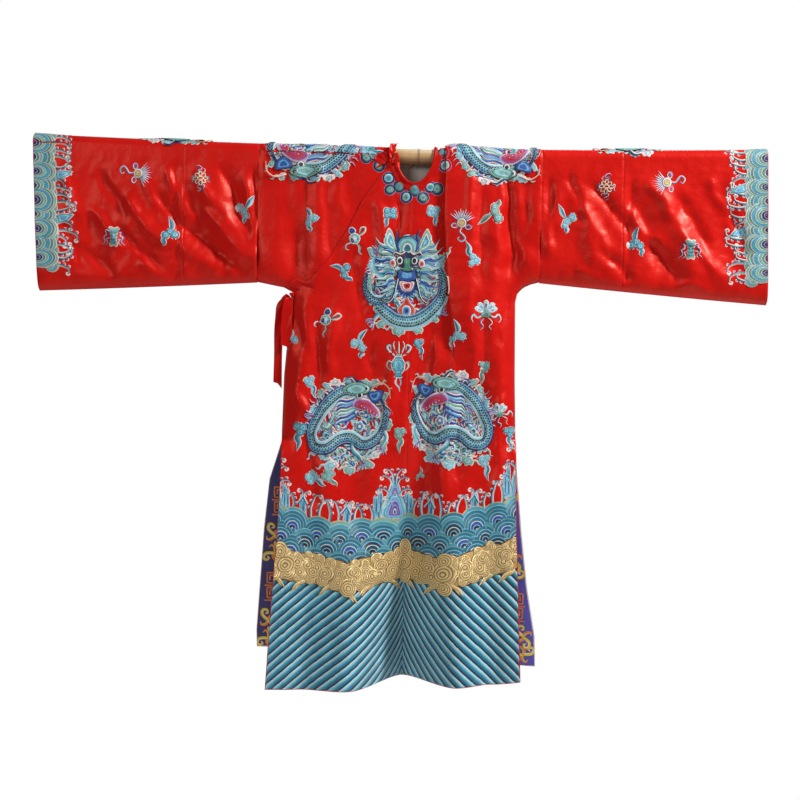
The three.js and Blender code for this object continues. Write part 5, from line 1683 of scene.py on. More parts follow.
# %% The dragon in profile
def side_dragon(art, warm=0):
    base = art.level
    clutter(art, 98, 330, 61 + warm, 0.5)
    clutter(art, 56, 150, 71 + warm)
    art.level = base + 0.9
    rim(art, 103, 62 + warm, ("sage", "light_blue", "pink_white"))
    art.level = base + 1.2
    for x, y, turn, size in ((-84, -58, 230, 1.0), (-44, -92, 200, 1.1), (4, -104, 180, 1.0),
        (54, -88, 155, 1.0),
                             (92, -46, 110, 0.9), (92, 62, 60, 0.8), (62, 92, 20, 1.0),
                                 (-60, 84, 320, 0.8)):
        rim_cloud(art, x, y, turn, size, "sage" if (x > 0) != (warm > 0) else "light_blue")
    art.level = base + 1.0
    for k in range(26):  # curls of cloud under the coil
        a = math.radians(205 + 130 * k / 25)
        r = 66 + 24 * (k % 3) / 2
        x, y = r * math.cos(a), r * math.sin(a)
        curl = np.array([x, y]) + spiral(1.0, 7.5, 2.2, 40 * k, 12)
        art.band(curl, [4.2, 3.6, 1.2], [(-0.6, "pink_white"), (0.2, "sage" if k % 2 else "light_blue"),
            (1.0, "dark_teal")], 1.0)
    art.level = base + 1.2
    leg(art, [(8, -38), (10, -58), (28, -72), (38, -84)], 190, 0.9)
    leg(art, [(-62, 30), (-88, 32), (-100, 18)], 120, 0.8)
    leg(art, [(88, -8), (98, -30), (84, -52)], 190, 0.8)
    art.level = base + 0.8
    tints = [("white", "light_blue", "teal"), ("pink_white", "blue", "navy"), ("white", "sky", "blue"),
        ("light_blue", "violet", "navy"), ("white", "sage", "green")]
    dice = np.random.default_rng(31 + warm)
    for k in range(30):  # the mane and spray that fill the middle
        x, y = dice.uniform(-48, 56), dice.uniform(-16, 48)
        lean, reach = dice.uniform(-10, 10), dice.uniform(12, 24)
        tuft(art, [(x, y), (x - reach * 0.4, y + lean), (x - reach, y + lean * 0.4)], dice.uniform(3.5, 6),
            tints[k % 5], 0.03 * k)
    art.level = base + 1.8
    spine = curve([(18, 74), (-22, 72), (-56, 48), (-82, 14), (-98, -20), (-88, -50), (-58, -54),
        (-26, -34), (6, -30), (36, -44), (66, -34), (90, 0), (96, 34), (80, 62)], 96)
    dragon_body(art, spine, [14, 16, 16, 16, 16, 16, 16, 17, 16, 14, 11, 8, 3])
    for k, a in enumerate(np.linspace(150, 222, 12)):
        r = math.radians(a)
        tuft(art, [(100 * math.cos(r), 100 * math.sin(r) + 6), (109 * math.cos(r), 109 * math.sin(r) + 4),
            (116 * math.cos(r), 116 * math.sin(r) + 9)], 2.0, ("white", "lavender", "navy"))
    for k in range(13):  # fins along the back
        at = spine[4 + 3 * k]
        tuft(art, [at + [-6, 8], at + [-13, 15], at + [-20, 13]], 2.6, ("pink_white", "light_blue", "navy"))
    art.level = base + 2.8
    for k in range(7):  # locks behind the jaw
        tuft(art, [(14, 58 - 6 * k), (-8, 52 - 7 * k), (-26, 54 - 8 * k), (-40, 44 - 8 * k)], 5.5,
            tints[(k + 1) % 5], 0.05 * k)
    jaw = curve([(2, 44), (18, 60), (46, 58), (72, 40), (84, 22), (70, 16), (44, 32), (22, 34)], 34,
        closed=True)
    art.patch(jaw, [(1.0, "pink_white"), (0.9, "lavender"), (0.78, "magenta"), (0.5, "red"),
        (0.3, "magenta")], 1.8)
    for k in range(6):
        art.patch(np.array([32 + 8 * k, 42 - 4 * k]) + ellipse(2.6, 4.2, 8), [(1.0, "white")], 2.6)
    art.level = base + 3.6
    brow = curve([(-24, 78), (0, 94), (30, 96), (52, 86), (46, 72), (20, 66), (-6, 66)], 32, closed=True)
    art.patch(brow, [(1.0, "night"), (0.92, "sage"), (0.7, "green"), (0.6, "light_blue"), (0.34, "sage")],
        2.0)
    nose = curve([(46, 72), (62, 76), (86, 80), (84, 60), (66, 48), (50, 58)], 26, closed=True)
    art.patch(nose, [(1.0, "night"), (0.9, "blue"), (0.6, "sky"), (0.4, "blue")], 2.2)
    eye(art, 40, 82, 6.5)
    eye(art, 26, 66, 6.8)
    art.band(curve([(20, 92), (4, 106), (-14, 104)], 10), [4.5, 3.4, 0.8], [(0.2, "navy"), (1.0, "white")],
        1.6)
    art.band(curve([(60, 88), (84, 96), (104, 84), (108, 60)], 16), [2.0, 1.8, 1.4, 0.6],
        [(0.2, "pink_white"), (1.0, "orange")], 1.4)
    art.band(curve([(70, 44), (96, 44), (110, 26)], 12), [1.8, 1.6, 0.6],
        [(0.2, "night"), (1.0, "pink_white")], 1.4)
    art.level = base + 2.9
    art.patch(np.array([28, -4]) + lobes(13, 5, 0.2, 30),
        [(1.0, "white"), (0.8, "sky"), (0.5, "violet"), (0.3, "white")], 1.4)
    art.level = base


chest = Needlework()
front_dragon(chest.at(-6, 364, size=0.98, tall=1.2))
roundels = {"chest": chest}
for name, x, w, turn, size, flip, back in (
    ("skirt_right", -147, 735, 0, 0.98, False, False),
    ("skirt_left", 115, 716, 0, 0.98, True, False),
    ("shoulder_right", -257, -6, 180, 1.12, False, False),
    ("shoulder_left", 218, -6, 180, 1.05, True, False),
    ("sleeve_right", -629, -80, 180, 1.02, True, False),
    ("sleeve_left", 580, -80, 180, 1.02, False, False),
    ("back_skirt_right", -150, 735, 0, 0.98, True, True),
    ("back_skirt_left", 130, 735, 0, 0.98, False, True),
):
    roundels[name] = Needlework()
    side_dragon(roundels[name].at(x, w, turn, size, flip, back, tall=1.16 if "skirt" in name else 1.0),
        warm=len(roundels) % 2)
roundels["back_chest"] = Needlework()
front_dragon(roundels["back_chest"].at(2, 330, size=0.98, back=True, tall=1.2))
dragon_pieces = {name: art.sew(f"dragon_{name}", floss_silk) for name, art in roundels.items()}

# %% [markdown]
# The dragons' scales are hundreds of the same small dark arch, so a Geometry Nodes tree places them:
# it takes points that carry a normal and a heading, puts one scale at each, turns it to lie on the
# cloth and realizes them all into one mesh.

# %% A tree that lays small pieces on points
def laying_tree(name, material):
    tree = bpy.data.node_groups.new(name, "GeometryNodeTree")
    face = tree.interface
    face.new_socket(name="Geometry", in_out="INPUT", socket_type="NodeSocketGeometry")
    face.new_socket(name="Piece", in_out="INPUT", socket_type="NodeSocketObject")
    face.new_socket(name="Size", in_out="INPUT", socket_type="NodeSocketFloat").default_value = 1.0
    face.new_socket(name="Uneven", in_out="INPUT", socket_type="NodeSocketFloat").default_value = 0.1
    face.new_socket(name="Geometry", in_out="OUTPUT", socket_type="NodeSocketGeometry")
    inside, out = tree.nodes.new("NodeGroupInput"), tree.nodes.new("NodeGroupOutput")

    def named(label):
        node = tree.nodes.new("GeometryNodeInputNamedAttribute")
        node.data_type = "FLOAT_VECTOR"
        node.inputs["Name"].default_value = label
        return node.outputs["Attribute"]

    upright = tree.nodes.new("FunctionNodeAlignRotationToVector")
    upright.axis = "Z"
    tree.links.new(named("normal_out"), upright.inputs["Vector"])
    headed = tree.nodes.new("FunctionNodeAlignRotationToVector")
    headed.axis, headed.pivot_axis = "X", "Z"
    tree.links.new(upright.outputs[0], headed.inputs["Rotation"])
    tree.links.new(named("heading"), headed.inputs["Vector"])
    source = tree.nodes.new("GeometryNodeObjectInfo")
    tree.links.new(inside.outputs["Piece"], source.inputs["Object"])
    chance = tree.nodes.new("FunctionNodeRandomValue")
    chance.data_type = "FLOAT"
    chance.inputs["Seed"].default_value = 7
    low = math_node(tree, "SUBTRACT", 1.0, inside.outputs["Uneven"])
    high = math_node(tree, "ADD", 1.0, inside.outputs["Uneven"])
    tree.links.new(low, chance.inputs[2])
    tree.links.new(high, chance.inputs[3])
    size = math_node(tree, "MULTIPLY", chance.outputs[1], inside.outputs["Size"])
    placed = tree.nodes.new("GeometryNodeInstanceOnPoints")
    tree.links.new(inside.outputs["Geometry"], placed.inputs["Points"])
    tree.links.new(source.outputs["Geometry"], placed.inputs["Instance"])
    tree.links.new(headed.outputs[0], placed.inputs["Rotation"])
    tree.links.new(size, placed.inputs["Scale"])
    real = tree.nodes.new("GeometryNodeRealizeInstances")
    finish = tree.nodes.new("GeometryNodeSetMaterial")
    finish.inputs["Material"].default_value = material
    tree.links.new(placed.outputs[0], real.inputs[0])
    tree.links.new(real.outputs[0], finish.inputs["Geometry"])
    tree.links.new(finish.outputs[0], out.inputs["Geometry"])
    return tree


def socket_id(tree, label):
    return next(s.identifier for s in tree.interface.items_tree if s.name == label and s.in_out == "INPUT")


def lay_pieces(name, tree, piece, places, normals, headings, size, uneven=0.1):
    """Runs a laying tree on points and gives back the result as a plain mesh."""
    mesh = bpy.data.meshes.new(name + "_points")
    mesh.vertices.add(len(places))
    mesh.vertices.foreach_set("co", (places * MM).astype(np.float32).ravel())
    for label, values in (("normal_out", normals), ("heading", headings)):
        layer = mesh.attributes.new(label, "FLOAT_VECTOR", "POINT")
        layer.data.foreach_set("vector", values.astype(np.float32).ravel())
    host = bpy.data.objects.new(name, mesh)
    bpy.context.scene.collection.objects.link(host)
    modifier = host.modifiers.new("lay", "NODES")
    modifier.node_group = tree
    modifier[socket_id(tree, "Piece")] = piece
    modifier[socket_id(tree, "Size")] = size
    modifier[socket_id(tree, "Uneven")] = uneven
    bpy.context.view_layer.update()
    made = bpy.data.meshes.new_from_object(host.evaluated_get(bpy.context.evaluated_depsgraph_get()))
    host.modifiers.clear()
    for label in ("normal_out", "heading"):
        if label in made.attributes:
            made.attributes.remove(made.attributes[label])
    host.data = made
    print(name, "pieces", len(places), "faces", len(made.polygons))
    return host


def small_piece(name, outline, height, tint):
    """A little domed piece in metres, heading along x, with its floss colour."""
    outline = np.asarray(outline, float)
    count = len(outline)
    inner = outline * 0.55
    points = np.concatenate([np.c_[outline, np.full(count, -0.1)], np.c_[inner, np.full(count, height)]])
    k = np.arange(count)
    quads = np.stack([k, (k + 1) % count, (k + 1) % count + count, k + count], -1).ravel()
    loops = np.concatenate([quads, k + count])
    sizes = np.array([4] * count + [count])
    uv = points[loops][:, :2] * MM
    tints = np.tile((*FLOSS[tint], 1.0), (len(loops), 1))
    piece = mesh_object(name, points, loops, sizes, [floss_silk], None, uv, tints)
    bpy.context.scene.collection.objects.unlink(piece)
    return piece


scale_shape = small_piece("one_scale", [(1.7, 0), (0.5, 1.4), (-1.4, 0.9), (-1.4, -0.9), (0.5, -1.4)], 0.5,
    "navy")
floss_laying = laying_tree("lay_floss_pieces", floss_silk)
spots = np.array(SCALES)
where, height = inside_edges(spots[:, :2]), spots[:, 4]
where[:, 0] = unfold(where[:, 0], where[:, 1])[0]
normals = out_of_cloth(where[:, 0], where[:, 1])
places = cloth_at(where[:, 0], where[:, 1]) + normals * (CLOTH / 2 + height + layer_out(where[:, 0],
    where[:, 1]))[:, None]
ahead = cloth_at(where[:, 0] + spots[:, 2], where[:, 1] + spots[:, 3]) - cloth_at(where[:, 0], where[:, 1])
dragon_scales = lay_pieces("dragon_scales", floss_laying, scale_shape, places, normals, unit(ahead), 1.6,
    0.2)
# %% [markdown]
# Between the roundels the satin is strewn with small clouds and with lucky emblems: wheel flowers,
# endless knots, canopies, gourds, vases and lotus flowers, each with its fluttering sashes. They are
# drawn once as small functions in their own millimetres, and a table says where each one is sewn.

# %% Small clouds
CLOUD_KINDS = [  # discs (x, y, radius), then leaves as lines of points
    ([(-11, -4, 9), (10, -3, 10), (-1, 4, 8)], [[(0, 4), (4, 16), (2, 28), (-3, 40)], [(-10, -8), (-16,
        -15), (-14, -22), (-19, -28)]]),
    ([(-10, 4, 10), (3, -4, 9), (8, -13, 8)], [[(6, 4), (12, 16), (15, 26), (20, 38)], [(8, -16), (5, -24),
        (8, -32)]]),
    ([(-7, 8, 9), (7, 8, 9), (0, 0, 9), (8, -3, 8), (-8, -3, 7)],
        [[(-4, -6), (-9, -16), (-8, -24), (-13, -32)]]),
    ([(-5, 7, 9), (6, 9, 7), (-1, -2, 8)], [[(0, -2), (4, -14), (0, -24), (3, -40)]]),
]


def cloud(art, x, w, kind=0, turn=0.0, size=1.0, flip=False, back=False, tint=("mid_teal", "teal")):
    discs, leaves = CLOUD_KINDS[kind]
    art.at(x, w, turn, size * 1.12, flip, back, level=0.1)
    for line in leaves:
        art.band(curve(line, 14), [2.5, 6, 6.5, 4, 0.6],
            [(-0.74, "pink_white"), (-0.1, tint[0]), (0.7, tint[1]), (1.0, "white")], 1.0)
    for a, b, r in discs:
        art.patch(np.array([a, b]) + ellipse(r + 1.7, r + 1.7, 16), [(1.0, "pink_white")], 0.5)
    art.level = 0.7
    for k, (a, b, r) in enumerate(discs):
        art.patch(np.array([a, b]) + lobes(r, 3, 0.08, 16, 40 * k),
            [(1.0, "night"), (0.92, tint[0]), (0.6, tint[1]), (0.5, "light_blue"), (0.28, tint[0])], 1.2)


# %% Lucky emblems
def sash(art, points, half=2.4, core="violet"):
    art.band(curve(points, 20), [half * 0.7, half, half, half * 0.8, half * 0.3],
        [(-0.35, "pink_white"), (0.45, core), (1.0, "night")], 0.9)


def wheel_flower(art):
    for k, a in enumerate(np.radians(np.linspace(-58, 58, 11))):
        s, c = math.sin(a), math.cos(a)
        reach = 29 - 4 * (k % 2)
        art.band(curve([(9 * s, 9 * c), (18 * s + 1, 18 * c), (reach * s, reach * c)], 7),
            [2.0, 2.2, 1.3, 0.3], [(-0.3, "navy"), (0.2, "lavender"), (1.0, "white")], 0.9)
    for side in (-1, 1):
        art.band(np.array([side * 14, -7]) + ellipse(6.8, 5.2, 16), 1.9,
            [(-0.3, "night"), (0.4, "pink"), (1.0, "white")], 0.9, closed=True)
        art.band(np.array([side * 14, -7]) + ellipse(3.0, 2.2, 10), 1.4,
            [(1.0, "magenta" if side > 0 else "violet")], 0.8, closed=True)
    sash(art, [(0, -9), (2, -18), (-5, -24), (-10, -30), (-4, -36), (4, -32), (1, -28)], 2.6, "sky")
    art.level += 0.5
    art.patch(ellipse(10, 10, 20), [(1.0, "night"), (0.93, "white"), (0.66, "night"), (0.6, "gold"), (0.34,
        "light_gold"), (0.2, "gold")], 1.4)


def endless_knot(art):
    for side in (-1, 1):
        sash(art, [(0, 12 * side), (-6, 19 * side), (3, 24 * side), (-4, 30 * side), (-9, 27 * side)], 2.6)
        sash(art, [(3, 12 * side), (10, 18 * side), (6, 25 * side)], 2.4, "magenta")
        sash(art, [(11 * side, 1), (18 * side, 5), (17 * side, -6), (21 * side, -9)], 2.2, "blue")
    art.level += 0.5
    for a, b in ((-8, 8), (8, 8), (-8, -8), (8, -8), (0, 13), (0, -13), (13, 0), (-13, 0), (0, 0)):
        turn = math.degrees(math.atan2(b, a)) if (a, b) != (0, 0) else 0
        c, s = math.cos(math.radians(turn)), math.sin(math.radians(turn))
        ring = ellipse(5.6, 3.9, 14) @ np.array([[c, s], [-s, c]])
        art.band(np.array([a, b]) * 0.86 + ring, 1.5,
            [(-0.35, "night"), (0.3, "light_gold"), (1.0, "white")], 1.0, closed=True)


def canopy(art):
    for side in (-1, 1):
        sash(art, [(side * 8, 12), (side * 18, 16), (side * 15, 7), (side * 22, 1), (side * 19, -9),
            (side * 27, -17)], 2.8)
        sash(art, [(side * 8, -2), (side * 16, -4), (side * 13, -12), (side * 19, -18)], 2.4, "magenta")
    body = curve([(-9, 15), (-13, 22), (-8, 27), (0, 24), (8, 27), (13, 22), (9, 15), (8, -6), (11, -16),
        (7, -22), (0, -19), (-7, -22), (-11, -16), (-8, -6)], 44, closed=True)
    art.patch(body, [(1.0, "pink_white"), (0.88, "sage"), (0.6, "mid_teal"), (0.42, "sage_dark"),
        (0.2, "light_blue")], 1.6)
    art.level += 0.9
    for b in (11, 3, -5, -12):
        art.band(curve([(-8, b + 2), (0, b - 1), (8, b + 2)], 8), 0.9, [(1.0, "night")], 0.9)


def gourd(art):
    sash(art, [(12, 4), (24, 8), (30, 16), (22, 18), (14, 8)], 3.4, "sage")
    sash(art, [(2, -12), (5, -22), (1, -32), (4, -40)], 3.2, "sage")
    sash(art, [(-10, -6), (-22, -8), (-26, -16), (-20, -20)], 2.4, "light_blue")
    art.patch(lobes(14, 5, 0.08, 26), [(1.0, "night"), (0.93, "white"), (0.8, "sage"), (0.55, "light_blue"),
        (0.3, "white")], 1.6)
    art.level += 0.7
    art.patch(np.array([0, 19]) + lobes(9, 3, 0.16, 20, 30),
        [(1.0, "white"), (0.84, "blue"), (0.5, "navy"), (0.25, "blue")], 1.6)
    art.patch(np.array([-6, -2]) + ellipse(5, 6.5, 12), [(1.0, "white"), (0.8, "navy"), (0.4, "violet")],
        1.2)
    art.patch(np.array([7, -2]) + ellipse(4, 5, 12), [(1.0, "night"), (0.7, "sky")], 1.2)


def vase(art):
    for side in (-1, 1):
        sash(art, [(side * 8, 24), (side * 18, 32), (side * 24, 42), (side * 17, 46), (side * 15, 36)], 3.0,
            "light_blue")
        sash(art, [(side * 9, 6), (side * 19, 12), (side * 21, 2), (side * 14, -6)], 2.6, "sage")
    for a in (-7, 0, 7):
        sash(art, [(a * 0.3, 22), (a, 34), (a * 1.6, 46), (a * 1.2, 54)], 2.4, "sage")
    sash(art, [(-3, -20), (-5, -32), (2, -40), (4, -50)], 2.8, "light_blue")
    sash(art, [(3, -20), (7, -30), (4, -38)], 2.4, "sky")
    shape = curve([(-6, 24), (-9, 19), (-14, 8), (-13, -4), (-7, -14), (-9, -21), (9, -21), (7, -14),
        (13, -4), (14, 8), (9, 19), (6, 24)], 40, closed=True)
    art.patch(shape, [(1.0, "white"), (0.9, "teal"), (0.82, "mid_teal"), (0.5, "light_blue"),
        (0.42, "mid_teal")], 1.9)
    art.level += 1.0
    art.band(curve([(-12, 0), (0, -3), (12, 0)], 9), 1.1, [(0.2, "navy"), (1.0, "white")], 1.0)
    art.band(curve([(-8, 17), (0, 15), (8, 17)], 9), 1.1, [(0.2, "navy"), (1.0, "white")], 0.9)


def lotus(art):
    for side in (-1, 1):
        sash(art, [(side * 6, -8), (side * 18, -14), (side * 26, -8), (side * 31, -16), (side * 27, -24)],
            2.6, "light_blue")
        sash(art, [(side * 3, -14), (side * 12, -24), (side * 6, -32), (side * 12, -40)], 2.6,
            "violet" if side > 0 else "red")
    for k, a in enumerate((-76, 76, -44, 44, 0)):
        s, c = math.sin(math.radians(a)), math.cos(math.radians(a))
        petal = [(0, -6), (17 * s - 6 * c, 15 * c + 6 * s), (25 * s, 23 * c),
            (17 * s + 6 * c, 15 * c - 6 * s)]
        art.patch(curve(petal, 20, closed=True), [(1.0, "white"), (0.84, "light_blue"), (0.6, "white"),
            (0.36, "violet" if k == 4 else "sky")], 1.4)
        art.level += 0.15
    art.patch(np.array([0, -8]) + ellipse(12, 6, 16),
        [(1.0, "night"), (0.88, "sage"), (0.5, "green"), (0.25, "sage")], 1.5)


print("emblems ready")

# %% Sewing them to the satin
FRONT_CLOUDS = [  # x, distance down, kind, turn, size, flipped
    (-433, 189, 1, -8, 1.0, 0), (-619, 258, 0, 4, 1.0, 0), (407, 197, 1, 6, 1.0, 1),
        (583, 259, 0, -4, 1.0, 1),
    (-256, 208, 0, 30, 0.9, 0), (-54, 191, 2, 0, 0.95, 0), (58, 184, 2, -8, 0.95, 1),
        (217, 186, 1, 150, 1.1, 0),
    (-127, 528, 0, -25, 1.0, 1), (29, 527, 3, 10, 0.9, 0), (127, 502, 0, 10, 1.0, 0),
        (197, 584, 3, -6, 1.0, 1),
    (-250, 632, 3, 18, 1.0, 0), (-273, 755, 3, -4, 1.2, 1), (-237, 876, 2, 40, 1.0, 1),
        (-16, 760, 3, -4, 1.05, 0),
    (204, 826, 3, 8, 1.1, 0), (-168, 339, 0, 70, 0.9, 0), (162, 301, 3, 200, 1.1, 0),
        (-196, 868, 2, 60, 0.9, 0),
    (-112, 20, 2, 90, 1.25, 0), (266, 752, 3, 12, 1.0, 1), (-300, 520, 0, 10, 0.8, 0),
        (40, 862, 0, 0, 0.5, 0),
]
FRONT_EMBLEMS = [
    (wheel_flower, -706, 106, -95, 1.15), (wheel_flower, 660, 100, 95, 1.15),
        (endless_knot, -544, 113, 4, 1.0),
    (endless_knot, 504, 111, -4, 1.0), (canopy, -765, 275, 0, 1.0), (canopy, 723, 277, 0, 1.0),
    (gourd, -143, 256, 20, 1.0), (wheel_flower, 132, 211, -6, 1.15), (gourd, -212, 468, -10, 1.0),
    (vase, -24, 586, 0, 1.12), (lotus, 199, 436, 0, 1.1), (lotus, 238, 695, 20, 0.9),
]
BACK_CLOUDS = [
    (-433, 189, 1, -8, 1.0, 0), (-619, 258, 0, 4, 1.0, 0), (407, 197, 1, 6, 1.0, 1),
        (583, 259, 0, -4, 1.0, 1),
    (-240, 180, 0, 30, 0.9, 0), (-64, 120, 2, 0, 0.95, 0), (70, 124, 2, -8, 0.95, 1),
        (226, 190, 1, 150, 1.1, 0),
    (-132, 520, 0, -25, 1.0, 1), (132, 516, 0, 10, 1.0, 0), (236, 590, 3, -6, 1.0, 1),
        (-250, 612, 3, 18, 1.0, 0),
    (-290, 765, 3, -4, 1.2, 1), (-262, 866, 2, 40, 1.0, 1), (-10, 770, 3, -4, 1.05, 0),
        (270, 796, 3, 8, 1.1, 0),
]
BACK_EMBLEMS = [
    (wheel_flower, -706, 106, 95, 1.15), (wheel_flower, 660, 100, -95, 1.15),
        (endless_knot, -544, 113, 4, 1.0),
    (endless_knot, 504, 111, -4, 1.0), (canopy, -765, 275, 0, 1.0), (canopy, 723, 277, 0, 1.0),
        (gourd, -184, 300, 20, 1.0),
    (lotus, 186, 300, -6, 1.1), (gourd, 220, 450, -10, 1.0), (vase, 0, 600, 0, 1.12),
        (lotus, -220, 450, 0, 1.1),
]
emblem_pieces = []
for name, back, clouds, emblems in (("front", False, FRONT_CLOUDS, FRONT_EMBLEMS),
    ("back", True, BACK_CLOUDS, BACK_EMBLEMS)):
    art = Needlework()
    for k, (x, w, kind, turn, size, flip) in enumerate(clouds):
        tint = ("sage", "sage_dark") if k % 4 == 3 and abs(x) < 300 else ("mid_teal",
            "teal") if k % 2 else ("light_blue", "teal")
        cloud(art, x, w, kind, turn, size, bool(flip), back, tint)
    for k, (draw, x, w, turn, size) in enumerate(emblems):
        draw(art.at(x, w, turn, size * 1.12, x > 0, back))
    emblem_pieces.append(art.sew(f"emblems_{name}", floss_silk))

# %% [markdown]
# A chain of cloud discs rings the neck, and the sleeves end in waves: big round waves along the
# cuff, smaller ones between, and long foam arms that reach up the sleeve.

# %% The neck ring and the cuffs
NECK_DISCS = [(-59, 97, 15), (-55, 127, 13), (-31, 118, 15), (-12, 145, 14), (9, 127, 16), (31, 146, 14),
    (49, 118, 14)]
NECK_DISCS += [(67, 122, 15), (79, 30, 14), (86, 62, 15), (-106, 22, 14), (-118, 46, 13), (-98, 40, 12),
    (-84, 66, 14)]
BACK_DISCS = [(8 + 92 * math.sin(a), 4 + 58 * max(math.cos(a), 0) + 12 * (k % 2), 15) for k,
    a in enumerate(np.linspace(-1.45, 1.45, 11))]
CUFF_WAVE = [(1.0, "pink_white"), (0.96, "sage"), (0.88, "white"), (0.86, "sage_dark"),
    (0.77, "pink_white"), (0.75, "mid_teal"), (0.58, "white")]
CUFF_WAVE += [(0.56, "sage"), (0.46, "white"), (0.44, "sage_dark"), (0.34, "white"), (0.32, "navy"),
    (0.22, "lavender"), (0.19, "navy")]


def ring_disc(art, x, w, r, k, back=False):
    art.at(x, w, 30 * k, back=back, level=0.1 + 0.35 * (k % 2))
    art.patch(ellipse(r + 2.2, r + 2.2, 20), [(1.0, "lavender"), (0.95, "navy")], 0.6)
    art.level += 0.6
    art.patch(lobes(r * 0.84, 2, 0.1, 18), [(1.0, "night"), (0.93, "sage_dark" if k % 3 else "light_blue"),
        (0.6, "sage" if k % 2 else "mid_teal"), (0.34, "sage_dark")], 1.5)


def cuff(art, which, back):
    top, bottom = SLEEVE[which][2:4]
    inward = 1 if which == "right" else -1
    turn = -90 * inward * (-1 if back else 1)
    dice = np.random.default_rng(41 + (which == "left") + 2 * back)
    for k, w in enumerate(np.arange(2, 352, 37)):
        x = top + (bottom - top) * min(max((w - ARC) / SLEEVE_DEPTH, 0), 1)
        for j in range(2):
            v, inset = w + 18 * j + dice.uniform(-5, 5), 42 + 12 * ((k + j) % 2)
            bend = dice.uniform(8, 18) * (1 if (k + j) % 3 else -1)
            foam_arm(art, x + inward * inset, v, turn, dice.uniform(36, 58), abs(bend), back, bend < 0, 3,
                0.3, "sage", 4.2)
        if k in (3, 6):
            art.at(x + inward * 74, w + 6, turn + 14, 1.0, False, back, 0.5)
            rock = [(-12, -20), (-11, 6), (-3, 30), (2, 22), (9, 12), (13, -20)]
            art.patch(fine_line(rock + rock[:1], 6)[:-1],
                [(1.0, "pink_white"), (0.9, "mid_teal"), (0.6, "light_blue"), (0.4, "sky")], 1.0)
        art.at(x + inward * 42, w + 18, turn, back=back, level=0.9)
        art.patch(ellipse(19, 19, 24), CUFF_WAVE, 1.0, centre=(0, -9))
        art.at(x + inward * (6 + 12 * (k % 2)), w, turn, back=back, level=1.4 + 0.3 * (k % 2))
        art.patch(ellipse(27 + 5 * (k % 3), 50 - 9 * (k % 2), 32), CUFF_WAVE, 1.2, centre=(0, -20))


neck_ring, cuff_floss = Needlework(), Needlework()
for back, discs in ((False, NECK_DISCS), (True, BACK_DISCS)):
    for k, (x, w, r) in enumerate(discs):
        ring_disc(neck_ring, x, w, r, k, back)
for which in ("right", "left"):
    for back in (False, True):
        cuff(cuff_floss, which, back)
neck_ring_floss = neck_ring.sew("neck_ring_floss", floss_silk)
cuff_piece = cuff_floss.sew("cuff_floss", floss_silk)
# %% [markdown]
# The slit facings show from the front because the back is wider than the front. Each is a thin band
# of brocade on the back's inner face: a dark ground, square frets in pairs worked in orange, and
# yellow scrolls between. The ground is a strip of cloth made from the back's own rule, and the
# frets are needlework laid on its inner side. The right facing's ground is a darker copy of the
# same brocade, and its edge lines are near black: painted shade.

# %% Slit facings
FACING_TOP = -752.0
FACING_WIDE = 62.0
facing_ground = silk("facing_ground", (84, 80, 176), (54, 52, 130), 0.5, 0.1, (220, 220, 255), 5200.0, 0.6,
    60.0, 0.002)
# The right facing's ground: the same brocade as facing_ground, made darker as painted shade.
facing_ground_painted_shade = silk("facing_ground_painted_shade", (56, 50, 108), (28, 26, 56), 0.55, 0.05, (220, 220, 255), 5200.0, 0.6,
    60.0, 0.002)


def facing_strip(name, which, material):
    sign = -1 if which == "right" else 1
    end = hem_w(float(edge_x(-1330.0, 1, which)), 1) - 2.2
    t = np.linspace(ARC - FACING_TOP, end, 86)
    x = edge_x(ARC - t, 1, which)[:, None] - sign * np.linspace(1.2, FACING_WIDE, 10)[None]
    t = np.broadcast_to(t[:, None], x.shape)
    out = out_of_cloth(x, -t)
    grid = cloth_at(x, -t) - out * (CLOTH + 0.12)
    return cloth_wall(name, grid, np.stack([x, -t], -1), lining_silk, material)


slit_facings = {
    "right": facing_strip("slit_facing_right_cloth", "right", facing_ground_painted_shade),
    "left": facing_strip("slit_facing_left_cloth", "left", facing_ground),
}


def fret(art, x, w, size, colour, hand):
    art.at(x, w, 0, size, hand < 0, True, 0.9)
    path = [(-12, -12), (12, -12), (12, 12), (-7, 12), (-7, -7), (7, -7), (7, 7), (-2, 7), (-2, -2)]
    art.band(fine_line(path, 3), 1.7, [(0.6, colour), (1.0, "brown")], 0.7)


def scroll(art, x, w, hand, colour="yellow"):
    for turn in (0, 180):
        art.at(x, w, turn + 20, 1.15, hand < 0, True, 0.7)
        art.band(curve([(0, 0), (10, 3), (19, 9), (20, 20), (11, 23), (6, 16), (12, 13)], 22),
            [4.2, 4.4, 4.0, 3.2, 1.6], [(-0.6, "brown"), (0.4, colour), (1.0, "light_gold")], 0.8)
        art.band(curve([(2, 2), (-3, 12), (-12, 15), (-15, 8)], 12), [4.0, 3.6, 2.4, 1.0],
            [(0.3, "orange"), (1.0, colour)], 0.8)


FACING_ROWS = {"right": (712.0, 116.0), "left": (803.0,
    104.0)}  # flat height of the first motif, and the step
facing_floss = []
for which, sign in (("right", -1), ("left", 1)):
    art = Needlework()
    start, step = FACING_ROWS[which]
    for k, t in enumerate(np.arange(start, 1372, step)):
        middle = float(edge_x(ARC - t, 1, which)) - sign * 30
        if t < ARC - FACING_TOP + 40:
            continue
        if k % 2 == 0:
            for b in (-20, 20):
                fret(art, middle, t + b, 1.4, "orange", sign)
        else:
            scroll(art, middle, t - 24, 1)
            scroll(art, middle, t + 24, -1)
    # Edge lines down both sides of each facing: white on the left facing, and near black on the right one as
    # painted shade.
    for share in (1.8, FACING_WIDE - 3):
        t = np.linspace(ARC - FACING_TOP + 3, 1350, 90)
        line = np.stack([edge_x(ARC - t, 1, which) - sign * share, -t], -1)
        art.at(0, 0, back=True)
        art.band(np.stack([-line[:, 0], line[:, 1]], -1), 1.6,
            [(1.0, "white" if which == "left" else "night")], 0.7)
    facing_floss.append(art.sew(f"slit_facing_{which}_floss", floss_silk, 1.25, inner=True))

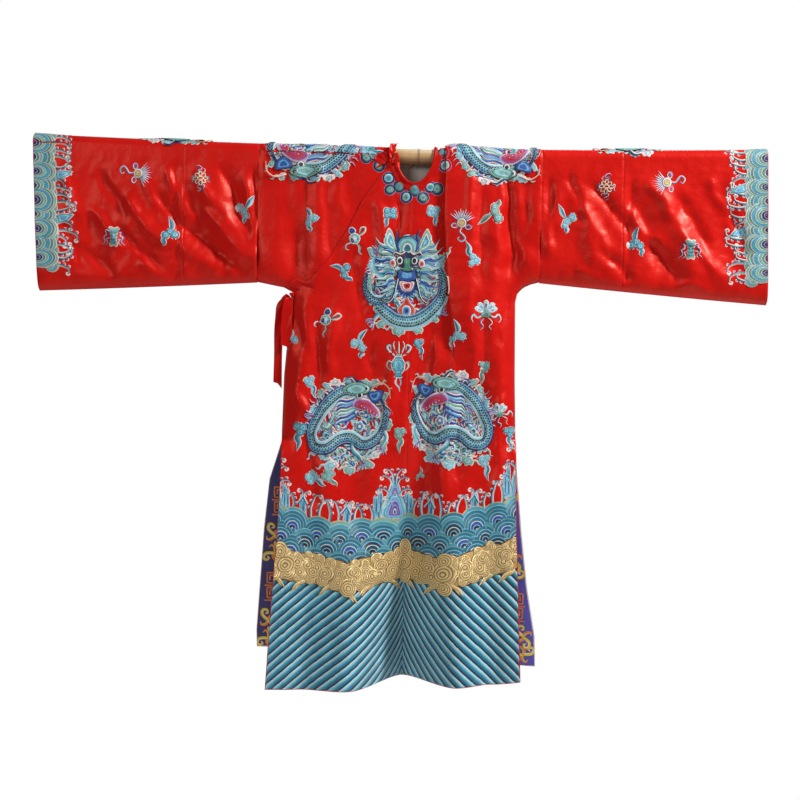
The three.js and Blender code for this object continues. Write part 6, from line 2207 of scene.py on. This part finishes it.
# %% [markdown]
# The neckline is finished with a rolled binding, a narrow flat band and a piece of lining behind
# it. The roll is a round tube bent along the neckline, with fine twisted creases in its radius,
# which a plain bevelled curve would lack. Tubes are also used for the knots, so the helper is
# general: it carries a ring along a path and closes both ends.

# %% A tube of cloth
BINDING_PROUD = 1.2
BINDING_ROLL = 2.7


def frames(path):
    ahead = np.gradient(path, axis=0)
    ahead = unit(ahead)
    side = unit(np.cross(ahead, [0.0, 0.0, 1.0]) + [1e-4, 0, 0])
    for k in range(1, len(path)):  # carry the side along without twisting
        s = side[k - 1] - ahead[k] * np.dot(side[k - 1], ahead[k])
        side[k] = s / np.linalg.norm(s)
    return ahead, side, np.cross(ahead, side)


def tube_grid(path, radius, sides=14, flat=1.0, creases=0.0, turns=3.0):
    """Rings along a path, with how far along each one is."""
    path = np.asarray(path, float)
    ahead, side, up = frames(path)
    radius = np.interp(np.linspace(0, 1, len(path)), np.linspace(0, 1, len(np.atleast_1d(radius))),
        np.atleast_1d(radius))
    angle = np.linspace(0, 2 * math.pi, sides, endpoint=False)
    run = np.concatenate([[0], np.cumsum(np.linalg.norm(np.diff(path, axis=0), axis=1))])
    crease = 1 + creases * np.sin(turns * angle[None] + run[:, None] * 0.55) * np.sin(run[:,
        None] * 0.9 + 2 * angle[None])
    ring = radius[:, None] * crease
    points = path[:, None] + side[:, None] * (ring * np.cos(angle))[..., None] + up[:,
        None] * (ring * np.sin(angle) * flat)[..., None]
    uv = np.stack([np.broadcast_to(run[:, None], ring.shape), np.broadcast_to(angle * 4, ring.shape)], -1)
    return points, uv, ahead


def tube(name, path, radius, material, sides=14, flat=1.0, creases=0.0, closed=False):
    points, uv, ahead = tube_grid(path, radius, sides, flat, creases)
    path, uv = np.asarray(path, float), uv.reshape(-1, 2)
    radius = np.atleast_1d(radius)
    rows = len(path)
    i, j = np.meshgrid(np.arange(rows if closed else rows - 1), np.arange(sides), indexing="ij")
    a, b = i * sides + j, i * sides + (j + 1) % sides
    c, d = ((i + 1) % rows) * sides + (j + 1) % sides, ((i + 1) % rows) * sides + j
    quads = np.stack([a, b, c, d], -1).reshape(-1, 4)
    points = points.reshape(-1, 3)
    loops, sizes = quads.ravel(), [4] * len(quads)
    if not closed:
        tip = len(points)
        points = np.concatenate([points, path[[0]] - ahead[[0]] * radius[0] * 0.5,
            path[[-1]] + ahead[[-1]] * radius[-1] * 0.5])
        uv = np.concatenate([uv, uv[[0]], uv[[-1]]])
        k = np.arange(sides)
        first = np.stack([np.full(sides, tip), (k + 1) % sides, k], -1)
        last = np.stack([np.full(sides, tip + 1), (rows - 1) * sides + k,
            (rows - 1) * sides + (k + 1) % sides], -1)
        loops = np.concatenate([loops, first.ravel(), last.ravel()])
        sizes += [3] * (2 * sides)
    return mesh_object(name, points, loops, sizes, [material], None, uv[loops] * MM)


def neck_line(inset, stand, count, low=3.02, high=8.98, proud=0.0):
    """Points along the neckline, drawn in from the cut edge and standing off the pole's middle."""
    angle = np.linspace(low, high, count)
    front = np.sin(angle) > 0
    drop = np.where(front, NECK_DROP, NECK_BACK) - inset
    x = NECK_X + (NECK_HALF - inset) * np.cos(angle)
    z = NECK_Z + 1 - drop * np.abs(np.sin(angle))
    over = np.where(front & (z < 0), LAYER * (1 - smooth(x / 60)) + proud, 0)
    y = np.where(z > 0, np.sqrt(np.maximum(0, stand**2 - np.minimum(z, stand) ** 2)), stand + over)
    return np.stack([x, np.where(front, -y, y), z], -1)


def even_path(points, count):
    run = np.concatenate([[0], np.cumsum(np.linalg.norm(np.diff(points, axis=0), axis=1))])
    at = np.linspace(0, run[-1], count)
    return np.stack([np.interp(at, run, points[:, k]) for k in range(3)], -1)


binding_path = even_path(neck_line(5.0, 24.7, 300, proud=BINDING_PROUD), 150)
roll, roll_flat, _ = tube_grid(binding_path, [BINDING_ROLL], 16, 1.0, 0.07)
neck_binding = cloth_wall("neck_binding_roll", roll, roll_flat, trim_satin, trim_satin, loop=True)
edge_path = even_path(neck_line(0.6, 25.2, 300, 3.05, 8.95, BINDING_PROUD + 0.2), 150)
edge_cord = tube("neck_edge_cord", edge_path, [1.5], trim_satin, 10, 1.0, 0.05)

# %% The flat neck band and the neck lining
def neck_band(name, side):
    angle = np.linspace(0.12, math.pi - 0.12, 80)
    widths = np.linspace(1.0, 12.5, 5)
    rows = []
    for width in widths:
        drop = (NECK_DROP if side < 0 else NECK_BACK) + width
        x = NECK_X + (NECK_HALF + width) * np.cos(angle)
        z = NECK_Z - drop * np.sin(angle)
        w = np.where(z > 0, HANG_R * np.arccos(np.clip(z / HANG_R, -1, 1)), ARC - z)
        rows.append(np.stack([x, -side * w], -1))
    flat = np.array(rows)
    x, w = flat[..., 0], flat[..., 1]
    x = unfold(x, w)[0] if side < 0 else x
    grid = cloth_at(x, w) + out_of_cloth(x, w) * (CLOTH / 2 + 0.55 + layer_out(x, w))[..., None]
    return cloth_wall(name, grid, np.stack([x, w], -1), trim_satin, trim_satin)


neck_bands = [neck_band("neck_band_front", -1), neck_band("neck_band_back", 1)]
x, t = np.meshgrid(np.linspace(-9, 52, 12), np.linspace(ARC + 25, ARC + 105, 16))
lining_grid = cloth_at(x, -t) - out_of_cloth(x, -t) * (CLOTH + 0.15)
neck_lining = cloth_wall("neck_lining_cloth", lining_grid, np.stack([x, -t], -1), lining_silk, lining_silk)

# %% [markdown]
# The two ties are narrow strips of the red silk. Each is a ribbon that follows a path and an
# across direction, with a soft cup, a turned edge and a slightly crooked end, and each ends in a
# knot: one length of the same silk wound over and under itself.

# %% Ties and knots
def ribbon(name, path, across, width, cup, ripple, seed, count=42, notch=0.0):
    path = np.asarray(path, float)
    path = np.stack([curve(path[:, [k, k]], count)[:, 0] for k in range(3)], -1)
    ahead = unit(np.gradient(path, axis=0))
    across = np.asarray(across, float)
    side = unit(across - ahead * (ahead @ across)[:, None])
    face = np.cross(ahead, side)
    dice = np.random.default_rng(seed)
    s = np.linspace(-1, 1, 11)
    k = np.linspace(0, 1, count)
    width = np.interp(k, np.linspace(0, 1, len(width)), width) / 2
    edge = 1 + 0.05 * np.sin(k * 23 + dice.uniform(0, 6))
    lift = cup * (s[None] ** 2) + ripple * np.sin(k * 9 + dice.uniform(0, 6))[:,
        None] * s[None] + ripple * 0.6 * np.sin(k[:, None] * 17 + s[None] * 3)
    grid = path[:, None] + side[:, None] * (width * edge)[:, None, None] * s[None, :, None] + face[:,
        None] * lift[..., None]
    slant = ahead[:, None] * (notch * (k[:, None] ** 6) * (s[None] + 0.6 * np.abs(s[None])))[..., None]
    run = np.linalg.norm(np.diff(path, axis=0), axis=1).sum() * k
    flat = np.stack(np.broadcast_arrays(s[None] * width[:, None], run[:, None]), -1)
    return cloth_wall(name, grid + slant, flat, trim_satin, trim_satin)


def silk_knot(name, centre, size):
    t = np.linspace(0, 2 * math.pi, 64, endpoint=False)
    path = np.stack([np.sin(t) + 1.7 * np.sin(2 * t), 0.62 * np.sin(3 * t),
        np.cos(t) - 1.7 * np.cos(2 * t)], -1)
    spread = np.asarray(size, float) / np.abs(path).max(0) * 0.62
    return tube(name, np.asarray(centre, float) + path * spread, [min(size) * 0.42], trim_satin, 12, 0.9,
        0.12, closed=True)


ties = {
    "neck_tie_tab": ribbon("neck_tie_tab_cloth", [(-61.6, -27.8, -7), (-70, -27.6, -6.5), (-80, -27.2, -12),
        (-91, -26.6, -21)], (0.62, 0, -0.78), [17, 27, 29, 25], 2.0, 1.2, 3, notch=5),
    "neck_tie_loop": ribbon("neck_tie_loop_cloth",
        [(-51, -31, -8.6), (-52, -32, 5), (-51, -30, 17), (-47, -24, 26), (-43, -15, 30)], (1, 0.2, 0),
            [9, 15, 15, 14, 12], -1.6, 0.8, 4),
    "neck_tie_end": ribbon("neck_tie_end_cloth", [(-43.6, -34, -20), (-38, -35.5, -14), (-38, -36, -5),
        (-42, -35, 3)], (0.9, 0, 0.4), [7, 10, 10, 8], 1.0, 0.5, 5),
    "side_tie_front": ribbon("side_tie_front_cloth",
        [(-305.5, -18.5, -373.6), (-312, -21.5, -390), (-315, -21.5, -440), (-315, -20.5, -500)],
            (1, 0.12, 0), [15, 24, 28, 28], 1.6, 1.4, 6, notch=9),
    "side_tie_back": ribbon("side_tie_back_cloth",
        [(-312.8, -17, -367.6), (-322, -13.6, -381), (-333, -10, -404), (-336, -9, -470), (-336, -8, -596)],
            (1, 0.1, 0), [12, 18, 21, 21, 20], -1.4, 1.3, 7, notch=8),
    "neck_tie_knot": silk_knot("neck_tie_knot_silk", (-52.6, -31.4, -17), (8, 6.5, 8)),
    "side_tie_knot": silk_knot("side_tie_knot_silk", (-302.6, -17.6, -366), (8, 6, 7.5)),
}
print("ties", list(ties))

# %% [markdown]
# The pole is one cane of bamboo. It tapers hardly at all, swells at each node and has a sharp ring
# just beside it, so its radius is a rule along its length. The finish has long fibre streaks, small
# dark spots and darker bands beside the nodes, and its colour runs from pale on top to dark brown
# below, which is painted light and shade.

# %% Bamboo
POLE_NODES = [-790, -420, 18, 380, 740]
POLE_ENDS = (-966.0, 908.0)


def pole_radius(x):
    away = x - np.array(POLE_NODES)[np.argmin(np.abs(x[:, None] - np.array(POLE_NODES)), 1)]
    swell = 0.62 * np.exp(-((away / 5.5) ** 2)) - 0.5 * np.exp(-(((away - 4.5) / 1.4) ** 2))
    return 20.85 + swell + 0.08 * np.sin(x / 31)


def bamboo_mesh(name, material):
    fine = np.concatenate([np.linspace(n - 14, n + 14, 15) for n in POLE_NODES])
    x = np.unique(np.round(np.concatenate([np.linspace(POLE_ENDS[0] + 1.2, POLE_ENDS[1] - 1.2, 60), fine]),
        2))
    radius = pole_radius(x)
    x = np.concatenate([[POLE_ENDS[0], POLE_ENDS[0], POLE_ENDS[0] + 0.5], x,
        [POLE_ENDS[1] - 0.5, POLE_ENDS[1], POLE_ENDS[1]]])
    radius = np.concatenate([[14.5, 19.6, 20.4], radius, [20.4, 19.6, 14.5]])
    sides = 32
    angle = np.linspace(0, 2 * math.pi, sides, endpoint=False)
    rise = BOW * (x / BOW_SPAN) ** 2
    round_off = 1 + 0.006 * np.sin(2 * angle)[None] + 0.004 * np.sin(3 * angle[None] + x[:, None] / 200)
    points = np.stack(np.broadcast_arrays(x[:, None], radius[:, None] * np.cos(angle) * round_off,
        radius[:, None] * np.sin(angle) * round_off + rise[:, None]), -1)
    rows = len(x)
    i, j = np.meshgrid(np.arange(rows - 1), np.arange(sides), indexing="ij")
    a, b = i * sides + j, i * sides + (j + 1) % sides
    quads = np.stack([a, b, b + sides, a + sides], -1).reshape(-1, 4)
    points = points.reshape(-1, 3)
    loops, sizes = list(quads.ravel()), [4] * len(quads)
    for start, end, flip in ((0, POLE_ENDS[0] + 9, False),
        ((rows - 1) * sides, POLE_ENDS[1] - 9, True)):  # the hollow ends
        tip = len(points)
        ring = points[start:start + sides].copy()
        ring[:, 0] = end
        points = np.concatenate([points, ring, ring.mean(0, keepdims=True)])
        for k in range(sides):
            n = (k + 1) % sides
            wall = [start + n, start + k, tip + k, tip + n]
            floor_face = [tip + n, tip + k, tip + sides]
            loops += wall[::-1] if flip else wall
            loops += floor_face[::-1] if flip else floor_face
            sizes += [4, 3]
    return mesh_object(name, points, loops, sizes, [material])


def bamboo_material():
    material, tree, shader = new_material("bamboo_cane")
    place = add_node(tree, "ShaderNodeTexCoord")
    apart = add_node(tree, "ShaderNodeSeparateXYZ")
    tree.links.new(place.outputs["Object"], apart.inputs[0])
    stretch = add_node(tree, "ShaderNodeMapping")
    stretch.inputs["Scale"].default_value = (5, 260, 260)
    tree.links.new(place.outputs["Object"], stretch.inputs["Vector"])
    fibre = add_node(tree, "ShaderNodeTexNoise", _Scale=1.0, _Detail=4.0, _Roughness=0.6)
    tree.links.new(stretch.outputs[0], fibre.inputs["Vector"])
    blotch = add_node(tree, "ShaderNodeTexNoise", _Scale=22.0, _Detail=3.0)
    tree.links.new(place.outputs["Object"], blotch.inputs["Vector"])
    spots = add_node(tree, "ShaderNodeTexVoronoi", _Scale=150.0)
    tree.links.new(place.outputs["Object"], spots.inputs["Vector"])
    # Painted light and shade: the colour runs from dark brown under the cane to pale on top.
    height = math_node(tree, "MULTIPLY_ADD", apart.outputs["Z"], 19.0, 0.5)
    tone = math_node(tree, "MULTIPLY_ADD", fibre.outputs["Fac"], 0.4,
        math_node(tree, "MULTIPLY_ADD", blotch.outputs["Fac"], 0.5, height))
    ramp = add_node(tree, "ShaderNodeValToRGB")
    colours = [(0.18, (98, 60, 34)), (0.5, (164, 116, 72)), (0.78, (206, 170, 122)), (1.0, (232, 216, 192))]
    for k, (at, colour) in enumerate(colours):
        stop = ramp.color_ramp.elements[k] if k < 2 else ramp.color_ramp.elements.new(at)
        stop.position, stop.color = at, seen(*colour)
    scaled = math_node(tree, "MULTIPLY", tone, 0.72)
    tree.links.new(scaled, ramp.inputs[0])
    near = None
    for node in POLE_NODES:
        away = math_node(tree, "ABSOLUTE", math_node(tree, "SUBTRACT", apart.outputs["X"], node * MM))
        band = math_node(tree, "LESS_THAN", away, 0.0035)
        near = band if near is None else math_node(tree, "MAXIMUM", near, band)
    speck = math_node(tree, "LESS_THAN", spots.outputs["Distance"], 0.09)
    dark = add_node(tree, "ShaderNodeMix", data_type="RGBA")
    dark.inputs["B"].default_value = seen(104, 72, 46)
    mask = math_node(tree, "MULTIPLY_ADD", near, 0.5, math_node(tree, "MULTIPLY", speck, 0.35))
    tree.links.new(mask, dark.inputs["Factor"])
    tree.links.new(ramp.outputs["Color"], dark.inputs["A"])
    tree.links.new(dark.outputs["Result"], shader.inputs["Base Color"])
    tree.links.new(math_node(tree, "MULTIPLY_ADD", fibre.outputs["Fac"], 0.25, 0.26),
        shader.inputs["Roughness"])
    bump = add_node(tree, "ShaderNodeBump", _Strength=0.4, _Distance=0.0006)
    tree.links.new(fibre.outputs["Fac"], bump.inputs["Height"])
    tree.links.new(bump.outputs["Normal"], shader.inputs["Normal"])
    return material


bamboo = bamboo_mesh("bamboo_cane", bamboo_material())
print("bamboo faces", len(bamboo.data.polygons))

# %% [markdown]
# Seams are where hand stitches sink into the satin. A Geometry Nodes tree turns each seam's line
# into a row of short stitches: the line is resampled at the stitch pitch, one small piece is laid at
# each point and the result is realized. The same tree that lays the scales does it, fed with
# points along the armholes, the piecing seams and the centre seams.

# %% Seam stitches
def seam_points(x, w, pitch=4.2):
    path = cloth_at(x, w)
    run = np.concatenate([[0], np.cumsum(np.linalg.norm(np.diff(path, axis=0), axis=1))])
    at = np.arange(pitch, run[-1], pitch)
    return np.interp(at, run, x), np.interp(at, run, w)


SEAMS = []
for which, (seam, piecing, *_rest) in SLEEVE.items():
    sign = -1 if which == "right" else 1
    for offset in (1.8, -1.8):
        SEAMS.append((np.full(60, piecing + offset), np.linspace(-370, 370, 60)))
        SEAMS.append((np.full(60, seam + sign * abs(offset)), np.linspace(-340, 340, 60)))
SEAMS.append((np.full(90, CENTRE_SEAM + 2.2), np.linspace(150, 940, 90)))
SEAMS.append((np.full(90, CENTRE_SEAM - 2.2), np.linspace(150, 940, 90)))
SEAMS.append((np.full(90, CENTRE_SEAM + 2.2), np.linspace(-30, -900, 90)))
spot = [seam_points(x, w) for x, w in SEAMS]
seam_x, seam_w = np.concatenate([s[0] for s in spot]), np.concatenate([s[1] for s in spot])
normals = out_of_cloth(seam_x, seam_w)
places = cloth_at(seam_x, seam_w) + normals * (CLOTH / 2 + layer_out(seam_x, seam_w) - 0.05)[:, None]
ahead = unit(cloth_at(seam_x, seam_w + 2) - cloth_at(seam_x, seam_w - 2))
stitch_shape = small_piece("one_stitch", [(1.1, 0.3), (-1.1, 0.3), (-1.1, -0.3), (1.1, -0.3)], 0.22, "red")
seam_stitches = lay_pieces("seam_stitches", floss_laying, stitch_shape, places, normals, ahead, 1.0, 0.12)
# %% [markdown]
# The camera stands four metres in front of the robe at mid height and is turned a little, so the
# robe hangs as it does on its wall. A small key lamp, high and to the right, gives silk its clear
# lights, and two broad weak lamps, one in front and one behind, open up the shade.
# The floor is pale and far enough below to leave the hem clear.

# %% Camera, floor and light
CAMERA_FROM = Vector((-0.0175, -4.0, -0.633))
ROLL = math.radians(1.2)
VIEW_HALF = 1.04  # metres seen to each side of the middle, at the pole


def look_at(name, kind, place, aim):
    data = (bpy.data.cameras if kind == "camera" else bpy.data.lights).new(name,
        **({} if kind == "camera" else {"type": kind}))
    thing = bpy.data.objects.new(name, data)
    bpy.context.scene.collection.objects.link(thing)
    thing.location = place
    thing.rotation_euler = (Vector(aim) - Vector(place)).to_track_quat("-Z", "Y").to_euler()
    return thing


camera = look_at("camera", "camera", CAMERA_FROM, CAMERA_FROM + Vector((0, 1, 0)))
right, up, back_way = (
    Vector((math.cos(ROLL), 0, math.sin(ROLL))),
    Vector((-math.sin(ROLL), 0, math.cos(ROLL))),
    Vector((0, -1, 0)),
)
turn = [[right[i], up[i], back_way[i]] for i in range(3)]
camera.rotation_euler = Matrix(turn).to_euler()
camera.data.sensor_fit = "HORIZONTAL"
camera.data.angle = 2 * math.atan(VIEW_HALF / 4.0)
camera.data.clip_end = 60
bpy.context.scene.camera = camera


def soft_lamp(name, place, size, power):
    lamp = look_at(name, "AREA", place, (0, 0, -0.6))
    lamp.data.shape = "DISK"
    lamp.data.size = size
    lamp.data.energy = power
    return lamp


soft_lamp("key_lamp", (2.8, -1.45, 2.2), 0.7, 190)
soft_lamp("fill_lamp", (-2.4, -3.2, 0.8), 1.6, 34)
soft_lamp("back_lamp", (0.4, 3.0, 1.2), 2.4, 60)
world = bpy.data.worlds.new("studio")
world.use_nodes = True
sky = world.node_tree
soft_sky, seen_sky = sky.nodes["Background"], sky.nodes.new("ShaderNodeBackground")
soft_sky.inputs["Color"].default_value = (1, 1, 1, 1)
soft_sky.inputs["Strength"].default_value = 0.14
seen_sky.inputs["Color"].default_value = (1, 1, 1, 1)
seen_sky.inputs["Strength"].default_value = 1.0
direct, either = sky.nodes.new("ShaderNodeLightPath"), sky.nodes.new("ShaderNodeMixShader")
sky.links.new(direct.outputs["Is Camera Ray"], either.inputs[0])
sky.links.new(soft_sky.outputs[0], either.inputs[1])
sky.links.new(seen_sky.outputs[0], either.inputs[2])
sky.links.new(either.outputs[0], sky.nodes["World Output"].inputs["Surface"])
bpy.context.scene.world = world

bpy.context.scene.view_settings.view_transform = "Standard"

floor_white, _, floor_shader = new_material("floor_white")
floor_shader.inputs["Base Color"].default_value = (0.9, 0.9, 0.9, 1)
floor_shader.inputs["Roughness"].default_value = 0.9
floor = mesh_object(
    "floor", [[-2400, -2600, -1950], [2400, -2600, -1950], [2400, 900, -1950], [-2400, 900, -1950]],
    [0, 1, 2, 3], [4], [floor_white],
)
floor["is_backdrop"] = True
print("lamps", [lamp.name for lamp in bpy.data.lights])
# %% [markdown]
# Every made piece rides on the one body and stands for the CAD node that it covers, which is
# hidden. The table also lists each piece's slot, flat size, flat area and how it is held.

# %% What stands for what
binding_length = float(np.linalg.norm(np.diff(binding_path, axis=0), axis=1).sum()) * MM
COVERS = [  # piece, node, slot, flat size, flat area, how it is held, pieces on it
    (front_left, "front_left", "embroidered_satin", (0.338, 1.41), 0.44, "hung",
     [border_pieces[-1], gold_pieces[-1], dragon_scales, seam_stitches, emblem_pieces[0], neck_ring_floss,
         neck_bands[0], cuff_piece,
      *dragon_pieces.values()]),
    (front_overlap, "front_overlap", "embroidered_satin", (0.348, 1.41), 0.40, "hung", []),
    (front_under, "front_under", "red_satin", (0.352, 0.94), 0.29, "hung", []),
    (back_left, "back_left", "embroidered_satin", (0.36, 1.38), 0.43, "hung",
        [border_pieces[1], gold_pieces[1], emblem_pieces[1], neck_bands[1]]),
    (back_right, "back_right", "embroidered_satin", (0.388, 1.38), 0.45, "hung", []),
    (sleeves["right", "upper"], "sleeve_right_upper", "embroidered_satin", (0.196, 0.76), None, "hung", []),
    (sleeves["right", "lower"], "sleeve_right_lower", "embroidered_satin", (0.389, 0.82), None, "hung", []),
    (sleeves["left", "upper"], "sleeve_left_upper", "embroidered_satin", (0.21, 0.75), None, "hung", []),
    (sleeves["left", "lower"], "sleeve_left_lower", "embroidered_satin", (0.38, 0.82), None, "hung", []),
    (slit_facings["right"], "slit_facing_right", "slit_brocade", (0.062, 0.61), None, "hung",
        [facing_floss[0]]),
    (slit_facings["left"], "slit_facing_left", "slit_brocade", (0.062, 0.61), None, "hung",
        [facing_floss[1]]),
    (neck_lining, "neck_lining", "pale_lining", (0.061, 0.08), None, "hung", []),
    (ties["neck_tie_tab"], "neck_tie_tab", "red_satin", (0.027, 0.034), None, "folded", []),
    (ties["neck_tie_loop"], "neck_tie_loop", "red_satin", (0.014, 0.05), None, "folded",
        [ties["neck_tie_knot"]]),
    (ties["neck_tie_end"], "neck_tie_end", "red_satin", (0.01, 0.027), None, "folded", []),
    (ties["side_tie_front"], "side_tie_front", "red_satin", (0.026, 0.13), None, "hung",
        [ties["side_tie_knot"]]),
    (ties["side_tie_back"], "side_tie_back", "red_satin", (0.0205, 0.235), None, "hung", []),
    (neck_binding, "neck_binding", "red_satin", (2 * math.pi * BINDING_ROLL * MM, binding_length), None,
        "folded", [edge_cord]),
]
for name in ("neck_tie_knot", "side_tie_knot"):
    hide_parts(name)
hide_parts("bamboo_pole")
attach(bamboo, "root")
for piece, node, slot, flat, area, held, sewn in COVERS:
    for part in [piece, *sewn]:
        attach(part, "root")
    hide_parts(node)
print("covered", [row[1] for row in COVERS])

# %% The size and the end
size = {"cad": cad_box, "visual": [list(corner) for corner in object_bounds()]}
print("size", size)
